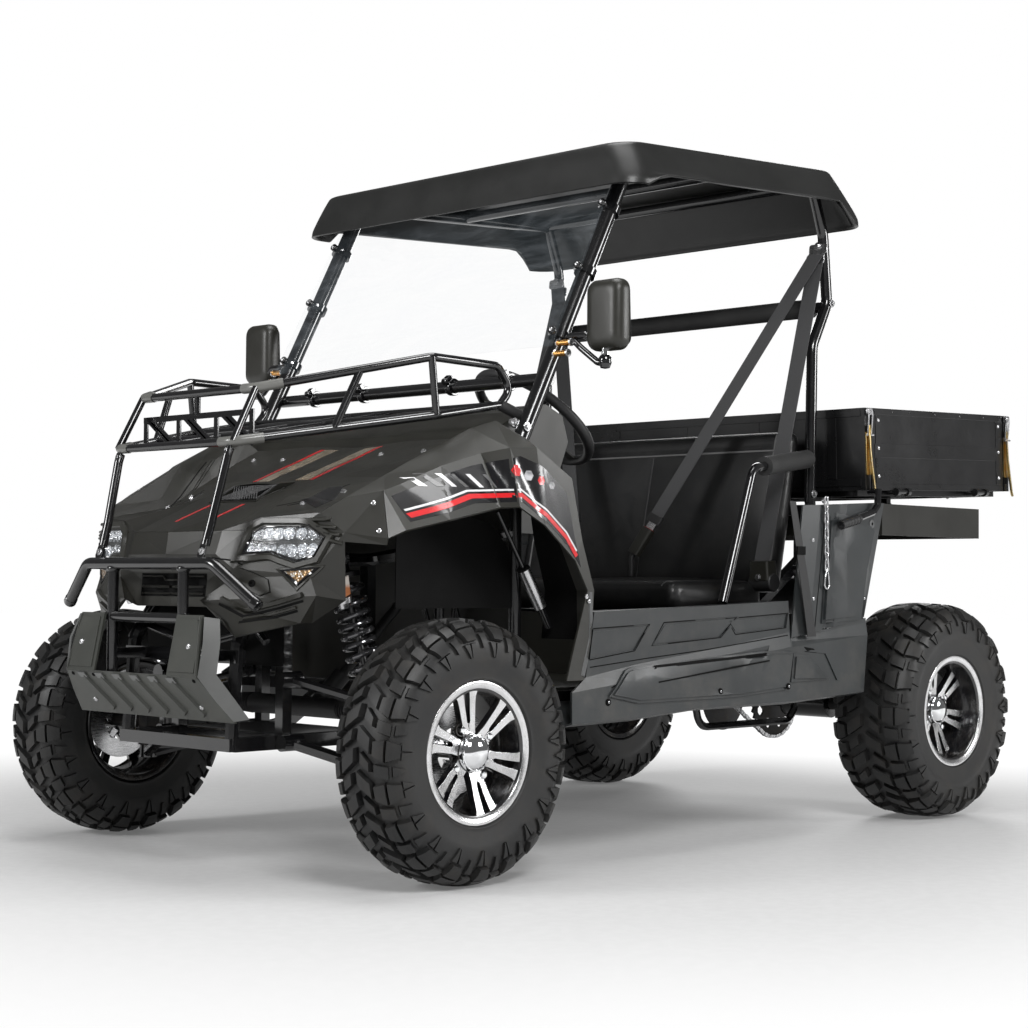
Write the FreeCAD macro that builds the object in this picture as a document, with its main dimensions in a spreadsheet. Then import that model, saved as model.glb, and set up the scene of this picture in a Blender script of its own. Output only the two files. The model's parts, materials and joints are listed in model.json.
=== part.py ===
"""Two-seat side by side utility vehicle with a tipping drop-side cargo bed.

Frame: +X forward, +Y to the vehicle's left, +Z up, origin on the ground under the middle of the
vehicle. Millimetres. Driving sizes live in the spreadsheet "Sizes"; every sub-part has its own
label, which names its STEP file.
"""
import FreeCAD, Part
import math
import os

import Sketcher
from FreeCAD import Placement, Rotation, Vector

AXIS_X = Vector(1, 0, 0)
AXIS_Y = Vector(0, 1, 0)
AXIS_Z = Vector(0, 0, 1)
LEFT, RIGHT = 1, -1
SIDES = ((LEFT, "left"), (RIGHT, "right"))

doc = FreeCAD.newDocument("side_by_side_utv")

# ---------------------------------------------------------------- driving sizes
SIZES = (
    # running gear
    ("front_axle_x", 870.0), ("wheelbase", 1692.0),
    ("front_tyre_radius", 262.0), ("front_tyre_width", 168.0), ("front_wheel_y", 567.0),
    ("rear_tyre_radius", 274.0), ("rear_tyre_width", 224.0), ("rear_wheel_y", 562.0),
    ("front_rim_width", 141.0), ("rear_rim_width", 192.0),
    ("rim_flange_radius", 141.0), ("rim_wall", 5.0), ("rim_barrel_radius", 124.0),
    ("hub_radius", 36.0), ("hub_depth", 26.0), ("front_dish", 22.0), ("rear_dish", 60.0),
    ("shoulder_drop", 13.0), ("shoulder_run", 21.0), ("bead_clearance", 0.3),
    ("fit_gap", 0.3), ("kingpin_y", 452.0), ("steering_arm", 70.0), ("rear_axle_radius", 16.0),
    # cage and canopy
    ("cage_half_width", 456.0), ("pillar_radius", 18.0), ("hoop_radius", 14.0),
    ("canopy_front_x", 316.0), ("canopy_length", 826.0), ("canopy_front_z", 1578.0),
    ("canopy_rise", 52.0), ("canopy_half_width", 514.0), ("canopy_flare", 46.0),
    ("canopy_wall", 7.0),
    ("screen_thickness", 5.0), ("screen_gap", 6.0),
    # body
    ("body_half_width", 592.0), ("panel_thickness", 5.0),
    ("frame_z", 350.0), ("frame_tube", 14.0), ("cross_tube", 13.0),
    # seats
    ("seat_half_width", 436.0), ("cushion_top_z", 606.0), ("cushion_thickness", 84.0),
    ("cushion_front_x", 35.0), ("cushion_length", 360.0),
    ("backrest_top_z", 984.0), ("backrest_thickness", 74.0),
    # cargo bed
    ("bed_front_x", -540.0), ("bed_base_z", 815.0), ("bed_rake", 1.9), ("bed_length", 690.0),
    ("bed_half_width", 578.0), ("gate_height", 206.0), ("gate_thickness", 24.0),
    ("bed_rail", 28.0), ("bed_sheet", 4.0), ("gate_gap", 6.0),
    # front rack and bumper
    ("rack_tube_radius", 8.0), ("bumper_tube_radius", 12.5), ("bumper_bar_z", 628.0),
)

sheet = doc.addObject("Spreadsheet::Sheet", "Sizes")
for row, (alias, value) in enumerate(SIZES, start=1):
    sheet.set("A%d" % row, alias)
    sheet.set("B%d" % row, str(value))
    sheet.setAlias("B%d" % row, alias)
doc.recompute()


def size(alias):
    """One driving size, in millimetres or degrees."""
    return float(sheet.get(alias))


def value_of(expression):
    """The number that an expression on the sheet's cells gives now."""
    result = sheet.evalExpression(expression)
    return float(getattr(result, "Value", result))


nodes = []


def keep(feature, label):
    """Name a finished sub-part."""
    feature.Label = label
    nodes.append(feature)
    return feature


def keep_shape(label, shape, placement=None):
    """A sub-part whose shape is made with Part's own functions."""
    feature = doc.addObject("Part::Feature", label)
    feature.Shape = shape
    if placement is not None:
        feature.Placement = placement.multiply(shape.Placement)
    return keep(feature, label)


# ---------------------------------------------------------------- shape helpers
def bent_wire(points, bend_radius):
    """Straight runs joined by tangent arcs of one radius."""
    corners = [Vector(*p) for p in points]
    edges = []
    start = corners[0]
    for before, corner, after in zip(corners, corners[1:], corners[2:]):
        incoming = (corner - before).normalize()
        outgoing = (after - corner).normalize()
        turn = incoming.getAngle(outgoing)
        if turn < 0.02:
            continue
        reach = bend_radius * math.tan(turn / 2)
        first, last = corner - incoming * reach, corner + outgoing * reach
        middle = (outgoing - incoming).normalize()
        sag = bend_radius * (1 / math.cos(turn / 2) - 1)
        edges.append(Part.LineSegment(start, first).toShape())
        edges.append(Part.Arc(first, corner + middle * sag, last).toShape())
        start = last
    edges.append(Part.LineSegment(start, corners[-1]).toShape())
    return Part.Wire(edges)


def bar_section(centre, direction, radius, sides):
    """Outline of a bar: a circle for no sides, else a polygon of that half width across its flats."""
    if not sides:
        return Part.Wire([Part.makeCircle(radius, centre, direction)])
    along = Vector(direction).normalize()
    across = along.cross(AXIS_Z)
    if across.Length < 0.1:
        across = Vector(AXIS_Y)
    across.normalize()
    rise = across.cross(along)
    reach = radius / math.cos(math.pi / sides)
    corners = []
    for index in range(sides):
        turn = 2 * math.pi * (index + 0.5) / sides
        corners.append(centre + across * (reach * math.cos(turn)) + rise * (reach * math.sin(turn)))
    return Part.makePolygon(corners + corners[:1])


def tube(points, radius, bend_radius=60.0, sides=0):
    """A bar or tube along a bent centre line, round unless it is given a number of sides."""
    if len(points) == 2:
        start, end = Vector(*points[0]), Vector(*points[1])
        return Part.Face(bar_section(start, end - start, radius, sides)).extrude(end - start)
    path = bent_wire(points, bend_radius)
    first = path.OrderedEdges[0]
    start = first.valueAt(first.FirstParameter)
    profile = bar_section(start, first.tangentAt(first.FirstParameter), radius, sides)
    return path.makePipeShell([profile], True, False)


def block(low, high):
    """A box between two corners."""
    low, high = Vector(*low), Vector(*high)
    return Part.makeBox(high.x - low.x, high.y - low.y, high.z - low.z, low)


def rod(start, end, radius, sides=0):
    """A straight bar."""
    return tube((start, end), radius, sides=sides)


def prism(points, direction):
    """A flat outline of straight edges pushed along a vector."""
    corners = [Vector(*p) for p in points]
    wire = Part.makePolygon(corners + corners[:1])
    return Part.Face(wire).extrude(Vector(*direction))


def loft(sections):
    """A ruled solid through closed polygons with equal corner counts."""
    wires = []
    for points in sections:
        corners = [Vector(*p) for p in points]
        wires.append(Part.makePolygon(corners + corners[:1]))
    return Part.makeLoft(wires, True, True)


def along_y(outline, start, end):
    """A flat outline of x and z pairs, pushed from one y to another."""
    return prism([(x, start, z) for x, z in outline], (0, end - start, 0))


def mirrored_corners(corners, facets):
    """Both halves of a symmetric surface: left corners are repeated with a minus after their name."""
    twin = {name: name + "-" if abs(place[1]) > 0.01 else name for name, place in corners.items()}
    whole = dict(corners)
    for name, (x, y, z) in corners.items():
        whole[twin[name]] = (x, -y, z)
    turned = [" ".join(twin[name] for name in reversed(triangle)) for triangle in triangles_of(facets)]
    return whole, list(facets) + turned


def triangles_of(facets):
    """Facets, named corner by corner and counter-clockwise from outside, cut into triangles."""
    triangles = []
    for facet in facets:
        names = facet.split()
        triangles += [(names[0], second, third) for second, third in zip(names[1:], names[2:])]
    return triangles


def corner_normals(corners, facets):
    """Outward direction at each corner, from all the facets that meet there."""
    normals = {}
    for names in triangles_of(facets):
        a, b, c = (Vector(*corners[name]) for name in names)
        lean = (b - a).cross(c - a)
        for name in names:
            normals[name] = normals.get(name, Vector()) + lean
    return {name: lean.normalize() for name, lean in normals.items()}


def skin_between(corners, facets, normals, outer_depth, inner_depth):
    """The solid between two depths under a faceted surface."""
    triangles = triangles_of(facets)
    names = sorted({name for triangle in triangles for name in triangle})
    number = {name: index for index, name in enumerate(names)}
    count = len(names)
    places = [Vector(*corners[name]) - normals[name] * depth
              for depth in (outer_depth, inner_depth) for name in names]
    faces = []
    edges = set()
    for a, b, c in triangles:
        faces.append((number[a], number[b], number[c]))
        faces.append((number[c] + count, number[b] + count, number[a] + count))
        edges |= {(a, b), (b, c), (c, a)}
    for a, b in sorted(edges):
        if (b, a) not in edges:
            first, second = number[a], number[b]
            # Both panels at a seam cut its wall along the same diagonal.
            if a < b:
                faces.append((second, first, second + count))
                faces.append((first, first + count, second + count))
            else:
                faces.append((second, first, first + count))
                faces.append((second, first + count, second + count))
    shell = Part.Shape()
    shell.makeShapeFromMesh((places, faces), 0.001)
    solid = Part.makeSolid(shell)
    if solid.Volume < 0:
        solid.reverse()
    return solid


def fused(shapes):
    """One solid from touching pieces."""
    whole = shapes[0]
    for piece in shapes[1:]:
        whole = whole.fuse(piece)
    return whole


def mirrored(shape):
    """The same piece on the other side of the vehicle."""
    return shape.mirror(Vector(0, 0, 0), AXIS_Y)


def both_sides(shape):
    """A left piece and its right twin, as two separate solids."""
    return Part.makeCompound([shape, mirrored(shape)])


# ---------------------------------------------------------------- sketched bodies
def plane_of(body, role):
    return next(f for f in body.Origin.OriginFeatures if f.Role == role)


def polygon_sketch(body, name, role, corners):
    """A closed outline whose corner coordinates are bound to the sheet."""
    sketch = body.newObject("Sketcher::SketchObject", name)
    sketch.AttachmentSupport = (plane_of(body, role), [""])
    sketch.MapMode = "FlatFace"
    places = [Vector(value_of(a), value_of(b), 0) for a, b in corners]
    count = len(places)
    for index in range(count):
        line = Part.LineSegment(places[index], places[(index + 1) % count])
        sketch.addGeometry(line, False)
    for index in range(count):
        joint = Sketcher.Constraint("Coincident", index, 2, (index + 1) % count, 1)
        sketch.addConstraint(joint)
    for index, (across, along) in enumerate(corners):
        for kind, expression, number in (("DistanceX", across, places[index].x),
                                         ("DistanceY", along, places[index].y)):
            at = sketch.addConstraint(Sketcher.Constraint(kind, index, 1, number))
            sketch.setExpression("Constraints[%d]" % at, expression)
    return sketch


def revolved_body(label, corners, placement):
    """A ring turned about the body's own X axis from an outline in its XY plane."""
    body = doc.addObject("PartDesign::Body", label)
    sketch = polygon_sketch(body, label + "_profile", "XY_Plane", corners)
    turn = body.newObject("PartDesign::Revolution", label + "_turn")
    turn.Profile = sketch
    turn.ReferenceAxis = (sketch, ["H_Axis"])
    turn.Angle = 360.0
    body.Tip = turn
    body.Placement = placement
    return body


# ---------------------------------------------------------------- wheels
front_x = size("front_axle_x")
rear_x = front_x - size("wheelbase")
front_z = size("front_tyre_radius")
rear_z = size("rear_tyre_radius")

# Each wheel is modelled along its own X axis, outboard positive, with zero at the middle of the
# tyre, and is then turned to face left or right.
TYRE_OUTLINE = (
    # along the axle, radius
    ("-Sizes.{0}_rim_width/2 + Sizes.rim_wall + Sizes.bead_clearance",
     "Sizes.rim_barrel_radius + Sizes.rim_wall + Sizes.bead_clearance"),
    ("-Sizes.{0}_rim_width/2 + Sizes.rim_wall + Sizes.bead_clearance", "Sizes.rim_flange_radius + 4"),
    ("-Sizes.{0}_tyre_width/2", "Sizes.{0}_tyre_radius - 75"),
    ("-Sizes.{0}_tyre_width/2", "Sizes.{0}_tyre_radius - 42"),
    ("-Sizes.{0}_tyre_width/2 + Sizes.shoulder_run", "Sizes.{0}_tyre_radius - Sizes.shoulder_drop"),
    ("-Sizes.{0}_tyre_width/4", "Sizes.{0}_tyre_radius"),
    ("Sizes.{0}_tyre_width/4", "Sizes.{0}_tyre_radius"),
    ("Sizes.{0}_tyre_width/2 - Sizes.shoulder_run", "Sizes.{0}_tyre_radius - Sizes.shoulder_drop"),
    ("Sizes.{0}_tyre_width/2", "Sizes.{0}_tyre_radius - 42"),
    ("Sizes.{0}_tyre_width/2", "Sizes.{0}_tyre_radius - 75"),
    ("Sizes.{0}_rim_width/2 - Sizes.rim_wall - Sizes.bead_clearance", "Sizes.rim_flange_radius + 4"),
    ("Sizes.{0}_rim_width/2 - Sizes.rim_wall - Sizes.bead_clearance",
     "Sizes.rim_barrel_radius + Sizes.rim_wall + Sizes.bead_clearance"),
)

RIM_OUTLINE = (
    # along the axle, radius: barrel with a flange at each edge
    ("-Sizes.{0}_rim_width/2", "Sizes.rim_barrel_radius"),
    ("-Sizes.{0}_rim_width/2", "Sizes.rim_flange_radius"),
    ("-Sizes.{0}_rim_width/2 + Sizes.rim_wall", "Sizes.rim_flange_radius"),
    ("-Sizes.{0}_rim_width/2 + Sizes.rim_wall", "Sizes.rim_barrel_radius + Sizes.rim_wall"),
    ("Sizes.{0}_rim_width/2 - Sizes.rim_wall", "Sizes.rim_barrel_radius + Sizes.rim_wall"),
    ("Sizes.{0}_rim_width/2 - Sizes.rim_wall", "Sizes.rim_flange_radius"),
    ("Sizes.{0}_rim_width/2", "Sizes.rim_flange_radius"),
    ("Sizes.{0}_rim_width/2", "Sizes.rim_barrel_radius"),
)


def wheel_placement(axle_x, wheel_y, axle_z, side):
    turn = Rotation(AXIS_Z, 90 * side)
    return Placement(Vector(axle_x, side * wheel_y, axle_z), turn)


def spoke_star(end):
    """Hub and six twin spokes, inside the barrel, along the wheel's own X axis."""
    face = size(end + "_rim_width") / 2 - size(end + "_dish")
    depth = size("hub_depth")
    reach = size("rim_barrel_radius") + 0.5
    hub = Part.makeCylinder(size("hub_radius"), depth, Vector(face - depth, 0, 0), AXIS_X)
    cap = Part.makeCylinder(27, 14, Vector(face, 0, 0), AXIS_X)
    pieces = [hub, cap]
    for index in range(6):
        for offset in (-14, 14):
            bar = loft((
                ((face - depth, offset * 0.9 - 6, 22), (face, offset * 0.9 - 5, 22),
                 (face, offset * 0.9 + 5, 22), (face - depth, offset * 0.9 + 6, 22)),
                ((face - 8, offset * 1.5 - 9, reach), (face + 14, offset * 1.5 - 8, reach),
                 (face + 14, offset * 1.5 + 8, reach), (face - 8, offset * 1.5 + 9, reach)),
            ))
            bar.rotate(Vector(0, 0, 0), AXIS_X, 60 * index)
            pieces.append(bar)
    return fused(pieces)


for end, axle_x, axle_z in (("front", front_x, front_z), ("rear", rear_x, rear_z)):
    for side, side_name in SIDES:
        place = wheel_placement(axle_x, size(end + "_wheel_y"), axle_z, side)
        outline = [(a.format(end), b.format(end)) for a, b in TYRE_OUTLINE]
        keep(revolved_body("%s_%s_tyre" % (end, side_name), outline, place),
             "%s_%s_tyre" % (end, side_name))
        barrel_outline = [(a.format(end), b.format(end)) for a, b in RIM_OUTLINE]
        barrel = revolved_body("%s_%s_barrel" % (end, side_name), barrel_outline, Placement())
        star = doc.addObject("Part::Feature", "%s_%s_star" % (end, side_name))
        star.Shape = spoke_star(end)
        rim = doc.addObject("Part::Fuse", "%s_%s_rim" % (end, side_name))
        rim.Base, rim.Tool = barrel, star
        rim.Placement = place
        keep(rim, "%s_%s_rim" % (end, side_name))

# ---------------------------------------------------------------- front suspension and steering
kingpin_y = size("kingpin_y")
fit_gap = size("fit_gap")
FRAME_Y = 178
FRAME_TUBE = size("frame_tube")

hub_inner_y = size("front_wheel_y") + size("front_rim_width") / 2 - size("front_dish") - size("hub_depth")
LOWER_PIN_Z = front_z - 66
UPPER_PIN_Z = front_z + 66
PIN_HALF = 14


def front_knuckle():
    """Upright, stub axle and steering arm of the left wheel."""
    reach = PIN_HALF + fit_gap
    upright = block((front_x - 18, kingpin_y - 16, LOWER_PIN_Z + reach),
                    (front_x + 18, kingpin_y + 16, UPPER_PIN_Z - reach))
    stub = rod((front_x, kingpin_y, front_z), (front_x, hub_inner_y - fit_gap, front_z), 15)
    flange = rod((front_x, kingpin_y + 20, front_z), (front_x, kingpin_y + 32, front_z), 42)
    arm = block((front_x - size("steering_arm") - 12, kingpin_y - 12, front_z + 26),
                (front_x, kingpin_y + 8, front_z + 38))
    return fused((upright, stub, flange, arm))


left_knuckle = front_knuckle()
keep_shape("left_knuckle", left_knuckle)
keep_shape("right_knuckle", mirrored(left_knuckle))


def control_arm(pivot_y, pivot_z, pin_z, half_span, radius):
    """A two-legged arm from its pivots on the frame to the ball joint at the upright."""
    legs = [rod((front_x + end * half_span, pivot_y, pivot_z), (front_x + end * 12, kingpin_y - 16, pin_z),
                radius, 8) for end in (1, -1)]
    pivots = [rod((front_x + end * half_span - 26, pivot_y, pivot_z),
                  (front_x + end * half_span + 26, pivot_y, pivot_z), 17) for end in (1, -1)]
    joint = rod((front_x, kingpin_y, pin_z - PIN_HALF), (front_x, kingpin_y, pin_z + PIN_HALF), 20)
    return fused(legs + pivots + [joint])


ARM_PIVOT_Y = FRAME_Y + FRAME_TUBE + 17 + fit_gap
LOWER_PIVOT_Z, UPPER_PIVOT_Z = 262, 392
SHOCK_FOOT_Y = 366
lower_arm = control_arm(ARM_PIVOT_Y, LOWER_PIVOT_Z, LOWER_PIN_Z, 120, 11.5)
shock_share = (SHOCK_FOOT_Y - ARM_PIVOT_Y) / (kingpin_y - 16 - ARM_PIVOT_Y)
shock_seat_z = LOWER_PIVOT_Z + (LOWER_PIN_Z - LOWER_PIVOT_Z) * shock_share
shock_pin = rod((front_x - 50, SHOCK_FOOT_Y, shock_seat_z), (front_x + 50, SHOCK_FOOT_Y, shock_seat_z), 8)
lower_arm = lower_arm.fuse(shock_pin)
upper_arm = control_arm(ARM_PIVOT_Y, UPPER_PIVOT_Z, UPPER_PIN_Z, 126, 10.5)
arms = [lower_arm, upper_arm]
keep_shape("control_arms", Part.makeCompound(arms + [mirrored(arm) for arm in arms]))

SHOCK_EYE = 15
REAR_SHOCK_Y = 300
SHOCKS = (
    # top x, y, z, bottom x, y, z, spring radius
    (940, 300, 640, front_x, SHOCK_FOOT_Y, shock_seat_z + 8 + SHOCK_EYE + fit_gap, 28),
    (-700, REAR_SHOCK_Y, 640, -770, REAR_SHOCK_Y, 322, 32),
)


def shock(top, bottom, spring_radius):
    """Damper body, rod and a spring sleeve on one line."""
    start, end = Vector(*bottom), Vector(*top)
    line = (end - start).normalize()
    length = (end - start).Length
    body = Part.makeCylinder(17, length * 0.5, start, line)
    shaft = Part.makeCylinder(8, length, start, line)
    spring = Part.makeCylinder(spring_radius, length * 0.54, start + line * length * 0.36, line)
    eyes = [rod((p.x, p.y - 16, p.z), (p.x, p.y + 16, p.z), SHOCK_EYE) for p in (start, end)]
    return fused([body, shaft, spring] + eyes)


shock_solids = []
for tx, ty, tz, bx, by, bz, spring_radius in SHOCKS:
    piece = shock((tx, ty, tz), (bx, by, bz), spring_radius)
    shock_solids += [piece, mirrored(piece)]
keep_shape("shock_absorbers", Part.makeCompound(shock_solids))

RACK_X = front_x - size("steering_arm")
RACK_Z = front_z + 58
RACK_HALF = 150
COLUMN_JOINT = (RACK_X - 60, 80, RACK_Z + 70)
COLUMN_FOOT = (620, 150, 560)
COLUMN_TOP = (330, 230, 938)
COLUMN_RADIUS = 13
POD_RADIUS = 28
column_line = (Vector(*COLUMN_TOP) - Vector(*COLUMN_FOOT)).normalize()
pod_start = Vector(*COLUMN_TOP) - column_line * 45
gear_housing = fused((
    rod((RACK_X, -RACK_HALF, RACK_Z), (RACK_X, RACK_HALF, RACK_Z), 22),
    rod((RACK_X, 60, RACK_Z), COLUMN_JOINT, 20),
))
bar_space = rod((RACK_X, -400, RACK_Z), (RACK_X, 400, RACK_Z), 10 + fit_gap)
keep_shape("steering_column", fused((
    gear_housing.cut(bar_space),
    rod(COLUMN_JOINT, COLUMN_FOOT, COLUMN_RADIUS - 2),
    rod(COLUMN_FOOT, COLUMN_TOP, COLUMN_RADIUS),
    Part.makeCylinder(POD_RADIUS, 36, pod_start, column_line),
)))
rack_bar = rod((RACK_X, -RACK_HALF - 60, RACK_Z), (RACK_X, RACK_HALF + 60, RACK_Z), 10)
tie_ends = [rod((RACK_X, side * (RACK_HALF + 60), RACK_Z), (RACK_X, side * (kingpin_y - 26), RACK_Z - 4), 8)
            for side in (LEFT, RIGHT)]
keep_shape("tie_rods", fused([rack_bar] + tie_ends))

# ---------------------------------------------------------------- steering wheel
WHEEL_RING_RADIUS = 150
wheel_centre = Vector(*COLUMN_TOP) + column_line * (44 + fit_gap)


def steering_wheel():
    """Rim ring, three spokes and hub about the column line."""
    grip = bar_section(Vector(WHEEL_RING_RADIUS, 0, 0), AXIS_Y, 13, 8)
    ring = Part.Face(grip).revolve(Vector(0, 0, 0), AXIS_Z, 360)
    hub = Part.makeCylinder(32, 40, Vector(0, 0, -44))
    pieces = [ring, hub]
    for turn in (30, 150, 270):
        spoke = loft((((-16, 20, -16), (16, 20, -16), (16, 20, -7), (-16, 20, -7)),
                      ((-11, WHEEL_RING_RADIUS, -4), (11, WHEEL_RING_RADIUS, -4),
                       (11, WHEEL_RING_RADIUS, 3), (-11, WHEEL_RING_RADIUS, 3))))
        spoke.rotate(Vector(0, 0, 0), AXIS_Z, turn)
        pieces.append(spoke)
    wheel = fused(pieces)
    wheel.Placement = Placement(wheel_centre, Rotation(AXIS_Z, column_line))
    return wheel


keep_shape("steering_wheel", steering_wheel())

# ---------------------------------------------------------------- frames
CROSS_TUBE = size("cross_tube")
FRAME_Z = size("frame_z")
FRONT_RAIL_Z = front_z
TOWER_TOP_Z = 640
NOSE_X, TOWER_FRONT_X, TOWER_REAR_X, BULKHEAD_X = 1120, 985, 755, 560
STUB_X, STUB_Z = 1107, 440
FLOOR_FRONT_X = BULKHEAD_X - 4
HOOP_X, HOOP_Y = -474, 457
BED_RAIL_Y, BED_RAIL_Z = 250, 780
SILL_Y = 500
on_cross_tube = FRAME_Z + CROSS_TUBE + fit_gap
BOX, ROUND = 4, 0
SWING_PIVOT = (-520, 300)
SWING_HALF = 158
BED_PIVOT = (-1080, 812)

FRONT_RUNS = (
    # half width, bend radius, sides, centre line of the left member
    (FRAME_TUBE, 90, BOX, ((NOSE_X, FRAME_Y, FRONT_RAIL_Z), (700, FRAME_Y, FRONT_RAIL_Z),
                           (BULKHEAD_X, FRAME_Y, FRAME_Z))),
    (13.4, 45, 8, ((NOSE_X - 1, FRAME_Y, FRONT_RAIL_Z), (1105, FRAME_Y, 470),
                       (TOWER_FRONT_X, FRAME_Y, TOWER_TOP_Z), (TOWER_REAR_X, FRAME_Y, TOWER_TOP_Z),
                       (BULKHEAD_X, 430, 700))),
    (12, 0, BOX, ((TOWER_FRONT_X, FRAME_Y, FRONT_RAIL_Z), (TOWER_FRONT_X, FRAME_Y, TOWER_TOP_Z))),
    (12, 0, BOX, ((TOWER_REAR_X, FRAME_Y, FRONT_RAIL_Z), (TOWER_REAR_X, FRAME_Y, TOWER_TOP_Z))),
    (13.6, 0, ROUND, ((BULKHEAD_X, 430, on_cross_tube), (BULKHEAD_X, 430, 880))),
)
FRONT_CROSS_TUBES = (
    # x, half length, z
    (NOSE_X, 190, FRONT_RAIL_Z), (STUB_X, 190, STUB_Z), (TOWER_FRONT_X, 190, TOWER_TOP_Z),
    (TOWER_REAR_X, 190, TOWER_TOP_Z), (TOWER_REAR_X, 190, FRONT_RAIL_Z), (TOWER_FRONT_X, 190, FRONT_RAIL_Z),
)
FLOOR_RUNS = (
    (FRAME_TUBE, 0, BOX, ((BULKHEAD_X, FRAME_Y, FRAME_Z), (-574, FRAME_Y, FRAME_Z))),
    (FRAME_TUBE, 0, BOX, ((BULKHEAD_X, SILL_Y, FRAME_Z), (-520, SILL_Y, FRAME_Z))),
    (9, 40, 8, ((-200, 300, FRAME_Z), (-232, 300, 240), (-598, 300, 240), (-650, 300, 300),
                    (-560, FRAME_Y, FRAME_Z))),
)
FLOOR_CROSS_TUBES = (
    (FLOOR_FRONT_X, 512, FRAME_Z), (200, 512, FRAME_Z), (-200, 512, FRAME_Z), (HOOP_X, 512, FRAME_Z),
    (-560, 190, FRAME_Z),
)
REAR_RUNS = (
    (13.6, 0, ROUND, ((HOOP_X, HOOP_Y, on_cross_tube), (HOOP_X, HOOP_Y, 799))),
    (FRAME_TUBE, 0, BOX, ((HOOP_X, BED_RAIL_Y, BED_RAIL_Z), (-1084, BED_RAIL_Y, BED_RAIL_Z))),
    (13.6, 0, BOX, ((HOOP_X, BED_RAIL_Y, on_cross_tube), (HOOP_X, BED_RAIL_Y, BED_RAIL_Z))),
    (12, 0, BOX, ((HOOP_X, BED_RAIL_Y, 500), (-900, BED_RAIL_Y, BED_RAIL_Z))),
)
REAR_CROSS_TUBES = ((HOOP_X, 470, BED_RAIL_Z), (-960, 262, BED_RAIL_Z), (-1070, 262, BED_RAIL_Z))


def frame_members(runs, cross_tubes):
    """Left and right members and the tubes that join them."""
    members = []
    for half, bend, sides, line in runs:
        member = tube(line, half, bend, sides)
        members += [member, mirrored(member)]
    for x, half, z in cross_tubes:
        members.append(rod((x, -half, z), (x, half, z), CROSS_TUBE, BOX))
    return members


# The floor frame's first cross tube has this space to itself.
behind_bulkhead = block((BULKHEAD_X - 60, -600, FRAME_Z - 100),
                        (FLOOR_FRONT_X + CROSS_TUBE + fit_gap, 600, on_cross_tube - 0.1))
keep_shape("front_frame", fused(frame_members(FRONT_RUNS, FRONT_CROSS_TUBES)).cut(behind_bulkhead))

floor_frame = frame_members(FLOOR_RUNS, FLOOR_CROSS_TUBES)
for side in (LEFT, RIGHT):
    near, far = sorted((side * (SWING_HALF + fit_gap), side * (SWING_HALF + 10)))
    bracket = ((SWING_PIVOT[0] - 24, FRAME_Z), (SWING_PIVOT[0] - 14, SWING_PIVOT[1] - 26),
               (SWING_PIVOT[0] + 14, SWING_PIVOT[1] - 26), (SWING_PIVOT[0] + 24, FRAME_Z))
    floor_frame.append(along_y(bracket, near, far))
keep_shape("lower_frame", fused(floor_frame))

rear_frame = frame_members(REAR_RUNS, REAR_CROSS_TUBES)
for side in (LEFT, RIGHT):
    near, far = sorted((side * 240, side * (REAR_SHOCK_Y - 16 - fit_gap)))
    rear_frame.append(rod((-700, near, 640), (-700, far, 640), 9))
    near, far = sorted((side * 243, side * 257))
    rear_frame.append(block((BED_PIVOT[0] - 12, near, BED_RAIL_Z),
                            (BED_PIVOT[0] + 12, far, BED_PIVOT[1] + 10)))
rear_frame.append(rod((BED_PIVOT[0], -296, BED_PIVOT[1]), (BED_PIVOT[0], 296, BED_PIVOT[1]), 8))
keep_shape("rear_frame", fused(rear_frame))

# ---------------------------------------------------------------- roll cage
cage_y = size("cage_half_width")


def rail_z(x):
    """Height of a roof rail's centre line, just under the canopy."""
    along = (size("canopy_front_x") - x) / size("canopy_length")
    crown = size("canopy_front_z") + size("canopy_rise") * along
    return crown - size("canopy_wall") - size("pillar_radius") - 2 * fit_gap


PILLAR_FOOT = (574, 897)
PILLAR_HEAD = (222, rail_z(222))
HOOP_HEAD = (-478, rail_z(-478))
BEAM = (-534, 1297)
HOOP_POINTS = (HOOP_HEAD, (-527, 1479), (-545, 1306), (-482, 1193), (-474, 799.3))


def cage():
    """Screen pillars, roof rails, rear hoop and the cross tubes between them."""
    members = []
    for side in (LEFT, RIGHT):
        y = side * cage_y
        pillar = tube(((PILLAR_FOOT[0], y, PILLAR_FOOT[1]), (PILLAR_HEAD[0], y, PILLAR_HEAD[1]),
                       (HOOP_HEAD[0], y, HOOP_HEAD[1])), size("pillar_radius"), 70)
        hoop = tube([(x, y, z) for x, z in HOOP_POINTS], size("hoop_radius"), 60)
        members += [pillar, hoop]
    for x, z in ((479, 1036), PILLAR_HEAD, (-150, rail_z(-150)), HOOP_HEAD, BEAM):
        members.append(rod((x, -cage_y, z), (x, cage_y, z), size("hoop_radius")))
    return fused(members)


keep_shape("roll_cage", cage())
PAD_INNER = size("hoop_radius") + 0.3
beam_pad = rod((BEAM[0], -420, BEAM[1]), (BEAM[0], 420, BEAM[1]), 24)
beam_pad = beam_pad.cut(rod((BEAM[0], -430, BEAM[1]), (BEAM[0], 430, BEAM[1]), PAD_INNER))

# ---------------------------------------------------------------- hip bars
HIP_BAR = ((-455.5, 474, 908), (-118, 548, 866), (10, 560, 551.5))


HIP_RADIUS = 11
keep_shape("hip_bars", both_sides(tube(HIP_BAR, HIP_RADIUS, 45)))
hip_start = Vector(*HIP_BAR[0])
hip_line = (Vector(*HIP_BAR[1]) - hip_start).normalize()
pad_start = hip_start + hip_line * 30
hip_pad = Part.makeCylinder(23, 255, pad_start, hip_line).cut(
    Part.makeCylinder(HIP_RADIUS + fit_gap, 275, pad_start - hip_line * 10, hip_line))
keep_shape("foam_pads", Part.makeCompound([beam_pad, hip_pad, mirrored(hip_pad)]))

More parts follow.
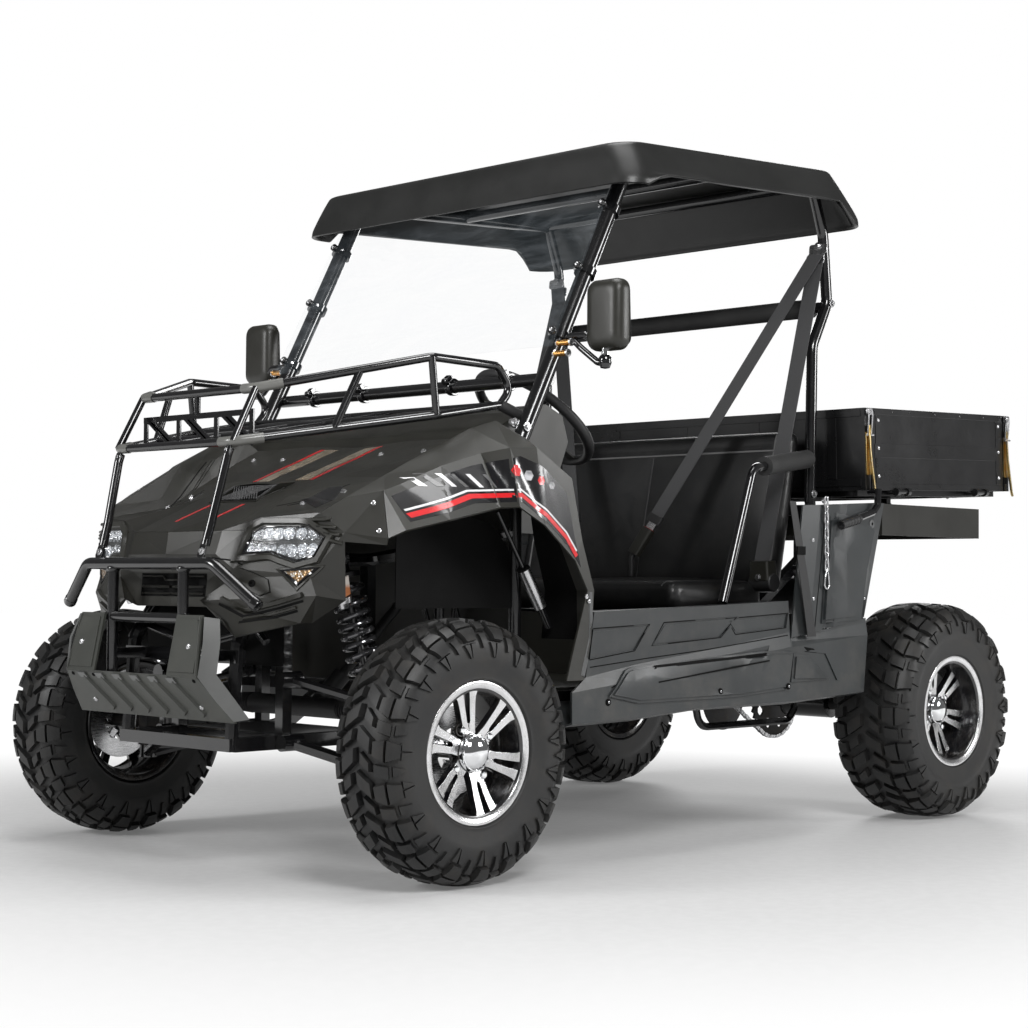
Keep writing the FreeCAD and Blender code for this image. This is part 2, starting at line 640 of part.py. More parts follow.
# ---------------------------------------------------------------- canopy
CANOPY_LEVELS = (
    # share of the flare, overhang at the front and rear, drop from the crown, extra drop at the rear
    (1.0, 22, 66, 100, 40),
    (0.93, 17, 58, 78, 34),
    (0.22, 4, 12, 20, 4),
    (0.0, -10, -8, 2, 0),
    (-0.75, -44, -14, 0, 0),
)
CANOPY_CORNER = 46


def canopy_level(flare_share, front, rear, drop, rear_drop, inset):
    """Outline of the canopy at one level, with its corners cut off."""
    x1 = size("canopy_front_x") + front - inset
    x2 = size("canopy_front_x") - size("canopy_length") - rear + inset
    crown_slope = size("canopy_rise") / size("canopy_length")
    z1 = size("canopy_front_z") + (size("canopy_front_x") - x1) * crown_slope - drop
    slope = crown_slope - rear_drop / (x1 - x2)
    half = size("canopy_half_width") + size("canopy_flare") * flare_share - inset
    cut = CANOPY_CORNER - inset * 0.6
    quarter = ((x1, half - cut), (x1 - cut, half), (x2 + cut, half), (x2, half - cut))
    outline = quarter + tuple((x, -y) for x, y in reversed(quarter))
    return [(x, y, z1 + (x1 - x) * slope) for x, y in outline]


def canopy():
    """Moulded roof shell with a rounded crown and a flared skirt, deeper at its corners."""
    wall = size("canopy_wall")
    outer = loft([canopy_level(*level, 0) for level in CANOPY_LEVELS])
    inner = loft([canopy_level(*level, wall) for level in CANOPY_LEVELS])
    inner.translate(Vector(0, 0, -wall))
    x1, z1 = size("canopy_front_x"), size("canopy_front_z")
    x2, z2 = x1 - size("canopy_length"), z1 + size("canopy_rise")
    arch = ((x1 - 66, z1 - 180), (x1 - 74, z1 - 84), (x1 - 96, z1 - 72), (x2 + 60, z2 - 84),
            (x2 + 28, z2 - 100), (x2 - 10, z2 - 180))
    return outer.cut(inner).cut(along_y(arch, -700, 700))


keep_shape("roof_canopy", canopy())

# ---------------------------------------------------------------- windscreen
pillar_line = Vector(PILLAR_HEAD[0] - PILLAR_FOOT[0], 0, PILLAR_HEAD[1] - PILLAR_FOOT[1]).normalize()
screen_normal = Vector(pillar_line.z, 0, -pillar_line.x)
screen_foot = Vector(PILLAR_FOOT[0], 0, PILLAR_FOOT[1]) + pillar_line * 222
SCREEN_HEIGHT = 470
SCREEN_HALF = 470
screen_back = screen_foot + screen_normal * (size("pillar_radius") + size("screen_gap"))


def screen():
    thickness = screen_normal * size("screen_thickness")
    top = pillar_line * SCREEN_HEIGHT
    low, high = screen_back, screen_back + top
    y = SCREEN_HALF
    corners = ((low.x, -y, low.z), (low.x, y, low.z), (high.x, y - 12, high.z), (high.x, -y + 12, high.z))
    return prism(corners, (thickness.x, thickness.y, thickness.z))


keep_shape("windscreen", screen())
CLAMP_STEPS = (39, 211, 380)
CLAMP_WALL = 6
clamps = []
for step in CLAMP_STEPS:
    centre = screen_foot + pillar_line * step
    centre.y = cage_y
    start = centre - pillar_line * 9
    ring = Part.makeCylinder(size("pillar_radius") + CLAMP_WALL, 18, start, pillar_line)
    ring = ring.cut(Part.makeCylinder(size("pillar_radius") + fit_gap, 18, start, pillar_line))
    clamps += [ring, mirrored(ring)]
keep_shape("screen_clamps", Part.makeCompound(clamps))

# ---------------------------------------------------------------- mirrors
MIRROR_LEVELS = (
    # height, lean to the front, half width, half depth
    (1090, 0, 34, 12), (1100, 2, 46, 18), (1225, 8, 50, 20), (1243, 10, 36, 13),
)
MIRROR_CENTRE = (446, 586)
MIRROR_ARM_X, MIRROR_ARM_Z = 452, 1127


def mirror():
    """Left mirror: a rounded housing on an arm from the screen pillar."""
    levels = []
    for z, lean, wide, deep in MIRROR_LEVELS:
        x, y = MIRROR_CENTRE[0] - lean, MIRROR_CENTRE[1]
        levels.append([(x - deep, y - wide, z), (x - deep, y + wide, z), (x + deep * 0.5, y + wide, z),
                       (x + deep, y + wide * 0.6, z), (x + deep, y - wide * 0.6, z),
                       (x + deep * 0.5, y - wide, z)])
    arm_root = cage_y + size("pillar_radius") + CLAMP_WALL + 0.1
    arm = rod((MIRROR_ARM_X, arm_root, MIRROR_ARM_Z), (MIRROR_ARM_X, 545, MIRROR_ARM_Z), 8)
    return loft(levels).fuse(arm)


keep_shape("mirrors", both_sides(mirror()))

# ---------------------------------------------------------------- hood, fenders, fascia
# The front of the body is one faceted surface, parted into panels along its seams. Corners are on
# the left half; the right half mirrors them.
skin = size("panel_thickness")
FRONT = {
    # seam between hood and fascia, middle to side
    "top0": (1150, 0, 694), "top1": (1126, 150, 696), "top2": (1109, 203, 696), "top3": (1094, 237, 722),
    "top4": (1055, 372, 731), "top5": (1013, 398, 761),
    # bumper-side face of the fascia: brow, recess and chin
    "brow0": (1156, 0, 648), "brow1": (1142, 150, 648),
    "recess0": (1140, 0, 612), "recess1": (1132, 150, 612), "chin0": (1140, 0, 541), "chin1": (1140, 125, 541),
    # lamp surround
    "lamp_in": (1132, 195, 619), "lamp_low": (1132, 195, 600), "lamp_out": (1032, 420, 691),
    "ledge_in": (1030, 418, 673), "ledge_out": (981, 487, 667), "jaw": (1070, 360, 606),
    "cheek": (1070, 380, 566), "lip0": (1166, 131, 554), "lip1": (1162, 200, 518), "lip2": (1155, 232, 484),
    "lip3": (1077, 340, 512), "splash1": (1012, 402, 557), "splash2": (1038, 330, 511),
    # upper edge of the fender's side, front to rear, and the edge of its wheel arch
    "edge0": (957, 448, 775), "edge1": (926, 463, 789), "edge2": (841, 490, 828), "edge3": (767, 530, 856),
    "edge4": (725, 572, 868), "edge5": (660, 585, 872), "edge6": (555, 588, 812), "edge7": (526, 592, 683),
    "edge8": (488, 592, 579), "edge9": (497, 592, 474), "edge10": (518, 592, 391),
    "arch0": (979, 488, 680), "arch1": (967, 525, 695), "arch2": (895, 575, 717), "arch3": (771, 592, 745),
    "arch4": (714, 592, 747), "arch5": (639, 592, 712), "arch6": (547, 592, 641), "arch7": (508, 592, 579),
    "arch8": (544, 592, 474), "arch9": (571, 592, 391),
    # flange behind the fender, towards the cabin
    "jamb5": (600, 500, 896), "jamb6": (548, 500, 838), "jamb7": (515, 520, 683), "jamb8": (480, 540, 579),
    "jamb9": (490, 552, 474), "jamb10": (510, 552, 391),
}
HOOD_ROWS = (
    # x and z on the middle line, y and z of the panel's edge, valley, crest strip and crest, and the
    # crest's x; the crest ends the hood and starts the fender
    (960, 772, 150, 774, 318, 757, 352, 777, 405, 811, 912),
    (850, 812, 156, 815, 330, 812, 372, 838, 425, 867, 808),
    (730, 858, 160, 864, 345, 866, 388, 894, 440, 915, 708),
    (632, 896, 165, 904, 352, 902, 396, 926, 445, 935, 639),
)
HOOD_RAKE = 0.5
for number, row in enumerate(HOOD_ROWS, start=1):
    x, centre_z, panel_y, panel_z, valley_y, valley_z, strip_y, strip_z, crest_y, crest_z, crest_x = row
    slant = (x - crest_x) / crest_y
    FRONT["middle%d" % number] = (x, 0, centre_z)
    FRONT["panel%d" % number] = (x - slant * panel_y * HOOD_RAKE, panel_y, panel_z)
    FRONT["valley%d" % number] = (x - slant * valley_y, valley_y, valley_z)
    FRONT["strip%d" % number] = (x - slant * strip_y, strip_y, strip_z)
    FRONT["crest%d" % number] = (crest_x, crest_y, crest_z)
HOOD_COLUMNS = ("middle", "panel", "valley", "strip", "crest")
HOOD_FACETS = ["top0 top1 panel1 middle1", "top1 top2 top3 panel1", "top3 valley1 panel1",
               "top3 top4 valley1", "top4 strip1 valley1", "top4 top5 strip1", "top5 crest1 strip1"]
for number in range(1, len(HOOD_ROWS)):
    for inner, outer in zip(HOOD_COLUMNS, HOOD_COLUMNS[1:]):
        HOOD_FACETS.append("%s%d %s%d %s%d %s%d" % (
            inner, number, outer, number, outer, number + 1, inner, number + 1))
FENDER_FACETS = [
    "top5 edge0 crest1", "edge0 edge1 crest1", "edge1 edge2 crest1", "edge2 crest2 crest1",
    "edge2 edge3 crest2", "edge3 crest3 crest2", "edge3 edge4 crest3", "edge4 edge5 crest4 crest3",
    "edge0 arch0 arch1 edge1", "edge5 arch5 arch6 edge6", "edge6 arch6 edge7", "edge7 arch6 arch7 edge8",
    "edge8 arch7 arch8 edge9", "edge9 arch8 arch9 edge10",
    "crest4 edge5 edge6 jamb5", "edge6 jamb6 jamb5", "edge6 edge7 jamb7 jamb6", "edge7 edge8 jamb8 jamb7",
    "edge8 edge9 jamb9 jamb8", "edge9 edge10 jamb10 jamb9",
]
FENDER_FACETS += ["edge%d arch%d arch%d edge%d" % (n, n, n + 1, n + 1) for n in range(1, 5)]
LAMP_FACETS = ["lamp_in top2 top3", "lamp_in top3 top4", "lamp_in top4 lamp_out", "lamp_in lamp_out jaw",
               "lamp_in jaw lamp_low", "lamp_low jaw cheek"]
LAMP_FACETS = [" ".join(reversed(facet.split())) for facet in LAMP_FACETS]
FASCIA_FACETS = LAMP_FACETS + [
    "brow0 brow1 top1 top0", "recess0 recess1 brow1 brow0", "chin0 chin1 recess1 recess0",
    "brow1 lamp_in top2 top1", "recess1 lamp_low lamp_in brow1", "chin1 lip0 lamp_low recess1",
    "lip0 cheek lamp_low", "lip0 lip3 cheek", "lip0 lip2 lip3", "lip0 lip1 lip2",
    "top4 edge0 top5", "top4 lamp_out edge0", "lamp_out arch0 edge0", "lamp_out ledge_in ledge_out arch0",
    "lamp_out jaw ledge_in", "ledge_in jaw splash1", "jaw cheek splash1", "cheek splash2 splash1",
    "cheek lip3 splash2",
]
# The seams are cut half a gap into each panel by moving it away from its neighbours.
FENDER_SHIFT = Vector(0, 0.6, 0)
FASCIA_SHIFT = Vector(0.7, 0, -0.8)
front_corners, front_facets = mirrored_corners(FRONT, HOOD_FACETS + FENDER_FACETS + FASCIA_FACETS)
front_normals = corner_normals(front_corners, front_facets)


def front_panel(facets, outer_depth, inner_depth, whole=True):
    """One panel of the front surface, over both halves or only on the left."""
    if whole:
        facets = mirrored_corners(FRONT, facets)[1]
    return skin_between(front_corners, facets, front_normals, outer_depth, inner_depth)


VENT = ((975, 72), (915, 72), (915, -72), (975, -72))
vent_window = prism([(x, y, 700) for x, y in VENT], (0, 0, 200))
keep_shape("hood", front_panel(HOOD_FACETS, 0, skin).cut(vent_window))

pillar_foot = Vector(PILLAR_FOOT[0], cage_y, PILLAR_FOOT[1]) - pillar_line * 30
pillar_space = Part.makeCylinder(size("pillar_radius") + 2, 200, pillar_foot, pillar_line)
left_fender = front_panel(FENDER_FACETS, 0, skin, whole=False).translated(FENDER_SHIFT).cut(pillar_space)
keep_shape("left_front_fender", left_fender)
keep_shape("right_front_fender", mirrored(left_fender))

LAMP_OUTLINE = ((1120, 209, 647), (1105, 223, 692), (1096, 246, 704), (1067, 349, 703), (1056, 380, 681),
                (1078, 363, 643), (1091, 326, 633), (1098, 294, 643), (1101, 273, 651))
SIGNAL_OUTLINE = ((1104, 300, 614), (1082, 372, 620), (1101, 337, 588))
LAMP_FACING = Vector(0.936, 0.263, 0.234).normalize()
LAMP_DEPTH = 20


def lamp_space(outline, grow):
    """A straight shaft through the surround in the outline of a lamp, grown by a gap."""
    corners = [Vector(*place) for place in outline]
    middle = Vector()
    for corner in corners:
        middle += corner * (1.0 / len(corners))
    flat = [corner - LAMP_FACING * (corner - middle).dot(LAMP_FACING) for corner in corners]
    moved = [corner + (corner - middle).normalize() * grow - LAMP_FACING * 40 for corner in flat]
    return prism(moved, LAMP_FACING * 80)


fascia = front_panel(FASCIA_FACETS, 0, skin).translated(FASCIA_SHIFT)
for outline in (LAMP_OUTLINE, SIGNAL_OUTLINE):
    shaft = lamp_space(outline, 0.5)
    fascia = fascia.cut(shaft).cut(mirrored(shaft))
keep_shape("front_fascia", fascia)
lamp_body = front_panel(LAMP_FACETS, 1.5, LAMP_DEPTH, whole=False).translated(FASCIA_SHIFT)
lamps = [lamp_body.common(lamp_space(outline, 0)) for outline in (LAMP_OUTLINE, SIGNAL_OUTLINE)]
keep_shape("headlamps", Part.makeCompound(lamps + [mirrored(lamp) for lamp in lamps]))

# ---------------------------------------------------------------- wheel well liners
LINER_Y = 446
LINER_THICKNESS = 3
LINER_WALL = ((905, 540), (905, 715), (760, 742), (640, 720), (590, 676), (573.9, 652), (573.9, 540))
LINER_ROWS = ("5", "6", "7", "8", "9")
liner_corners = {}
for row in LINER_ROWS:
    x, y, z = FRONT["jamb" + row]
    liner_corners["out" + row] = (x, y - 1.6, z)
    liner_corners["in" + row] = (x, LINER_Y, z)
liner_facets = ["out%s out%s in%s in%s" % (a, b, b, a) for a, b in zip(LINER_ROWS, LINER_ROWS[1:])]
liner_back = skin_between(liner_corners, liner_facets, corner_normals(liner_corners, liner_facets),
                          0, LINER_THICKNESS).cut(pillar_space)
liner_wall = along_y(LINER_WALL, 428, 428 + LINER_THICKNESS)
liners = [liner_back, liner_wall]
keep_shape("wheel_liners", Part.makeCompound(liners + [mirrored(liner) for liner in liners]))

# ---------------------------------------------------------------- bumper, skid plate, rack
bar_z = size("bumper_bar_z")
BAR_X, UPRIGHT_Y = 1201, 122
BUMPER_BAR = ((1173, -326, bar_z - 84), (BAR_X, -216, bar_z), (BAR_X, 216, bar_z), (1173, 326, bar_z - 84))


def bumper():
    radius = size("bumper_tube_radius")
    members = [tube(BUMPER_BAR, radius, 40)]
    for side in (LEFT, RIGHT):
        y = side * UPRIGHT_Y
        members.append(rod((BAR_X, y, bar_z), (BAR_X, y, 380), radius - 1))
        members.append(rod((BAR_X, y, STUB_Z), (STUB_X + CROSS_TUBE + fit_gap, y, STUB_Z), radius - 1))
    members.append(rod((BAR_X, -UPRIGHT_Y - 18, 517), (BAR_X, UPRIGHT_Y + 18, 517), radius - 1.5))
    return fused(members)


keep_shape("front_bumper", bumper())
skid = loft((
    [(1244.28, 225, 405), (1244.28, -225, 405), (1240, -225, 405), (1240, 225, 405)],
    [(1178, 265, 313), (1178, -265, 313), (1172, -265, 313), (1172, 265, 313)],
))
cheek = loft((
    ((1244.28, 126, 402), (1244.28, 226, 402), (1240, 226, 402), (1240, 126, 402)),
    ((1218.8, 126, 525), (1218.8, 208, 525), (1212.8, 208, 525), (1212.8, 126, 525)),
))
keep_shape("skid_plate", fused((skid, cheek, mirrored(cheek))))

RACK_LOWER = ((1140, 199, 874), (780, 413, 939), (592, 413, 973), (545, 428.7, 952))
RACK_UPPER = ((1080, 195, 987), (794, 413, 1059), (600, 413, 1056), (560, 413, 1010), (592, 413, 973))
RACK_POSTS = (
    # foot, head
    ((965, 306, 905), (912, 323, 1026)), (RACK_LOWER[0], RACK_UPPER[0]), (RACK_LOWER[1], RACK_UPPER[1]),
)
RACK_CROSS = (RACK_LOWER[0], RACK_UPPER[0], RACK_LOWER[1], RACK_LOWER[2], RACK_POSTS[0][0])
RACK_FLOOR_Y = 66
TRUSS_X, TRUSS_THICKNESS = 1078, 4
TRUSS_LOW, TRUSS_HIGH, TRUSS_HALF = 879, 945, 190
TRUSS_BAY, TRUSS_FRAME = 130, 12
TRUSS_WINDOWS = (((16, 56), (92, 56), (16, 14)), ((38, 12), (114, 12), (114, 54)))


def truss():
    """Upright plate across the basket's front: posts and slanted bars around triangular windows."""
    plate = block((TRUSS_X, -TRUSS_HALF, TRUSS_LOW), (TRUSS_X + TRUSS_THICKNESS, TRUSS_HALF, TRUSS_HIGH))
    for bay in (-1.5, -0.5, 0.5):
        for outline in TRUSS_WINDOWS:
            corners = [(TRUSS_X - 1, max(bay * TRUSS_BAY + y, TRUSS_FRAME - TRUSS_HALF), TRUSS_LOW + z)
                       for y, z in outline]
            plate = plate.cut(prism(corners, (TRUSS_THICKNESS + 2, 0, 0)))
    middle_x = TRUSS_X + TRUSS_THICKNESS / 2
    return plate.fuse(rod((middle_x, 0, TRUSS_HIGH - 4), (middle_x, 0, RACK_UPPER[0][2]), 6, 8))


def rack():
    """Flared basket of bent tubes over the hood."""
    radius = size("rack_tube_radius")
    members = []
    for side in (LEFT, RIGHT):
        for line, bend in ((RACK_LOWER, 40), (RACK_UPPER, 18)):
            members.append(tube([(x, side * y, z) for x, y, z in line], radius + 1, bend, 8))
        for post in RACK_POSTS:
            foot, head = [(x, side * y, z) for x, y, z in post]
            members.append(rod(foot, head, radius, 8))
        members.append(rod((RACK_LOWER[0][0], side * RACK_FLOOR_Y, RACK_LOWER[0][2]),
                           (RACK_LOWER[2][0], side * RACK_FLOOR_Y, RACK_LOWER[2][2]), radius - 2, 6))
    for x, y, z in RACK_CROSS:
        members.append(rod((x, -y, z), (x, y, z), radius, 8))
    return fused(members + [truss()])


keep_shape("front_rack", rack())
brace = tube(((1200, 178, bar_z + size("bumper_tube_radius") + 1.1), (1176, 180, 700),
              (RACK_LOWER[0][0], 190, RACK_LOWER[0][2] - 10.4)), 10, 60)
keep_shape("rack_braces", both_sides(brace))

# ---------------------------------------------------------------- dashboard, floor, seats
body_y = size("body_half_width")
floor_top = FRAME_Z + FRAME_TUBE + fit_gap
DASH = ((545.7, 700), (545.7, 850), (645, 866), (660, 879), (629, 884), (604, 922), (530, 964), (452, 984),
        (398, 962), (379, 905), (438, 762), (470, 700))
dash = along_y(DASH, -415, 415)
pod_space = Part.makeCylinder(POD_RADIUS + fit_gap, 60, pod_start - column_line * 12, column_line)
column_space = rod(COLUMN_FOOT, COLUMN_TOP, COLUMN_RADIUS + fit_gap)
keep_shape("dashboard", dash.cut(column_space).cut(pod_space))
floor = fused((
    block((-440, -478, floor_top), (530, 478, floor_top + 5)),
    block((525, -410, floor_top), (530, 410, 699.7)),
))
engine_hole = block((-470, -200, floor_top - 1), (-70, 200, floor_top + 6))
keep_shape("floor_pan", floor.cut(column_space).cut(engine_hole))
seat_front = size("cushion_front_x")
seat_back = seat_front - size("cushion_length")
seat_low = size("cushion_top_z") - size("cushion_thickness")
seat_y = size("seat_half_width")
base = block((seat_back - 90, -480, floor_top + 5.5), (seat_front - 30, 480, seat_low - 0.5))
base_space = block((seat_back - 100, -474, floor_top), (seat_front - 36, 474, seat_low - 6))
keep_shape("seat_base", base.cut(base_space))
keep_shape("seat_cushion", block((seat_back, -seat_y, seat_low), (seat_front, seat_y, size("cushion_top_z"))))
back_low = size("cushion_top_z") - 40
lean = 92
thick = size("backrest_thickness")
keep_shape("seat_backrest", prism((
    (seat_back - fit_gap, -seat_y, back_low), (seat_back - lean, -seat_y, size("backrest_top_z")),
    (seat_back - lean - thick, -seat_y, size("backrest_top_z")), (seat_back - thick - 2, -seat_y, back_low)),
    (0, 2 * seat_y, 0)))

# ---------------------------------------------------------------- rocker and quarter panels
ROCKER_LEVELS = ("sill", "top", "ridge", "band", "foot", "under", "inner")
ROCKER_Y = (514.4, 583, 585, body_y, body_y, 562, 514.4)
ROCKER_STATIONS = (
    # x and z of each level: sill, top, ridge, band, foot, under, inner
    ((474, 533), (476, 533), (504, 396), (554, 366), (553, 300), (550, 292), (540, 340)),
    ((337, 536), (337, 538), (337, 420), (337, 386), (337, 304), (337, 296), (337, 340)),
    ((131, 541), (131, 543), (131, 441), (131, 407), (131, 317), (131, 309), (131, 340)),
    ((-211, 553), (-211, 555), (-211, 481), (-211, 447), (-211, 318), (-211, 310), (-211, 340)),
    ((-217, 463), (-217, 465), (-217, 459), (-217, 446), (-217, 318), (-217, 310), (-217, 340)),
    ((-533, 510), (-533, 512), (-531, 500), (-528, 470), (-512, 330), (-510, 322), (-516, 340)),
)
rocker_corners = {}
for number, station in enumerate(ROCKER_STATIONS):
    for level, y, (x, z) in zip(ROCKER_LEVELS, ROCKER_Y, station):
        rocker_corners["%d%s" % (number, level)] = (x, y, z)
rocker_facets = []
for number in range(len(ROCKER_STATIONS) - 1):
    for upper, lower in zip(ROCKER_LEVELS, ROCKER_LEVELS[1:]):
        rocker_facets.append("%d%s %d%s %d%s %d%s" % (
            number, upper, number, lower, number + 1, lower, number + 1, upper))
rocker = skin_between(rocker_corners, rocker_facets, corner_normals(rocker_corners, rocker_facets), 0, skin)
POCKETS = (
    # depth, outline: three step panels, the slot over the plank, the slot under it, the heel pocket
    (2, ((497, 496), (298, 504), (347, 450), (500, 433))),
    (2, ((247, 507), (-14, 518), (48, 474), (287, 460))),
    (2, ((23, 514), (-206, 524), (-198, 493), (-7, 480))),
    (3, ((380, 408), (-130, 452), (-118, 434), (330, 390))),
    (3, ((386, 346), (330, 352), (-118, 396), (-118, 366), (60, 344))),
    (3, ((-262, 436), (-350, 428), (-400, 362), (-250, 384))),
)
for depth, outline in POCKETS:
    shelf = body_y if depth > 2 else ROCKER_Y[1]
    rocker = rocker.cut(along_y(outline, shelf - depth, body_y + 20))
PLANK = ((330, 390), (-118, 434), (-118, 396), (330, 352))
rocker = rocker.fuse(along_y(PLANK, body_y - 4, body_y + 3))
keep_shape("rocker_panels", both_sides(rocker))

QUARTER_FOLDS = (
    # top x, y, z, bottom x, y, z
    (-268, 584, 783, -222, 584, 467.5), (-330, body_y, 786, -282, body_y, 476.5),
    (-392, body_y, 789, -336, body_y, 484.5), (-404, 580, 790, -348, 580, 486.5),
    (-428, 580, 791, -368, 580, 489.5), (-440, body_y, 792, -382, body_y, 491.5),
    (-562, body_y, 798, -500, body_y, 509), (-621, 578, 799, -533, 578, 514),
)
quarter_corners = {}
for number, (tx, ty, tz, bx, by, bz) in enumerate(QUARTER_FOLDS):
    quarter_corners["top%d" % number] = (tx, ty, tz)
    quarter_corners["foot%d" % number] = (bx, by, bz)
quarter_facets = ["top%d foot%d foot%d top%d" % (n, n, n + 1, n + 1) for n in range(len(QUARTER_FOLDS) - 1)]
quarter = skin_between(quarter_corners, quarter_facets, corner_normals(quarter_corners, quarter_facets),
                       0, skin)
post_side = HOOP_Y + 13.6 + fit_gap
mounting_tab = block((HOOP_X - 14, post_side, 700), (HOOP_X + 14, body_y - skin + 1, 706))
keep_shape("quarter_panels", both_sides(quarter.fuse(mounting_tab)))

# ---------------------------------------------------------------- rear running gear
axle_radius = size("rear_axle_radius")
rear_hub_inner = size("rear_wheel_y") + size("rear_rim_width") / 2 - size("rear_dish") - size("hub_depth")
TEETH = 34


def sprocket(radius, start, thickness):
    """Toothed wheel of the final drive, with a ring of lightening holes."""
    outline = []
    for index in range(2 * TEETH):
        turn = math.pi * index / TEETH
        reach = radius if index % 2 else radius - 9
        outline.append((rear_x + reach * math.cos(turn), rear_z + reach * math.sin(turn)))
    wheel = along_y(outline, start, start + thickness)
    for index in range(8):
        turn = math.pi * (index + 0.5) / 4
        x, z = rear_x + 66 * math.cos(turn), rear_z + 66 * math.sin(turn)
        wheel = wheel.cut(rod((x, start - 1, z), (x, start + thickness + 1, z), 13, 8))
    return wheel


axle = fused((
    rod((rear_x, -rear_hub_inner, rear_z), (rear_x, rear_hub_inner, rear_z), axle_radius),
    sprocket(102, 84, 6),
    rod((rear_x, -90, rear_z), (rear_x, -86, rear_z), 92),
    rod((rear_x, -90, rear_z), (rear_x, -60, rear_z), 30),
    rod((rear_x, 60, rear_z), (rear_x, 90, rear_z), 30),
))
keep_shape("rear_axle", axle)
carrier_bore = axle_radius + 0.3
swing = []
for side in (LEFT, RIGHT):
    swing.append(rod((SWING_PIVOT[0], side * 130, SWING_PIVOT[1]),
                     (rear_x + 30, side * 160, rear_z + 10), 18))
    swing.append(rod((rear_x, side * 135, rear_z), (rear_x, side * 280, rear_z), 38))
    swing.append(rod((rear_x + 20, side * 269, rear_z + 18), (-770, side * 269, 322), 14))
swing.append(rod((SWING_PIVOT[0], -SWING_HALF, SWING_PIVOT[1]),
                 (SWING_PIVOT[0], SWING_HALF, SWING_PIVOT[1]), 20))
swing.append(rod((-640, -150, 292), (-640, 150, 292), 16))
bore = rod((rear_x, -300, rear_z), (rear_x, 300, rear_z), carrier_bore)
keep_shape("rear_swing_arm", fused(swing).cut(bore))
keep_shape("engine_block", block((-440, -170, FRAME_Z + FRAME_TUBE + fit_gap), (-80, 170, 505)))
muffler = fused((
    rod((-960, -230, 560), (-960, 150, 560), 55),
    rod((-960, -225, 560), (-1010, -300, 540), 16),
    rod((-960, -120, 600), (-960, -120, BED_RAIL_Z - CROSS_TUBE - fit_gap), 6),
    rod((-960, 60, 600), (-960, 60, BED_RAIL_Z - CROSS_TUBE - fit_gap), 6),
))
keep_shape("exhaust_muffler", muffler)

tub_inner = BED_RAIL_Z + FRAME_TUBE + fit_gap
tub_space = block((-1099, -555, 710), (-645, 555, tub_inner))
tub = block((-1104, -560, 720), (-640, 560, tub_inner + 5)).cut(tub_space)
for side in (LEFT, RIGHT):
    tub = tub.cut(rod((-600, side * BED_RAIL_Y, BED_RAIL_Z), (-660, side * BED_RAIL_Y, BED_RAIL_Z),
                      FRAME_TUBE + fit_gap, BOX))
    tub = tub.cut(block((BED_PIVOT[0] - 20, side * 270 - 34, 790), (BED_PIVOT[0] + 20, side * 270 + 34, 900)))
keep_shape("rear_tub", tub)
tail_lamp = block((-1116, 430, 730), (-1104.3, 540, 780))
keep_shape("tail_lamps", both_sides(tail_lamp))

# ---------------------------------------------------------------- cargo bed
bed_place = Placement(Vector(size("bed_front_x"), 0, size("bed_base_z")), Rotation(AXIS_Y, size("bed_rake")))
bed_len = size("bed_length")
bed_y = size("bed_half_width")
gate_t = size("gate_thickness")
gate_z = size("bed_rail") / 2
gate_top = gate_z + size("gate_height")
gap = size("gate_gap")
inner_y = bed_y - gate_t - gap
HINGE_PIN = 6
HINGE_OUT = 5
hinge_z = gate_z - 4
pivot_local = bed_place.inverse().multVec(Vector(BED_PIVOT[0], 0, BED_PIVOT[1]))


def hinge_leaf(reach):
    """Fixed half of a gate hinge: a pin along X at the origin and the plate that carries it, on -Y."""
    return rod((-30, 0, 0), (30, 0, 0), HINGE_PIN).fuse(block((-17, -reach, -HINGE_PIN), (17, 0, -1)))


def hinge_sleeves():
    """Moving half: two sleeves on the pin's ends with plates up to the gate's lower edge."""
    pieces = []
    for start in (-30, 18):
        sleeve = rod((start, 0, 0), (start + 12, 0, 0), HINGE_PIN + 4)
        foot = block((start, -HINGE_OUT - 12, 2), (start + 12, 2, gate_z - hinge_z + 1))
        pieces.append(sleeve.fuse(foot).cut(rod((start - 1, 0, 0), (start + 13, 0, 0), HINGE_PIN + fit_gap)))
    return pieces


def placed(shape, x, y, z, turn=0):
    """A copy turned about Z and moved."""
    copy = shape.copy()
    copy.Placement = Placement(Vector(x, y, z), Rotation(AXIS_Z, turn)).multiply(shape.Placement)
    return copy


side_length = bed_len - 2 * gate_t - 2 * gap
SIDE_HINGES = [-gate_t - gap - side_length * share for share in (0.2, 0.8)]
TAIL_HINGES = (-380, 380)
plate_reach = gate_t + gap + HINGE_OUT + 4


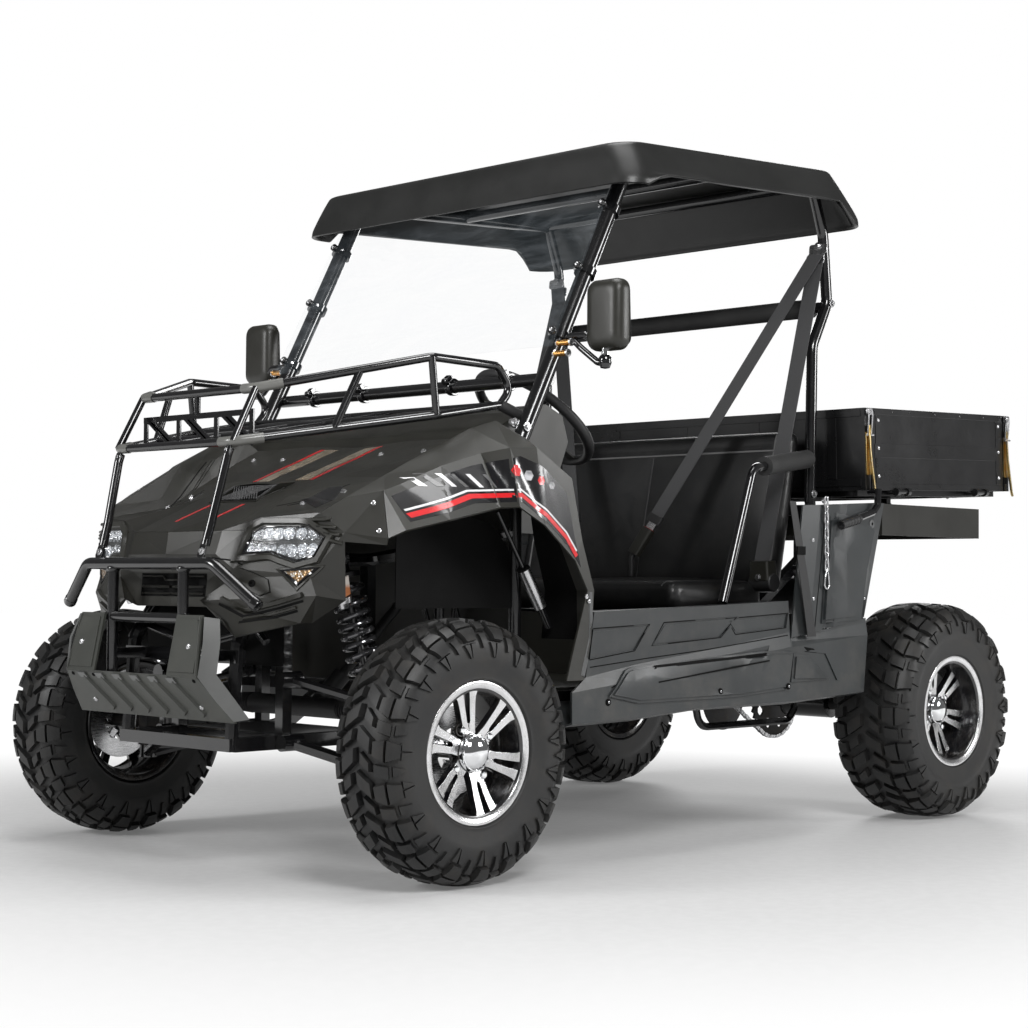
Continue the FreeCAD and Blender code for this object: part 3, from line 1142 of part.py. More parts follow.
def bed_tub():
    """Welded subframe, floor sheet and headboard, in the bed's own frame, X to the front."""
    rail = size("bed_rail")
    members = [block((-bed_len + 34, y - 20, 0), (-8, y + 20, rail)) for y in (-276, 276)]
    members += [block((x - 15, -inner_y, 0), (x + 15, inner_y, rail)) for x in (-30, -340, -644)]
    tail_x = -bed_len + gate_t + gap
    members += [block((tail_x, y - 12, 0), (-8, y + 12, rail)) for y in (12 - inner_y, inner_y - 12)]
    members.append(block((tail_x, -inner_y, rail), (-2, inner_y, rail + size("bed_sheet"))))
    members.append(block((-gate_t, -bed_y, gate_z), (0, bed_y, gate_top)))
    eye_x, eye_z = pivot_local.x, pivot_local.z
    for y in (-276, 276):
        members.append(rod((eye_x, y - 14, eye_z), (eye_x, y + 14, eye_z), 14))
        members.append(block((eye_x - 10, y - 14, eye_z), (eye_x + 10, y + 14, 2)))
    for x in SIDE_HINGES:
        members.append(placed(hinge_leaf(plate_reach), x, bed_y + HINGE_OUT, hinge_z))
        members.append(placed(hinge_leaf(plate_reach), x, -bed_y - HINGE_OUT, hinge_z, 180))
    for y in TAIL_HINGES:
        members.append(placed(hinge_leaf(plate_reach), -bed_len - HINGE_OUT, y, hinge_z, 90))
    tub = fused(members)
    return tub.cut(rod((eye_x, -320, eye_z), (eye_x, 320, eye_z), 8 + fit_gap))


keep_shape("bed_tub", bed_tub(), bed_place)


def folded_gate(length):
    """Drop-side panel: outer skin with a folded edge all round, open at its back."""
    whole = block((0, 0, 0), (length, gate_t, size("gate_height")))
    pocket = block((20, -1, 20), (length - 20, gate_t - 8, size("gate_height") - 20))
    return whole.cut(pocket)


left_gate = placed(folded_gate(side_length), -bed_len + gate_t + gap, bed_y - gate_t, gate_z)
for x in SIDE_HINGES:
    for sleeve in hinge_sleeves():
        left_gate = left_gate.fuse(placed(sleeve, x, bed_y + HINGE_OUT, hinge_z))
keep_shape("left_gate", left_gate, bed_place)
keep_shape("right_gate", mirrored(left_gate), bed_place)
tail = placed(folded_gate(2 * bed_y), -bed_len + gate_t, -bed_y, gate_z, 90)
for y in TAIL_HINGES:
    for sleeve in hinge_sleeves():
        tail = tail.fuse(placed(sleeve, -bed_len - HINGE_OUT, y, hinge_z, 90))
keep_shape("tailgate", tail, bed_place)

# ---------------------------------------------------------------- bed hardware
LEVER_Y = bed_y + 29
LEVER_LINE = ((-552, 832), (-548, 790), (-530, 774), (-391, 738))
lever = tube([(x, LEVER_Y, z) for x, z in LEVER_LINE], 8, 12, 8)
lever = lever.fuse(rod((-552, bed_y + 0.3, 826), (-552, LEVER_Y, 826), 7))
keep_shape("bed_lever", lever)
LATCH_X = -12
latch_pieces = []
for side in (LEFT, RIGHT):
    near, far = sorted((side * (bed_y + 0.3), side * (bed_y + 4)))
    plate = block((LATCH_X - 10, near, gate_top - 70), (LATCH_X + 10, far, gate_top - 4))
    near, far = sorted((side * (bed_y + 4), side * (bed_y + 12)))
    handle = block((LATCH_X - 5, near, gate_top - 170), (LATCH_X + 5, far, gate_top - 30))
    latch_pieces.append(plate.fuse(handle))
keep_shape("gate_latches", Part.makeCompound(latch_pieces), bed_place)

# ---------------------------------------------------------------- seat belts
BELTS = (
    # upper end and lower end at the strap's middle, and its half width along Y
    ((-516.7, 452, 1440), (-250, 142, 760), 24),
    ((-519, 442, 1416), (-292, 446, 650), 23),
)
straps = []
for (tx, ty, tz), (bx, by, bz), half in BELTS:
    outline = ((tx, ty + half, tz), (tx, ty - half, tz), (bx, by - half, bz), (bx, by + half, bz))
    straps.append(prism(outline, (3, 0, 1)))
keep_shape("seat_belts", Part.makeCompound(straps + [mirrored(strap) for strap in straps]))

# ---------------------------------------------------------------- check and write
doc.recompute()


def fail(message):
    raise RuntimeError(message)


for item in doc.Objects:
    if "Invalid" in item.State or "Error" in item.State:
        fail("%s: %s" % (item.Label, item.State))
for node in nodes:
    if node.Shape.isNull() or not node.Shape.isValid() or not node.Shape.Solids:
        fail("bad shape: " + node.Label)

os.makedirs("parts", exist_ok=True)
for node in nodes:
    node.Shape.exportStep("parts/%s.step" % node.Label)
    print("%-22s solids %2d volume %10.0f" % (node.Label, len(node.Shape.Solids), node.Shape.Volume))
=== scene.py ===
"""Side by side utility vehicle: finishes, tyres, wheels, trim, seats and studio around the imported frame."""
import json
import math
import random

import bmesh
import bpy
from bpy.props import FloatProperty, FloatVectorProperty, IntProperty, PointerProperty
from mathutils import Matrix, Vector
from mathutils.bvhtree import BVHTree

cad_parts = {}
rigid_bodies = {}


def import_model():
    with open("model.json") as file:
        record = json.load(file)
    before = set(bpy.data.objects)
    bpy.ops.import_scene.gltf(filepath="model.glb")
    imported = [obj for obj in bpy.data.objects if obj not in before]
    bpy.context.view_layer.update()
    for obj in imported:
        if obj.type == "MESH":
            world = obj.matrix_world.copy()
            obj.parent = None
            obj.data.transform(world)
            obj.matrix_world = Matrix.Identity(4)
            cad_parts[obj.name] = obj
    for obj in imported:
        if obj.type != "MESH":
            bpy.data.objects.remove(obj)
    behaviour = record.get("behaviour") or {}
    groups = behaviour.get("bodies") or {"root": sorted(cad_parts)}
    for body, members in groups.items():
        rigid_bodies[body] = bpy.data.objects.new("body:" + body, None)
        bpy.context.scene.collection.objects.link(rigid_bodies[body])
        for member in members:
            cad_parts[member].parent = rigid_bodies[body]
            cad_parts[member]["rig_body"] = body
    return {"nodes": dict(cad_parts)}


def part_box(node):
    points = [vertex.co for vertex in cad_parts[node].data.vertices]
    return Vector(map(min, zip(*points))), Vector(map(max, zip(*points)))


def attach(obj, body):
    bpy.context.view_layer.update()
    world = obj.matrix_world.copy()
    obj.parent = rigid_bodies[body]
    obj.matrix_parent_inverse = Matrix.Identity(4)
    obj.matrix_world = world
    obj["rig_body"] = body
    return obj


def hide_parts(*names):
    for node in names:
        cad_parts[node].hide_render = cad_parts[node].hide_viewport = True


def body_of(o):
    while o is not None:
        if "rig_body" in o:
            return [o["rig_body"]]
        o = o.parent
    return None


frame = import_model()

bl_info = {
    "name": "Side by Side Utility Vehicle",
    "version": (1, 0, 0),
    "blender": (4, 5, 0),
    "location": "3D View > Sidebar > Utility Vehicle",
    "description": "Builds the visible vehicle around its packed frame",
    "category": "Object",
}

MM = 0.001
LEFT, RIGHT = 1, -1
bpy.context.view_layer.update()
NODES = frame["nodes"]
CORNERS = {name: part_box(name) for name in NODES}


def low(node, axis):
    """Lowest coordinate of a node along an axis, in millimetres."""
    return CORNERS[node][0][axis] / MM


def high(node, axis):
    """Highest coordinate of a node along an axis, in millimetres."""
    return CORNERS[node][1][axis] / MM


def middle(node):
    """Centre of a node's box, in millimetres."""
    return (CORNERS[node][0] + CORNERS[node][1]) / 2 / MM


# ---- finishes
class Wire:
    """A shader socket that takes part in sums and products."""

    def __init__(self, paint, socket):
        self.paint, self.socket = paint, socket

    def math(self, operation, *others):
        return self.paint.node("ShaderNodeMath", {"operation": operation}, [self, *others])

    def __add__(self, other):
        return self.math("ADD", other)

    def __sub__(self, other):
        return self.math("SUBTRACT", other)

    def __mul__(self, other):
        return self.math("MULTIPLY", other)

    def __rsub__(self, other):
        return self.paint.node("ShaderNodeMath", {"operation": "SUBTRACT"}, [other, self])

    __radd__ = __add__
    __rmul__ = __mul__

    def __gt__(self, other):
        return self.math("GREATER_THAN", other)

    def step(self, edge, softness):
        """Rises from nought to one at an edge."""
        return self.paint.node("ShaderNodeMapRange", {"clamp": True},
                               {"Value": self, "From Min": edge - softness, "From Max": edge + softness})

    def smooth(self, start, end):
        return self.paint.node("ShaderNodeMapRange", {"interpolation_type": "SMOOTHSTEP"},
                               {"Value": self, "From Min": start, "From Max": end})


class Paint:
    """One material: its node tree, its surface shader and the calls that add nodes."""

    def __init__(self, name, **constants):
        self.material = bpy.data.materials.new(name)
        self.material.use_nodes = True
        self.tree = self.material.node_tree
        self.surface = self.tree.nodes["Principled BSDF"]
        for socket, value in constants.items():
            self.surface.inputs[socket.replace("_", " ")].default_value = value

    def node(self, kind, settings=None, inputs=None, output=0):
        """Add a node: settings first, then its sockets' values or links; gives one output."""
        made = self.tree.nodes.new(kind)
        for key, value in (settings or {}).items():
            setattr(made, key, value)
        pairs = inputs.items() if isinstance(inputs, dict) else enumerate(inputs or [])
        for key, value in pairs:
            socket = made.inputs[key]
            if isinstance(value, Wire):
                self.tree.links.new(value.socket, socket)
            else:
                socket.default_value = value
        return Wire(self, made.outputs[output])

    def place(self):
        return self.node("ShaderNodeTexCoord", output="Object")

    def axes(self):
        """The three coordinates in metres."""
        return [self.node("ShaderNodeSeparateXYZ", None, [self.place()], output=i) for i in range(3)]

    def noise(self, scale, detail=3.0, roughness=0.55, at=None, distortion=0.0):
        return self.node("ShaderNodeTexNoise", None, {
            "Vector": at or self.place(), "Scale": scale, "Detail": detail, "Roughness": roughness,
            "Distortion": distortion})

    def cells(self, scale, feature="F1"):
        return self.node("ShaderNodeTexVoronoi", {"feature": feature}, {"Vector": self.place(), "Scale": scale})

    def wave(self, scale, direction, distortion=0.0):
        return self.node("ShaderNodeTexWave", {"wave_type": "BANDS", "bands_direction": direction}, {
            "Vector": self.place(), "Scale": scale, "Distortion": distortion, "Detail": 2.0})

    def mix(self, share, first, second):
        """A colour between two, by a share."""
        first, second = [c if isinstance(c, Wire) else (*c, 1.0)[:4] for c in (first, second)]
        return self.node("ShaderNodeMix", {"data_type": "RGBA"}, {0: share, 6: first, 7: second}, output=2)

    def stretched(self, across):
        """Coordinates scaled by axis."""
        return self.node("ShaderNodeVectorMath", {"operation": "MULTIPLY"}, [self.place(), across])

    def link(self, socket, wire):
        self.tree.links.new(wire.socket, self.surface.inputs[socket])
        return self

    def tint(self, share, first, second):
        """Base colour between two, by a share."""
        return self.link("Base Color", self.mix(share, first, second))

    def rough(self, wire):
        return self.link("Roughness", wire)

    def bump(self, height, strength, distance):
        normal = self.node("ShaderNodeBump", None, {
            "Height": height, "Strength": strength, "Distance": distance})
        return self.link("Normal", normal)


def lighter(colour, factor):
    return tuple(min(1.0, c * factor) for c in colour[:3])


def worn(name, colour, roughness, grain, depth, metal=0.0, coat=0.0, dust=0.12, mottle=1.5, spread=0.12):
    """A moulded, painted or cast finish: fine grain, uneven gloss, slight colour drift and settled dust."""
    paint = Paint(name, Metallic=metal, Coat_Weight=coat, Coat_Roughness=0.08)
    drift = paint.noise(6.0, 4.0)
    fine = paint.noise(grain, 3.0, 0.6)
    height = paint.axes()[2]
    settled = (1 - height.smooth(0.05, 0.75)) * paint.noise(14.0, 6.0, 0.7).smooth(0.42, 0.75) * dust
    tone = paint.mix(drift.smooth(0.3, 0.7), colour, lighter(colour, mottle))
    paint.tint(settled, tone, (0.23, 0.2, 0.165))
    smears = paint.noise(9.0, 5.0, 0.65)
    paint.rough((smears - 0.5) * spread * 2 + settled + roughness)
    return paint.bump(fine, 0.5, depth)


def moulded_plastic():
    return worn("moulded_plastic", (0.0135, 0.0132, 0.0105), 0.38, 900.0, 0.0002, mottle=1.4, dust=0.05)


def fender_plastic():
    return worn("fender_plastic", (0.021, 0.0207, 0.0175), 0.35, 900.0, 0.00015, mottle=1.35, dust=0.06)


def side_plastic():
    """Blue-grey moulded plastic of the rockers and quarter panels."""
    return worn("side_plastic", (0.024, 0.0268, 0.028), 0.36, 900.0, 0.0002, mottle=1.3, dust=0.2)


def sticker(name, colour, streak, share=(0.52, 0.6)):
    """Glossy vinyl film with worn streaks of a second colour along the vehicle."""
    paint = Paint(name, Coat_Weight=0.5, Coat_Roughness=0.06)
    scuff = paint.noise(26.0, 6.0, 0.72, at=paint.stretched((0.35, 1.0, 1.0)), distortion=0.6)
    paint.tint(scuff.smooth(*share), colour, streak)
    paint.rough(paint.noise(14.0, 5.0, 0.65) * 0.16 + 0.14)
    return paint.bump(paint.noise(220.0), 0.15, 0.0001)


def red_sticker():
    red = tuple(bpy.context.scene.utv_stickers.red)
    return sticker("red_sticker", red, lighter(red, 0.65), (0.55, 0.75))


def white_sticker():
    return sticker("white_sticker", (0.74, 0.74, 0.75), (0.56, 0.56, 0.58), (0.5, 0.72))


def black_sticker():
    return sticker("black_sticker", (0.004, 0.004, 0.005), (0.009, 0.009, 0.011), (0.5, 0.7))


def grey_sticker():
    return sticker("grey_sticker", (0.1, 0.1, 0.1), (0.045, 0.045, 0.046), (0.48, 0.6))


def sand_sticker():
    sand = tuple(bpy.context.scene.utv_stickers.sand)
    return sticker("sand_sticker", sand, lighter(sand, 0.65), (0.46, 0.56))


def silver_sticker():
    """White film that fades to black in soft clouds."""
    return sticker("silver_sticker", (0.58, 0.58, 0.6), (0.03, 0.03, 0.034), (0.38, 0.68))


def olive_plate():
    """Matt olive-grey powder coat of the bumper's cheek plates."""
    return worn("olive_plate", (0.036, 0.038, 0.033), 0.42, 520.0, 0.0002, mottle=1.25, dust=0.08)


def canopy_plastic():
    return worn("canopy_plastic", (0.011, 0.0112, 0.0108), 0.38, 700.0, 0.0003, mottle=1.4, dust=0.0)


def gloss_tube():
    """Black powder coat with a slight orange peel."""
    return worn("gloss_tube", (0.004, 0.004, 0.0045), 0.2, 420.0, 0.00008, coat=0.6, dust=0.03, mottle=1.6)


def satin_steel_sheet():
    return worn("satin_steel_sheet", (0.006, 0.006, 0.0064), 0.3, 520.0, 0.00012, coat=0.35, dust=0.05)


def cast_metal():
    return worn("cast_metal", (0.014, 0.014, 0.015), 0.5, 320.0, 0.0006, metal=0.3, dust=0.35)


def bright_metal():
    """Machined or plated steel with fine drawn lines."""
    paint = Paint("bright_metal", Metallic=1.0)
    lines = paint.noise(60.0, 2.0, 0.5, at=paint.stretched((1.0, 18.0, 18.0)))
    paint.tint(paint.noise(22.0, 4.0).smooth(0.3, 0.7), (0.56, 0.56, 0.57), (0.7, 0.7, 0.71))
    paint.rough(lines * 0.22 + 0.16)
    return paint.bump(lines, 0.25, 0.0001)


def chrome():
    paint = Paint("chrome", Metallic=1.0)
    spots = paint.noise(45.0, 5.0, 0.7)
    paint.tint(spots.smooth(0.45, 0.8), (0.86, 0.87, 0.88), (0.7, 0.71, 0.73))
    paint.rough(spots * 0.09 + 0.02)
    return paint.bump(paint.noise(30.0), 0.1, 0.0003)


def yellow_zinc():
    """Passivated zinc plate: straw yellow with a faint rainbow drift."""
    paint = Paint("yellow_zinc", Metallic=1.0)
    drift = paint.noise(26.0, 5.0, 0.65, distortion=1.2)
    warm = paint.mix(drift.smooth(0.3, 0.62), (0.66, 0.44, 0.13), (0.72, 0.58, 0.3))
    paint.tint(paint.noise(48.0, 3.0).smooth(0.55, 0.8), warm, (0.5, 0.46, 0.5))
    paint.rough(drift * 0.25 + 0.2)
    return paint.bump(paint.noise(600.0), 0.3, 0.0001)


def wheel_paint():
    return worn("wheel_paint", (0.006, 0.006, 0.007), 0.16, 500.0, 0.00006, coat=0.8, dust=0.25)


def machined_alloy():
    """Turned aluminium: rings round the axle, a clear coat and a little brake dust."""
    paint = Paint("machined_alloy", Metallic=1.0, Coat_Weight=0.4, Coat_Roughness=0.05)
    x, _, z = paint.axes()
    front, rear = WHEELS[0].centre * MM, WHEELS[2].centre * MM
    ahead = x > 0.02
    centre_x = ahead * (front.x - rear.x) + rear.x
    centre_z = ahead * (front.z - rear.z) + rear.z
    across, up = x - centre_x, z - centre_z
    radius = (across * across + up * up).math("SQRT")
    rings = (radius * 5200.0).math("SINE") * 0.5 + 0.5
    stain = paint.noise(30.0, 5.0, 0.7)
    paint.tint(stain.smooth(0.35, 0.8), (0.83, 0.83, 0.84), (0.66, 0.655, 0.65))
    paint.rough(rings * 0.07 + stain * 0.16 + 0.12)
    return paint.bump(rings, 0.35, 0.00015)


def tyre_rubber():
    """Tread and sidewall rubber: near black, chalky where it meets the ground, satin on the side."""
    paint = Paint("tyre_rubber")
    grain = paint.noise(420.0, 4.0, 0.65)
    patch = paint.noise(17.0, 6.0, 0.7)
    dusty = patch.smooth(0.45, 0.8) * 0.22
    tone = paint.mix(paint.noise(5.0, 4.0).smooth(0.35, 0.7), (0.0075, 0.0077, 0.008), (0.015, 0.0147, 0.014))
    paint.tint(dusty, tone, (0.075, 0.062, 0.048))
    paint.rough(patch * 0.28 + 0.36)
    return paint.bump(grain, 0.45, 0.0005)


def foam_rubber():
    return worn("foam_rubber", (0.012, 0.012, 0.012), 0.72, 650.0, 0.0009, dust=0.03, mottle=1.9)


def grip_rubber():
    return worn("grip_rubber", (0.012, 0.012, 0.0125), 0.5, 780.0, 0.0004, dust=0.03)


def black_vinyl():
    """Seat cover: leather-like grain of small cells, a soft sheen and faint creases."""
    paint = Paint("black_vinyl", Coat_Weight=0.2, Coat_Roughness=0.25, Specular_IOR_Level=0.3)
    pebbles = paint.cells(420.0, "DISTANCE_TO_EDGE").smooth(0.0, 0.12)
    crease = paint.noise(11.0, 5.0, 0.6, distortion=1.5)
    paint.tint(crease.smooth(0.35, 0.7), (0.005, 0.005, 0.0054), (0.01, 0.0099, 0.0098))
    paint.rough(crease * 0.2 + (1 - pebbles) * 0.12 + 0.24)
    return paint.bump(pebbles * 0.6 + crease * 1.6, 0.4, 0.0006)


def piping_with_painted_highlight():
    # Pale grey: a painted highlight along the backrest's upper and side edges, where the piping catches light.
    return worn("piping_with_painted_highlight", (0.1, 0.1, 0.1), 0.4, 700.0, 0.0002, dust=0.0)


def belt_webbing():
    """Woven polyester: herringbone ribs across the strap."""
    paint = Paint("belt_webbing", Sheen_Weight=0.25, Sheen_Roughness=0.4)
    warp = paint.wave(260.0, "DIAGONAL", 0.4)
    weft = paint.wave(330.0, "Z", 0.4)
    weave = warp * 0.6 + weft * 0.4
    fuzz = paint.noise(900.0, 2.0)
    paint.tint(weave, (0.022, 0.022, 0.023), (0.08, 0.08, 0.083))
    paint.rough(fuzz * 0.2 + 0.6)
    return paint.bump(weave, 0.8, 0.0006)


def clear_sheet():
    """Polycarbonate windscreen: mostly see-through, with a faint bluish haze that is partly wiping marks and
    partly a painted reflection.
    """
    paint = Paint("clear_sheet", Transmission_Weight=0.0, IOR=1.45, Specular_IOR_Level=0.6)
    marks = paint.noise(7.0, 6.0, 0.7, distortion=2.0, at=paint.stretched((1.0, 0.6, 2.0)))
    # Partly painted reflection: the bluish tint, shown at low alpha, stands for the screen's hazy reflections
    # as well as its wiping marks.
    paint.tint(marks.smooth(0.4, 0.7), (0.3, 0.36, 0.4), (0.5, 0.55, 0.6))
    paint.link("Alpha", marks.smooth(0.35, 0.8) * 0.05 + 0.02)
    paint.rough(marks * 0.1 + 0.02)
    return paint


def lamp_lens():
    paint = Paint("lamp_lens", IOR=1.45, Coat_Weight=0.5)
    flutes = paint.noise(40.0, 3.0)
    paint.tint(flutes.smooth(0.4, 0.7), (0.75, 0.78, 0.8), (0.93, 0.95, 0.96))
    paint.link("Alpha", flutes * 0.08 + 0.07)
    paint.rough(flutes * 0.06 + 0.02)
    return paint


def lamp_reflector():
    """Bright reflector of small hexagon facets."""
    paint = Paint("lamp_reflector", Metallic=0.85)
    facets = paint.cells(120.0)
    edge = paint.cells(120.0, "DISTANCE_TO_EDGE").smooth(0.0, 0.1)
    paint.tint(edge, (0.42, 0.44, 0.47), (0.93, 0.95, 0.98))
    paint.rough(facets * 0.25 + 0.1)
    return paint.bump(facets, 0.8, 0.004)


def red_lens():
    paint = Paint("red_lens", Coat_Weight=0.8, Coat_Roughness=0.04)
    prisms = paint.wave(90.0, "Y") * paint.wave(90.0, "Z")
    paint.tint(prisms, (0.19, 0.004, 0.006), (0.42, 0.012, 0.012))
    paint.rough(prisms * 0.15 + 0.12)
    return paint.bump(prisms, 0.6, 0.0008)


def mirror_glass():
    paint = Paint("mirror_glass", Metallic=1.0)
    smear = paint.noise(16.0, 5.0, 0.6)
    paint.tint(smear.smooth(0.4, 0.8), (0.8, 0.82, 0.84), (0.72, 0.74, 0.76))
    paint.rough(smear * 0.06)
    return paint


def dark_mesh():
    """Black grille mesh of small diamonds."""
    paint = Paint("dark_mesh")
    holes = paint.cells(230.0)
    paint.tint(holes.smooth(0.2, 0.45), (0.004, 0.004, 0.004), (0.09, 0.09, 0.092))
    paint.rough(holes * 0.3 + 0.4)
    return paint.bump(holes, 1.0, 0.0015)


def studio_floor():
    """Pale floor that turns into the white backdrop far from the vehicle; nearer the vehicle it is grey and
    glows only faintly, a painted shadow under the vehicle.
    """
    paint = Paint("studio_floor", Emission_Strength=1.0, Specular_IOR_Level=0.2)
    x, y, _ = paint.axes()
    far = (x * x + y * y).math("SQRT").smooth(1.15, 2.7)
    speckle = paint.noise(34.0, 5.0, 0.6)
    # Painted shadow: within about 1.15 m of the centre the floor is mid grey with a faint glow, rising to a
    # full white glow by 2.7 m.
    near = paint.mix(speckle.smooth(0.3, 0.7), (0.5, 0.5, 0.5), (0.54, 0.54, 0.54))
    paint.tint(far, near, (0.0, 0.0, 0.0))
    paint.link("Emission Color", paint.mix(far, (0.12, 0.12, 0.12), (1.0, 1.0, 1.0)))
    paint.rough(speckle * 0.2 + 0.5)
    return paint


def sleeve_paint():
    """Light grey sleeves worn to a satin."""
    return worn("sleeve_paint", (0.105, 0.105, 0.098), 0.32, 420.0, 0.0001, coat=0.3, dust=0.02, mottle=1.4)


def amber_lens():
    """Clear signal lens with amber facets behind it."""
    paint = Paint("amber_lens", Coat_Weight=0.8, Coat_Roughness=0.03, Metallic=0.4)
    facets = paint.cells(160.0)
    edges = paint.cells(160.0, "DISTANCE_TO_EDGE").smooth(0.0, 0.1)
    warm = paint.mix(facets.smooth(0.3, 0.55), (0.6, 0.58, 0.54), (0.34, 0.2, 0.08))
    paint.tint(edges, (0.12, 0.08, 0.04), warm)
    paint.rough(facets * 0.2 + 0.08)
    return paint.bump(facets, 0.8, 0.003)


def gloss_trim():
    return worn("gloss_trim", (0.004, 0.004, 0.0045), 0.12, 500.0, 0.00004, coat=0.7, dust=0.0, mottle=1.5)


def shadow_plastic():
    """Dull near-black: painted shade, laid as sheets and strips in recesses, grooves, slits and the wheel
    wells; also used for a few small black parts.
    """
    paint = worn("shadow_plastic", (0.003, 0.003, 0.003), 0.7, 600.0, 0.0002, dust=0.0)
    # Low specular keeps the painted shade from catching light.
    paint.surface.inputs["Specular IOR Level"].default_value = 0.12
    return paint


def spring_paint():
    """Black enamel over spring wire, its colour lifted to a dark grey metal as a painted sheen for the coils'
    highlights, and bright where it catches light.
    """
    return worn("spring_paint", (0.05, 0.05, 0.053), 0.16, 420.0, 0.00006, metal=0.7, coat=1.0, dust=0.0)


def skid_edge():
    """Pale worn edge of the guard plate."""
    return worn("skid_edge", (0.105, 0.107, 0.105), 0.38, 420.0, 0.0001, dust=0.04, mottle=1.3)


def gauge_ring():
    """Pale green ring round the gauge, with a painted glow though it is no lamp."""
    paint = Paint("gauge_ring", Emission_Strength=0.25)
    drift = paint.noise(60.0, 3.0)
    colour = paint.mix(drift.smooth(0.3, 0.7), (0.42, 0.5, 0.06), (0.56, 0.6, 0.14))
    # Painted glow: the ring's colour also feeds its emission.
    paint.link("Base Color", colour).link("Emission Color", colour)
    paint.rough(drift * 0.2 + 0.3)
    return paint


def gauge_glass():
    """Dark face of a gauge behind glass."""
    paint = Paint("gauge_glass", Coat_Weight=1.0, Coat_Roughness=0.02)
    rings = paint.noise(90.0, 2.0)
    paint.tint(rings.smooth(0.4, 0.6), (0.004, 0.005, 0.004), (0.02, 0.022, 0.018))
    paint.rough(rings * 0.2 + 0.25)
    return paint


def brass_spacer():
    """Turned brass with an orange sheen."""
    paint = Paint("brass_spacer", Metallic=1.0)
    turned = paint.wave(420.0, "Y", 0.3)
    paint.tint(turned, (0.62, 0.3, 0.08), (0.75, 0.42, 0.14))
    paint.rough(turned * 0.15 + 0.2)
    return paint.bump(turned, 0.3, 0.0002)


def copper_rivet():
    """Reddish plated rivet heads."""
    paint = Paint("copper_rivet", Metallic=1.0)
    tarnish = paint.noise(260.0, 4.0)
    paint.tint(tarnish.smooth(0.35, 0.7), (0.5, 0.14, 0.07), (0.24, 0.07, 0.04))
    paint.rough(tarnish * 0.3 + 0.25)
    return paint


def grey_strip():
    """Mid grey painted strip."""
    return worn("grey_strip", (0.075, 0.077, 0.078), 0.4, 520.0, 0.0001, dust=0.05, mottle=1.3)


def fluid_tank():
    """Translucent brake fluid tank, amber below and milky above."""
    paint = Paint("fluid_tank", Coat_Weight=0.3)
    level = paint.axes()[2].step(0.585, 0.004)
    cloud = paint.noise(40.0, 4.0)
    paint.tint(level, (0.36, 0.13, 0.05), (0.5, 0.46, 0.42))
    paint.rough(cloud * 0.2 + 0.3)
    return paint


MADE = {}


def finish(maker):
    """The material of a finish, made once."""
    if maker not in MADE:
        MADE[maker] = maker().material
    return MADE[maker]


# ---- shapes
def axes(origin, along, towards=(0, 0, 1)):
    """A frame at a point: local Z runs along a direction, local X leans towards another."""
    z = Vector(along).normalized()
    x = Vector(towards) - z * Vector(towards).dot(z)
    if x.length < 1e-4:
        x = Vector((1, 0, 0)) - z * z.x
    x.normalize()
    y = z.cross(x)
    turn = Matrix((x, y, z)).transposed().to_4x4()
    return Matrix.Translation(Vector(origin)) @ turn


def rounded(points, radius, steps=5):
    """A line of straight runs with its corners turned into arcs."""
    corners = [Vector(p) for p in points]
    out = [corners[0]]
    for before, corner, after in zip(corners, corners[1:], corners[2:]):
        a, b = (before - corner).normalized(), (after - corner).normalized()
        half = a.angle(b) / 2
        if half > 1.55:
            out.append(corner)
            continue
        reach = min(radius / math.tan(half), (before - corner).length * 0.49, (after - corner).length * 0.49)
        turn = reach * math.tan(half)
        centre = corner + (a + b).normalized() * math.hypot(reach, turn)
        start, end = corner + a * reach - centre, corner + b * reach - centre
        for step in range(steps + 1):
            out.append(centre + start.slerp(end, step / steps).normalized() * start.length)
    out.append(corners[-1])
    return out


def shrunk(outline, distance):
    """An outline drawn in by a distance."""
    points = [Vector(p) for p in outline]
    area = sum(a.x * b.y - b.x * a.y for a, b in zip(points, points[1:] + points[:1]))
    turn = 1 if area > 0 else -1
    out = []
    for before, point, after in zip([points[-1]] + points[:-1], points, points[1:] + [points[0]]):
        a, b = (point - before).normalized(), (after - point).normalized()
        inward = Vector((-a.y - b.y, a.x + b.x)) * turn
        out.append(point + inward * (distance / max(inward.length_squared / 2, 0.5)))
    return [tuple(p) for p in out]


def closed_round(corners, radius, steps=5):
    """A closed flat outline with rounded corners."""
    start = (Vector(corners[-1]) + Vector(corners[0])) / 2
    line = rounded([start.to_3d(), *(Vector(c).to_3d() for c in corners), start.to_3d()], radius, steps)
    return [(p.x, p.y) for p in line[:-1]]


def panel_outline(x1, y1, x2, y2, radius, steps=5):
    """A rectangle with rounded corners."""
    return closed_round(((x1, y1), (x2, y1), (x2, y2), (x1, y2)), radius, steps)


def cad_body(node):
    """The body that carries a node."""
    return (body_of(NODES[node]) or ["root"])[0]


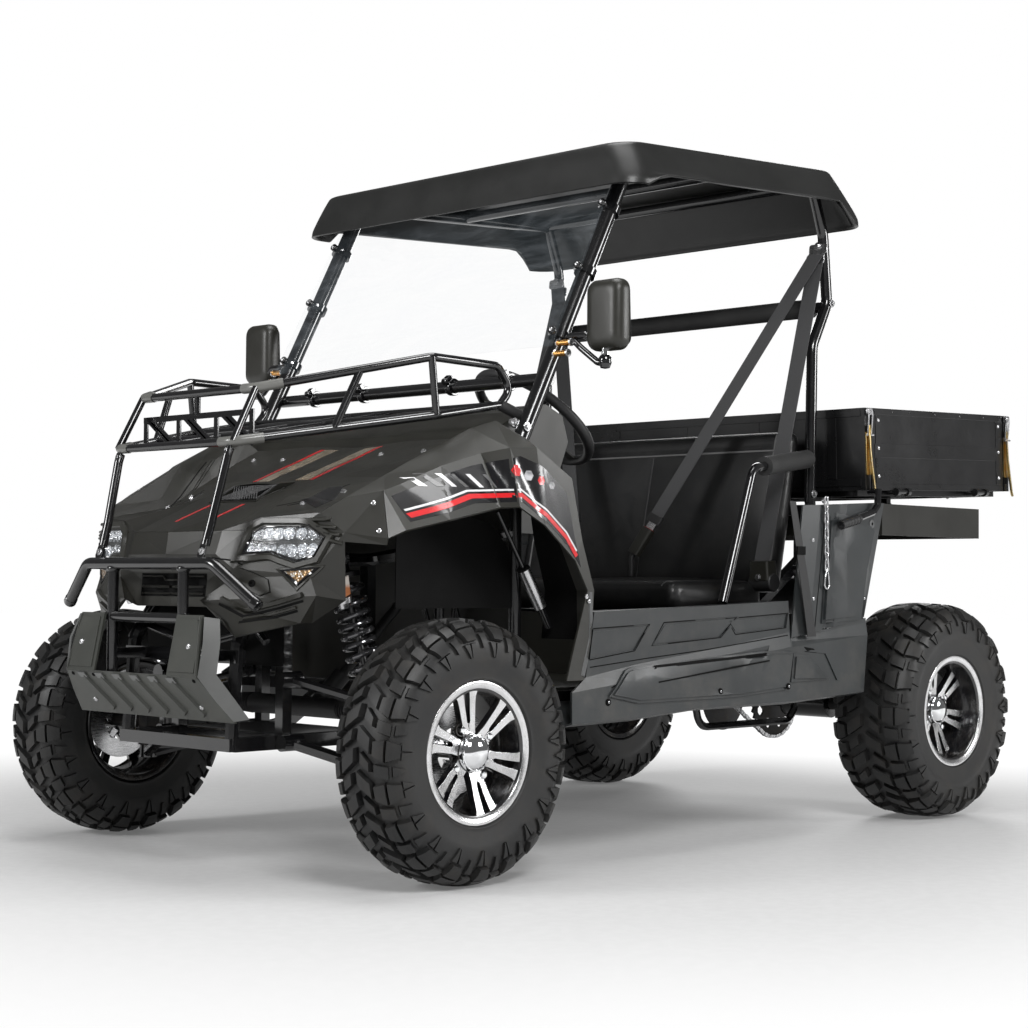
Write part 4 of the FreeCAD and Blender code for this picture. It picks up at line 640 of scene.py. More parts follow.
class Form:
    """A mesh being built in millimetres: points, faces and the finish of each face."""

    def __init__(self):
        self.points, self.faces, self.marks = [], [], []

    def add(self, points, faces, mark=0, place=None):
        base = len(self.points)
        self.points += [place @ Vector(p) if place else Vector(p) for p in points]
        self.faces += [[base + i for i in face] for face in faces]
        self.marks += [mark] * len(faces)
        return self

    def grid(self, rows, mark=0, ring=False, loop=False, caps=False, place=None):
        """Quads between rows of points; ring closes each row, loop joins the last row to the first."""
        count, wide = len(rows), len(rows[0])
        faces = []
        for i in range(count if loop else count - 1):
            for j in range(wide if ring else wide - 1):
                a, b = i * wide + j, i * wide + (j + 1) % wide
                c, d = ((i + 1) % count) * wide + (j + 1) % wide, ((i + 1) % count) * wide + j
                faces.append((a, b, c, d))
        if caps:
            faces.append(tuple(reversed(range(wide))))
            faces.append(tuple(range((count - 1) * wide, count * wide)))
        return self.add([p for row in rows for p in row], faces, mark, place)

    def tube(self, line, radius, sides=12, mark=0, closed=False, place=None, squash=1.0):
        """A round section along a line; radius may be a number or one for each point."""
        line = [Vector(p) for p in line]
        radii = radius if isinstance(radius, (list, tuple)) else [radius] * len(line)
        rows = []
        side = None
        for i, point in enumerate(line):
            ahead = line[(i + 1) % len(line)] if closed or i + 1 < len(line) else point
            behind = line[i - 1] if closed or i else point
            tangent = (ahead - behind).normalized()
            if side is None:
                side = tangent.orthogonal().normalized()
            side = (side - tangent * side.dot(tangent)).normalized()
            up = tangent.cross(side)
            rows.append([point + (side * math.cos(a) + up * math.sin(a) * squash) * radii[i]
                         for a in (2 * math.pi * k / sides for k in range(sides))])
        return self.grid(rows, mark, ring=True, loop=closed, caps=not closed, place=place)

    def lathe(self, profile, sides, mark=0, place=None, closed=False):
        """A profile of (along, radius) turned about local Z."""
        rows = []
        for k in range(sides):
            a = math.radians(360.0 * k / sides)
            rows.append([(r * math.cos(a), r * math.sin(a), z) for z, r in profile])
        return self.grid(rows, mark, ring=closed, loop=True, place=place)

    def prism(self, outline, depth, mark=0, place=None, taper=0.0):
        """A flat outline in local XY pushed along local Z, its far face shrunk by a taper."""
        count = len(outline)
        cx = sum(p[0] for p in outline) / count
        cy = sum(p[1] for p in outline) / count
        top = [(cx + (x - cx) * (1 - taper), cy + (y - cy) * (1 - taper), depth) for x, y in outline]
        faces = [tuple(reversed(range(count))), tuple(range(count, 2 * count))]
        faces += [(i, (i + 1) % count, count + (i + 1) % count, count + i) for i in range(count)]
        return self.add([(x, y, 0) for x, y in outline] + top, faces, mark, place)

    def box(self, start, end, mark=0, place=None):
        """A box between two corners."""
        (x1, y1, z1), (x2, y2, z2) = start, end
        shift = Matrix.Translation((0, 0, z1))
        return self.prism(((x1, y1), (x2, y1), (x2, y2), (x1, y2)), z2 - z1, mark,
                          place @ shift if place else shift)

    def bolt(self, at, along, radius, mark=0):
        """Flanged hexagon head."""
        place = axes(at, along)
        self.lathe(((0, 0), (0, radius * 1.45), (radius * 0.25, radius * 1.4), (radius * 0.3, 0)), 16, mark,
                   place)
        hexagon = [(radius * math.cos(math.pi * k / 3), radius * math.sin(math.pi * k / 3)) for k in range(6)]
        return self.prism(hexagon, radius * 0.95, mark, place, taper=0.12)

    def button(self, at, along, radius, mark=0):
        """Low domed screw head with a socket."""
        place = axes(at, along)
        dome = [(0, radius), (radius * 0.28, radius * 0.92), (radius * 0.46, radius * 0.62),
                (radius * 0.48, radius * 0.4), (radius * 0.15, radius * 0.32), (radius * 0.12, 0)]
        return self.lathe(dome, 14, mark, place)

    def twin(self):
        """Add the mirrored other side."""
        count = len(self.points)
        self.points += [Vector((p.x, -p.y, p.z)) for p in self.points]
        self.faces += [[count + i for i in reversed(face)] for face in list(self.faces)]
        self.marks += list(self.marks)
        return self

    def make(self, name, makers, body="root", bevel=0.0, segments=2, crease=35.0, replaces=(), slot=None,
             weld=True):
        """Turn the form into a piece in metres that rides on a body."""
        mesh = bpy.data.meshes.new(name)
        mesh.from_pydata([p * MM for p in self.points], [], self.faces)
        makers = makers if isinstance(makers, (list, tuple)) else [makers]
        for maker in makers:
            mesh.materials.append(finish(maker))
        mesh.polygons.foreach_set("material_index", self.marks)
        work = bmesh.new()
        work.from_mesh(mesh)
        if weld:
            bmesh.ops.remove_doubles(work, verts=work.verts, dist=0.00001)
        bmesh.ops.dissolve_degenerate(work, dist=0.000005, edges=work.edges)
        bmesh.ops.recalc_face_normals(work, faces=work.faces)
        work.to_mesh(mesh)
        work.free()
        mesh.shade_smooth()
        mesh.set_sharp_from_angle(angle=math.radians(crease))
        piece = bpy.data.objects.new(name, mesh)
        bpy.context.scene.collection.objects.link(piece)
        if bevel:
            round_edges(piece, bevel, segments, crease)
        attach(piece, body)
        if replaces:
            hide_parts(*replaces)
        return piece


def round_edges(piece, width, segments=2, angle=40.0):
    """Round a piece's edges by a width in millimetres."""
    edge = piece.modifiers.new("edges", "BEVEL")
    edge.width = width * MM
    edge.segments = segments
    edge.limit_method = "ANGLE"
    edge.angle_limit = math.radians(angle)
    edge.harden_normals = True


def coat(node, maker, bevel):
    """Give a node of the frame its finish, and round its edges."""
    piece = NODES[node]
    piece.data.materials.clear()
    piece.data.materials.append(finish(maker))
    if bevel:
        round_edges(piece, bevel)


class Wheel:
    """Places and sizes of one wheel, read from its tyre and rim."""

    def __init__(self, stem, body, side):
        self.stem, self.body, self.side = stem, body, side
        self.centre = middle(stem + "_tyre")
        self.radius = (high(stem + "_tyre", 0) - low(stem + "_tyre", 0)) / 2
        self.half = (high(stem + "_tyre", 1) - low(stem + "_tyre", 1)) / 2
        self.rim_half = (high(stem + "_rim", 1) - low(stem + "_rim", 1)) / 2
        self.flange = (high(stem + "_rim", 0) - low(stem + "_rim", 0)) / 2
        self.dish = 22.0 if stem.startswith("front") else 60.0
        self.place = axes(self.centre, (0, side, 0))


WHEELS = [Wheel("front_left", "front_left_wheel", LEFT), Wheel("front_right", "front_right_wheel", RIGHT),
          Wheel("rear_left", "rear_wheels", LEFT), Wheel("rear_right", "rear_wheels", RIGHT)]


# ---- tyres
LUGS = (
    # corners of one block as (distance from the crown, share of the pitch), then its height
    (((3, 0.00), (3, 0.33), (37, 0.63), (37, 0.27)), 12.0),
    (((13, 0.58), (13, 0.84), (36, 1.02), (36, 0.82)), 11.0),
    (((42, 0.33), (42, 0.66), (63, 0.80), (63, 0.28)), 12.0),
    (((65, 0.28), (65, 0.80), (89, 0.70), (89, 0.36)), 11.0),
    (((45, 0.84), (45, 1.12), (70, 1.20), (70, 0.90)), 10.0),
    (((92, 0.30), (92, 0.50), (121, 0.52), (121, 0.48)), 4.5),
    (((92, 0.56), (92, 0.76), (121, 0.58), (121, 0.54)), 4.5),
    (((76, 0.90), (76, 1.16), (104, 1.06), (104, 1.00)), 5.5),
)


REAR_STRETCH = 1.28  # a rear block's width over a front block's
LUG_STEPS = 3
LUG_TOP, LUG_FOOT = 0.93, 1.06  # spread of a block's top and foot about its middle
SIDE_BLOCKS = 90  # distance from the crown past which blocks move and don't widen


def carcass(wheel):
    """Half section of a tyre from the crown round to its bead, as (along the axle, radius)."""
    r, w, f = wheel.radius, wheel.half, wheel.rim_half
    return [(0, r - 12), (0.3 * w, r - 12.6), (0.55 * w, r - 15.5), (0.74 * w, r - 22.5), (0.86 * w, r - 33),
            (0.925 * w, r - 46), (0.945 * w, r - 62), (0.94 * w, r - 78), (0.91 * w, r - 93),
            (0.5 * (f + 0.91 * w), 151), (f + 2.5, 144.5), (f - 2, 141.4), (f - 5.6, 140.5)]


def smooth_line(points, steps):
    """Catmull-Rom samples through points."""
    pts = [Vector(p) for p in points]
    pts = [pts[0] * 2 - pts[1]] + pts + [pts[-1] * 2 - pts[-2]]
    out = []
    for a, b, c, d in zip(pts, pts[1:], pts[2:], pts[3:]):
        for k in range(steps):
            t = k / steps
            out.append(0.5 * (2 * b + (c - a) * t + (2 * a - 5 * b + 4 * c - d) * t * t
                              + (3 * b - a - 3 * c + d) * t ** 3))
    out.append(pts[-2])
    return out


class TyreSkin:
    """Points on the outside of a tyre by distance from the crown."""

    def __init__(self, wheel, pitches):
        self.line = smooth_line(carcass(wheel), 4)
        self.pitches = pitches
        self.along = [0.0]
        for a, b in zip(self.line, self.line[1:]):
            self.along.append(self.along[-1] + (b - a).length)

    def point(self, distance, share, lift, side):
        i = max(k for k in range(len(self.along) - 1) if self.along[k] <= distance)
        a, b = self.line[i], self.line[i + 1]
        t = (distance - self.along[i]) / (self.along[i + 1] - self.along[i])
        at = a.lerp(b, t)
        run = (b - a).normalized()
        out = Vector((-run.y, run.x))
        across, radius = at + out * lift
        turn = 2 * math.pi * share / self.pitches
        return Vector((radius * math.cos(turn), radius * math.sin(turn), side * across))


def add_lug(form, skin, corners, height, first, side):
    """One tread block with tapered walls on a tyre's skin."""
    (a, b, c, d) = corners
    centre_t = sum(p[0] for p in corners) / 4
    centre_u = sum(p[1] for p in corners) / 4

    def spot(i, j, spread, lift):
        s, t = i / LUG_STEPS, j / LUG_STEPS
        distance = (a[0] * (1 - s) + b[0] * s) * (1 - t) + (d[0] * (1 - s) + c[0] * s) * t
        share = (a[1] * (1 - s) + b[1] * s) * (1 - t) + (d[1] * (1 - s) + c[1] * s) * t
        distance = centre_t + (distance - centre_t) * spread
        share = centre_u + (share - centre_u) * spread
        return skin.point(distance, first + share, lift, side)

    form.grid([[spot(i, j, LUG_TOP, height) for i in range(LUG_STEPS + 1)] for j in range(LUG_STEPS + 1)])
    there, back = range(LUG_STEPS), range(LUG_STEPS, 0, -1)
    ring = [(i, 0) for i in there] + [(LUG_STEPS, j) for j in there]
    ring += [(i, LUG_STEPS) for i in back] + [(0, j) for j in back]
    upper = [spot(i, j, LUG_TOP, height) for i, j in ring]
    lower = [spot(i, j, LUG_FOOT, -1.5) for i, j in ring]
    form.grid([upper, lower], ring=True)


def build_tyre(wheel, look):
    """Carcass and tread blocks of one tyre."""
    front = wheel.stem.startswith("front")
    pitches = look.front_pitches if front else look.rear_pitches
    stretch = 1.0 if front else REAR_STRETCH
    skin = TyreSkin(wheel, pitches)
    half = [tuple(p) for p in skin.line]
    section = [(-a, r) for a, r in reversed(half)] + half[1:]
    section += [(wheel.rim_half - 6, 131), (-wheel.rim_half + 6, 131)]
    form = Form()
    form.lathe(section, 96, closed=True)
    for side in (LEFT, RIGHT):
        for k in range(pitches):
            first = k + (0.5 if side < 0 else 0.0)
            for corners, lift in LUGS:
                spread = [(t * stretch if t < SIDE_BLOCKS else t + 88 * (stretch - 1), u) for t, u in corners]
                add_lug(form, skin, spread, lift * look.tread_depth, first, side)
    form.points = [wheel.place @ p for p in form.points]
    form.make(wheel.stem + "_tread_tyre", tyre_rubber, wheel.body, crease=32, weld=False,
              replaces=(wheel.stem + "_tyre",), slot="tyre")


# ---- wheels
MACHINED, BLACK, CHROME, STEEL = 0, 1, 2, 3
SPOKE = (
    # radius, inner edge, outer edge of one slat, height above the wheel face
    (28, 0.0, 17.0, 0.0), (40, 0.0, 16.2, 2.0), (52, 0.0, 16.4, 4.0), (58, 0.6, 17.0, 5.0),
    (62, 4.2, 17.8, 5.6), (80, 5.4, 20.0, 8.0), (98, 6.8, 22.6, 11.0), (110, 7.6, 25.2, 13.4),
    (117, 8.0, 29.0, 15.0), (124.5, 8.4, 33.5, 16.0),
)


def add_spokes(form, face):
    """Six split spokes, each a pair of slats with a machined front."""
    for index in range(6):
        for hand in (1, -1):
            rows = []
            for radius, inner, outer, lift in SPOKE:
                bend = 0.055 * (radius - 28) ** 2 / 96
                top, bottom = face + lift, face + lift - 17 + 0.05 * (radius - 28)
                y1, y2 = hand * inner + bend, hand * outer + bend
                rows.append([(radius, y1, top), (radius, y2, top), (radius, y2 + hand * 1.2, top - 2.4),
                             (radius, y2 + hand * 2.5, bottom), (radius, y1 - hand * 0.8, bottom)])
            spin = Matrix.Rotation(math.radians(60 * index + 12), 4, "Z")
            base, wide = len(form.points), len(rows[0])
            form.points += [spin @ Vector(p) for row in rows for p in row]
            for i in range(len(rows) - 1):
                for j in range(wide):
                    a, b = base + i * wide + j, base + i * wide + (j + 1) % wide
                    form.faces.append([a, b, b + wide, a + wide])
                    form.marks.append(MACHINED if j == 0 else BLACK)

def add_hub(form, face):
    """Hub, cap with its teeth, nuts and brake disc."""
    form.lathe([(face - 26, 0), (face - 26, 38), (face - 4, 40), (face + 3.2, 38.5), (face + 4.2, 36),
                (face + 4.2, 0)],
               48, BLACK)
    dome = [(face + 3, 37.5), (face + 12, 37), (face + 14, 35.6), (face + 14.5, 33.5), (face + 19, 30),
            (face + 23, 24), (face + 25.5, 16), (face + 26.6, 8), (face + 27, 0)]
    form.lathe(dome, 40, CHROME)
    for k in range(12):
        spin = Matrix.Rotation(math.pi * k / 6, 4, "Z")
        form.prism([(33.5, -2.6), (36.3, -3.2), (36.3, 3.2), (33.5, 2.6)], face + 15.6, CHROME, spin)
    for k in range(4):
        a = math.radians(90 * k + 33)
        spot = Vector((54 * math.cos(a), 54 * math.sin(a), face - 6))
        form.lathe([(0, 13.5), (6, 13.0), (6.4, 10.6), (1.5, 10)], 20, BLACK, Matrix.Translation(spot))
        form.lathe([(0, 8.6), (11, 8.4), (14, 6.4), (14.6, 0)], 6, CHROME, Matrix.Translation(spot))
    disc = face - 52
    ring = [(disc, 46), (disc, 88), (disc + 3.6, 88), (disc + 3.6, 46)]
    form.lathe(ring, 48, STEEL, closed=True)
    for k in range(5):
        a = 2 * math.pi * k / 5
        arm = [(26, -9), (50, -6), (50, 6), (26, 9)]
        form.prism(arm, 5, STEEL, Matrix.Translation((0, 0, disc)) @ Matrix.Rotation(a, 4, "Z"))

def build_rim(wheel):
    """Barrel and machined lip of one wheel, with its spokes and hub."""
    w = wheel.rim_half
    face = w - wheel.dish
    form = Form()
    barrel = [(-w, 141), (-w, 137.5), (-w + 3, 136.5), (-w + 6, 129), (-w + 22, 126.5), (-w + 34, 118),
              (w - 44, 118), (w - 30, 126), (w - 8, 127), (w - 5, 127.5)]
    under = [(w - 5, 124.2), (w - 30, 123), (w - 45, 115), (-w + 34, 115), (-w + 22, 123), (-w + 4, 126),
             (-w, 134)]
    form.lathe(barrel + under, 72, BLACK, closed=True)
    lip = [(w - 8, 125.2), (w - 3.2, 125.8), (w - 1.0, 128.5), (w - 0.6, 134.5), (w, 137.5), (w - 0.6, 140.6),
           (w - 3.5, 141), (w - 5.5, 139.6), (w - 5, 130), (w - 8, 129)]
    form.lathe(lip, 96, MACHINED, closed=True)
    form.lathe([(w - 8, 125.3), (w - 12, 124.2), (w - 12, 119.5), (w - 7.5, 120.3), (w - 5.5, 122.6),
                (w - 5.2, 125.4)], 96, BLACK, closed=True)
    add_spokes(form, face)
    add_hub(form, face)
    form.points = [wheel.place @ p for p in form.points]
    form.make(wheel.stem + "_alloy_wheel", (machined_alloy, wheel_paint, chrome, bright_metal), wheel.body,
              bevel=0.7, crease=38, replaces=(wheel.stem + "_rim",), slot="machined_alloy")


# ---- suspension
SPRINGS = (
    # top, bottom, coil radius, wire radius, turns
    ((940, 300, 640), (870, 366, 239.7), 31.5, 6.4, 8.5),
    ((-700, 300, 640), (-770, 300, 322), 30, 6.5, 7.5),
)


def build_shocks(look):
    """Coil-over shocks: damper, rod, collars and coil."""
    form = Form()
    for top, bottom, coil, wire, turns in SPRINGS:
        bottom = Vector(bottom)
        if bottom.x > 0:
            wire, turns = look.wire / MM, look.turns
        place = axes(bottom, Vector(top) - bottom)
        length = (Vector(top) - bottom).length
        form.lathe([(8, 0), (8, 15), (length * 0.34, 15.5), (length * 0.35, coil + 3),
                    (length * 0.375, coil + 4), (length * 0.38, 19), (length * 0.46, 19), (length * 0.46, 6.5),
                    (length * 0.93, 6.5)], 24, 0, place)
        form.lathe([(length * 0.9, 8), (length * 0.9, coil + 3), (length * 0.925, coil + 3),
                    (length * 0.935, 15), (length * 0.97, 13), (length * 0.98, 0)], 24, 0, place)
        form.lathe([(length * 0.26, 16.5), (length * 0.26, 19.5), (length * 0.335, 19.5),
                    (length * 0.335, 16.5)], 20, 2,
                   place, closed=True)
        helix = []
        start, end = length * 0.385, length * 0.895
        count = int(turns * 22)
        for k in range(count + 1):
            s = k / count
            ease = s + 0.035 * math.sin(2 * math.pi * s)
            a = 2 * math.pi * turns * s
            helix.append((coil * math.cos(a), coil * math.sin(a),
                          start + wire + (end - start - 2 * wire) * ease))
        form.tube(helix, wire, 10, 1, place=place)
        for point in (Vector(top), bottom):
            form.lathe([(-15, 7), (-15, 14), (15, 14), (15, 7)], 20, 0, axes(point, (0, 1, 0)), closed=True)
            form.bolt((point.x, point.y + 17, point.z), (0, 1, 0), 7, 2)
            form.tube([(point.x, point.y - 20, point.z), (point.x, point.y + 18, point.z)], 5, 10, 2)
    form.twin()
    form.make("coil_shocks", (satin_steel_sheet, spring_paint, bright_metal), bevel=0.4,
              replaces=("shock_absorbers",), slot="shock_paint")


# ---- laid-on trim
class Surface:
    """The faces of nodes of the frame or of made pieces, for trim to lie on."""

    def __init__(self, *sources):
        points, faces = [], []
        for source in sources:
            piece, base = NODES[source] if isinstance(source, str) else source, len(points)
            points += [piece.matrix_world @ v.co / MM for v in piece.data.vertices]
            faces += [[base + i for i in face.vertices] for face in piece.data.polygons]
        self.tree = BVHTree.FromPolygons(points, faces)

    def land(self, start, along):
        """Where a ray meets the surface and the way it faces there, or None."""
        hit, normal, _, _ = self.tree.ray_cast(start, along)
        if hit is None:
            return None
        return hit, (-normal if normal.dot(along) > 0 else normal)


class Side:
    """A flat drawing board beside the vehicle: drawn points are cast along one direction."""

    def __init__(self, origin, across, up, along):
        self.origin, self.across, self.up, self.along = [Vector(v) for v in (origin, across, up, along)]

    def ray(self, point):
        return self.origin + self.across * point[0] + self.up * point[1], self.along


FLANK = Side((0, 800, 0), (1, 0, 0), (0, 0, 1), (0, -1, 0))
ABOVE = Side((0, 0, 1300), (1, 0, 0), (0, 1, 0), (0, 0, -1))
AHEAD = Side((1500, 0, 0), (0, 1, 0), (0, 0, 1), (-1, 0, 0))
OVERHEAD = Side((0, 0, 2200), (1, 0, 0), (0, 1, 0), (0, 0, -1))


def cut_up(outline, size):
    """A flat outline cut into small cells."""
    work = bmesh.new()
    work.faces.new([work.verts.new((u, v, 0)) for u, v in outline])
    bmesh.ops.triangulate(work, faces=work.faces[:])
    for axis in (0, 1):
        spots = [p[axis] for p in outline]
        cut, normal = Vector(), Vector()
        normal[axis] = 1
        for k in range(1, int((max(spots) - min(spots)) / size) + 1):
            cut[axis] = min(spots) + size * k
            bmesh.ops.bisect_plane(work, geom=work.verts[:] + work.edges[:] + work.faces[:], plane_co=cut,
                                   plane_no=normal)
    return work


def film(form, surface, side, outline, mark=0, lift=0.5, sink=0.6, size=10.0):
    """A thin closed sheet that follows a surface inside a drawn outline."""
    work = cut_up(outline, size)
    centre = Vector((sum(p[0] for p in outline), sum(p[1] for p in outline))) / len(outline)
    spots = {}
    for vert in work.verts:
        flat = vert.co.to_2d()
        for pull in (0, 0.02, 0.05, 0.1, 0.16):
            spot = surface.land(*side.ray(flat.lerp(centre, pull)))
            if spot:
                spots[vert] = spot
                break

    def unbroken(edge):
        a, b = (spots[v][0] for v in edge.verts)
        return (a - b).length < 3 * edge.calc_length() + 8

    kept = [f for f in work.faces if all(v in spots for v in f.verts) and all(unbroken(e) for e in f.edges)]
    used = {v for f in kept for v in f.verts}
    order = {v: i for i, v in enumerate(v for v in work.verts if v in used)}
    count = len(order)
    top = [spots[v][0] + spots[v][1] * lift for v in order]
    under = [spots[v][0] - spots[v][1] * sink for v in order]
    faces = [[order[v] for v in f.verts] for f in kept]
    faces += [[count + i for i in reversed(face)] for face in faces]
    chosen = set(kept)
    for edge in work.edges:
        if sum(1 for f in edge.link_faces if f in chosen) == 1:
            a, b = [order[v] for v in edge.verts]
            faces.append([a, b, count + b, count + a])
    work.free()
    return form.add(top + under, faces, mark)


def rib(form, surface, side, line, width, height, mark=0, closed=False, step=9.0, crown=0.7, sink=0.8):
    """A raised strip laid along a drawn line."""
    points = [Vector(p) for p in line]
    ends = points[1:] + points[:1] if closed else points[1:]
    normals = [Vector((-(b - a).y, (b - a).x)).normalized() for a, b in zip(points, ends)]
    mitres = []
    for i in range(len(points)):
        before = normals[i - 1] if i or closed else normals[0]
        after = normals[i] if i < len(normals) else normals[-1]
        sum_of = before + after
        mitres.append(sum_of / max(sum_of.length_squared / 2, 0.5))
    samples = []
    for i, (a, b) in enumerate(zip(points, ends)):
        count = max(1, int((b - a).length / step))
        for k in range(count):
            samples.append((a.lerp(b, k / count), normals[i] if k else mitres[i]))
    if not closed:
        samples.append((points[-1], mitres[-1]))
    rows = []
    for point, normal in samples:
        row = []
        for share, lift in ((-0.5, -sink), (-0.5 * crown, height), (0.5 * crown, height), (0.5, -sink)):
            spot = surface.land(*side.ray(point + normal * (width * share)))
            if spot:
                row.append(spot[0] + spot[1] * lift)
        if len(row) == 4:
            rows.append(row)
    if len(rows) < 2:
        raise RuntimeError("a strip misses its surface")
    return form.grid(rows, mark, ring=True, loop=closed, caps=not closed)


def fasten(form, surface, side, at, radius=5.0, mark=0, kind="button", lift=0.0):
    """A screw or bolt seated square on a surface."""
    spot = surface.land(*side.ray(at))
    if spot is None:
        raise RuntimeError("a fastener misses its surface")
    return getattr(form, kind)(spot[0] + spot[1] * lift, spot[1], radius, mark)


# ---- stickers
BLACK_FILM, RED_FILM, WHITE_FILM, GREY_FILM, SILVER_FILM, SAND_FILM = range(6)
FENDER_PANEL = ((952, 764), (880, 796), (790, 830), (700, 852), (640, 832), (572, 782), (552, 700), (530, 626),
                (572, 672), (633, 718), (705, 758), (820, 752), (952, 712))
ARCH_LINE = ((948, 724), (820, 766), (705, 772), (633, 732), (574, 688), (544, 650))


def build_stickers(look):
    """Generic films: arch pinstripes, slanted bars and hexagons on the fenders, twin stripes on the hood."""
    films = (black_sticker, red_sticker, white_sticker, grey_sticker, silver_sticker, sand_sticker)
    cell = look.cell / MM
    form, fender = Form(), Surface("left_front_fender")
    film(form, fender, FLANK, FENDER_PANEL, BLACK_FILM, 0.4, 0.5, cell)
    for rise, width, mark in ((0, 10, RED_FILM), (11, 4, WHITE_FILM)):
        rib(form, fender, FLANK, [(x, z + rise) for x, z in ARCH_LINE], width, 1.0, mark, crown=0.9)
    for k in range(6):
        x, wide = 900 - 27 * k, 13 - 1.4 * k
        film(form, fender, FLANK, ((x, 785), (x + 14, 812), (x + 14 - wide, 812), (x - wide, 785)),
             (WHITE_FILM, GREY_FILM)[k % 2], 0.9, 0.5, cell)
    for k in range(4):
        x, z, radius = 712 - 32 * k, 822 - 9 * k, 13 - 1.5 * k
        hexagon = [(x + radius * math.cos(math.pi * i / 3),
                    z + radius * math.sin(math.pi * i / 3)) for i in range(6)]
        film(form, fender, FLANK, hexagon, (RED_FILM, SILVER_FILM)[k % 2], 0.9, 0.5, cell)
    form.twin()
    form.make("fender_stickers", films, crease=40, weld=False)
    form, hood = Form(), Surface("hood")
    for inner, outer, mark in ((46, 88, SAND_FILM), (94, 104, RED_FILM)):
        film(form, hood, ABOVE, ((850, inner), (850, outer), (650, outer), (650, inner)), mark, 0.5, 0.5, cell)
    film(form, hood, ABOVE, ((1090, 52), (1090, 62), (1000, 62), (1000, 52)), RED_FILM, 0.5, 0.5, cell)
    form.twin()
    form.make("hood_stickers", films, crease=40, weld=False)


# ---- front rack
RACK_LOWER = ((1140, 199, 874), (780, 413, 939), (592, 413, 973), (545, 428.7, 952))
RACK_UPPER = ((1080, 195, 987), (794, 413, 1059), (600, 413, 1056), (560, 413, 1010), (592, 413, 973))
RACK_POSTS = (((965, 306, 905), (912, 323, 1026)), (RACK_LOWER[0], RACK_UPPER[0]),
              (RACK_LOWER[1], RACK_UPPER[1]))


def across(line):
    """A line on the left carried over to the right."""
    return [Vector(p) for p in reversed(line)] + [Vector((x, -y, z)) for x, y, z in line]


def bar(form, start, end, width, thick, mark=0, towards=(1, 0, 0)):
    """A flat bar between two points."""
    start, end = Vector(start), Vector(end)
    place = axes(start, end - start, towards)
    return form.box((-thick / 2, -width / 2, 0), (thick / 2, width / 2, (end - start).length), mark, place)


def flat_tab(form, at, normal, along, length, width, mark=0, bolt=0):
    """A flattened tube end with its bolt."""
    place = axes(at, normal, along)
    half, end = width / 2, length / 2
    outline = [(-end, -half * 0.75), (end - half, -half), (end, -half * 0.45), (end, half * 0.45),
               (end - half, half), (-end, half * 0.75)]
    form.prism(outline, 4.0, mark, place, taper=0.04)
    return form.bolt(place @ Vector((length * 0.1, 0, 3.5)), normal, 5.5, bolt)


def build_rack():
    """Tube basket with its grey corner sleeves, braces, truss plate and boots."""
    tube_mark, sleeve, zinc, rubber = range(4)
    form = Form()
    for line, radius, bend in ((RACK_LOWER, 9, 34), (RACK_UPPER, 9, 30)):
        form.tube(rounded(across(line), bend, 8), radius, 16, tube_mark)
    for foot, head in RACK_POSTS:
        for y in (LEFT, RIGHT):
            form.tube([(foot[0], foot[1] * y, foot[2]), (head[0], head[1] * y, head[2])], 8, 14, tube_mark)
    for x, y, z in (RACK_LOWER[1], RACK_LOWER[2], RACK_POSTS[0][0]):
        form.tube([(x, -y, z), (x, y, z)], 8, 14, tube_mark)
    for y in (-66, 66):
        form.tube([(1140, y, 874), (592, y, 973)], 6, 12, tube_mark)
    for z, tall in ((884, 10), (939, 12)):
        bar(form, (1080, -190, z), (1080, 190, z), tall, 4.4, tube_mark)
    for bay in (-195, -65, 65):
        for near, far in ((22, 96), (34, 108)):
            bar(form, (1080, bay + near, 937), (1080, bay + far, 886), 11, 3.6, tube_mark)
    for y in (-183, -65, 65, 183):
        bar(form, (1080, y, 881), (1080, y, 943), 13, 4, tube_mark)
    form.tube([(1080, 0, 941), (1080, 0, 987)], 6, 14, tube_mark)
    for line, reach in ((RACK_LOWER, 62), (RACK_UPPER, 56)):
        corner, back = Vector(line[0]), Vector(line[1])
        path = rounded([corner + Vector((0, -40, 0)), corner, corner + (back - corner).normalized() * reach],
                       34, 8)
        for y in (LEFT, RIGHT):
            form.tube([(p.x, p.y * y, p.z) for p in path], 10.6, 18, sleeve)
    for y in (LEFT, RIGHT):
        form.tube(rounded([(592, 413 * y, 973), (545, 428.7 * y, 952), (541, 430 * y, 950)], 4), 12, 14, rubber)
        flat_tab(form, (566, 434 * y, 934), (0.35, y, 0.2), (1, 0, 0.3), 34, 22, zinc, zinc)
    form.make("rack_basket", (gloss_tube, sleeve_paint, bright_metal, grip_rubber), bevel=0.5, crease=50,
              replaces=("front_rack",), slot="black_tube")


def build_braces():
    """The two bent braces between basket and bumper, with their flattened ends."""
    form = Form()
    line = rounded([(1190, 178, 664), (1177, 180, 712), (1146, 189, 846), (1140, 190, 862)], 60, 8)
    form.tube(line, [9.5] * len(line), 16, 0)
    flat_tab(form, (1194, 178, 656), (0.95, 0, 0.3), (0.15, 0, -1), 50, 24, 0, 1)
    flat_tab(form, (1144, 189, 852), (0.97, 0.05, 0.2), (-0.2, 0.03, 1), 36, 23, 0, 1)
    form.twin()
    form.make("rack_brace_tabs", (gloss_tube, bright_metal), bevel=0.5, crease=50, replaces=("rack_braces",),
              slot="black_tube")


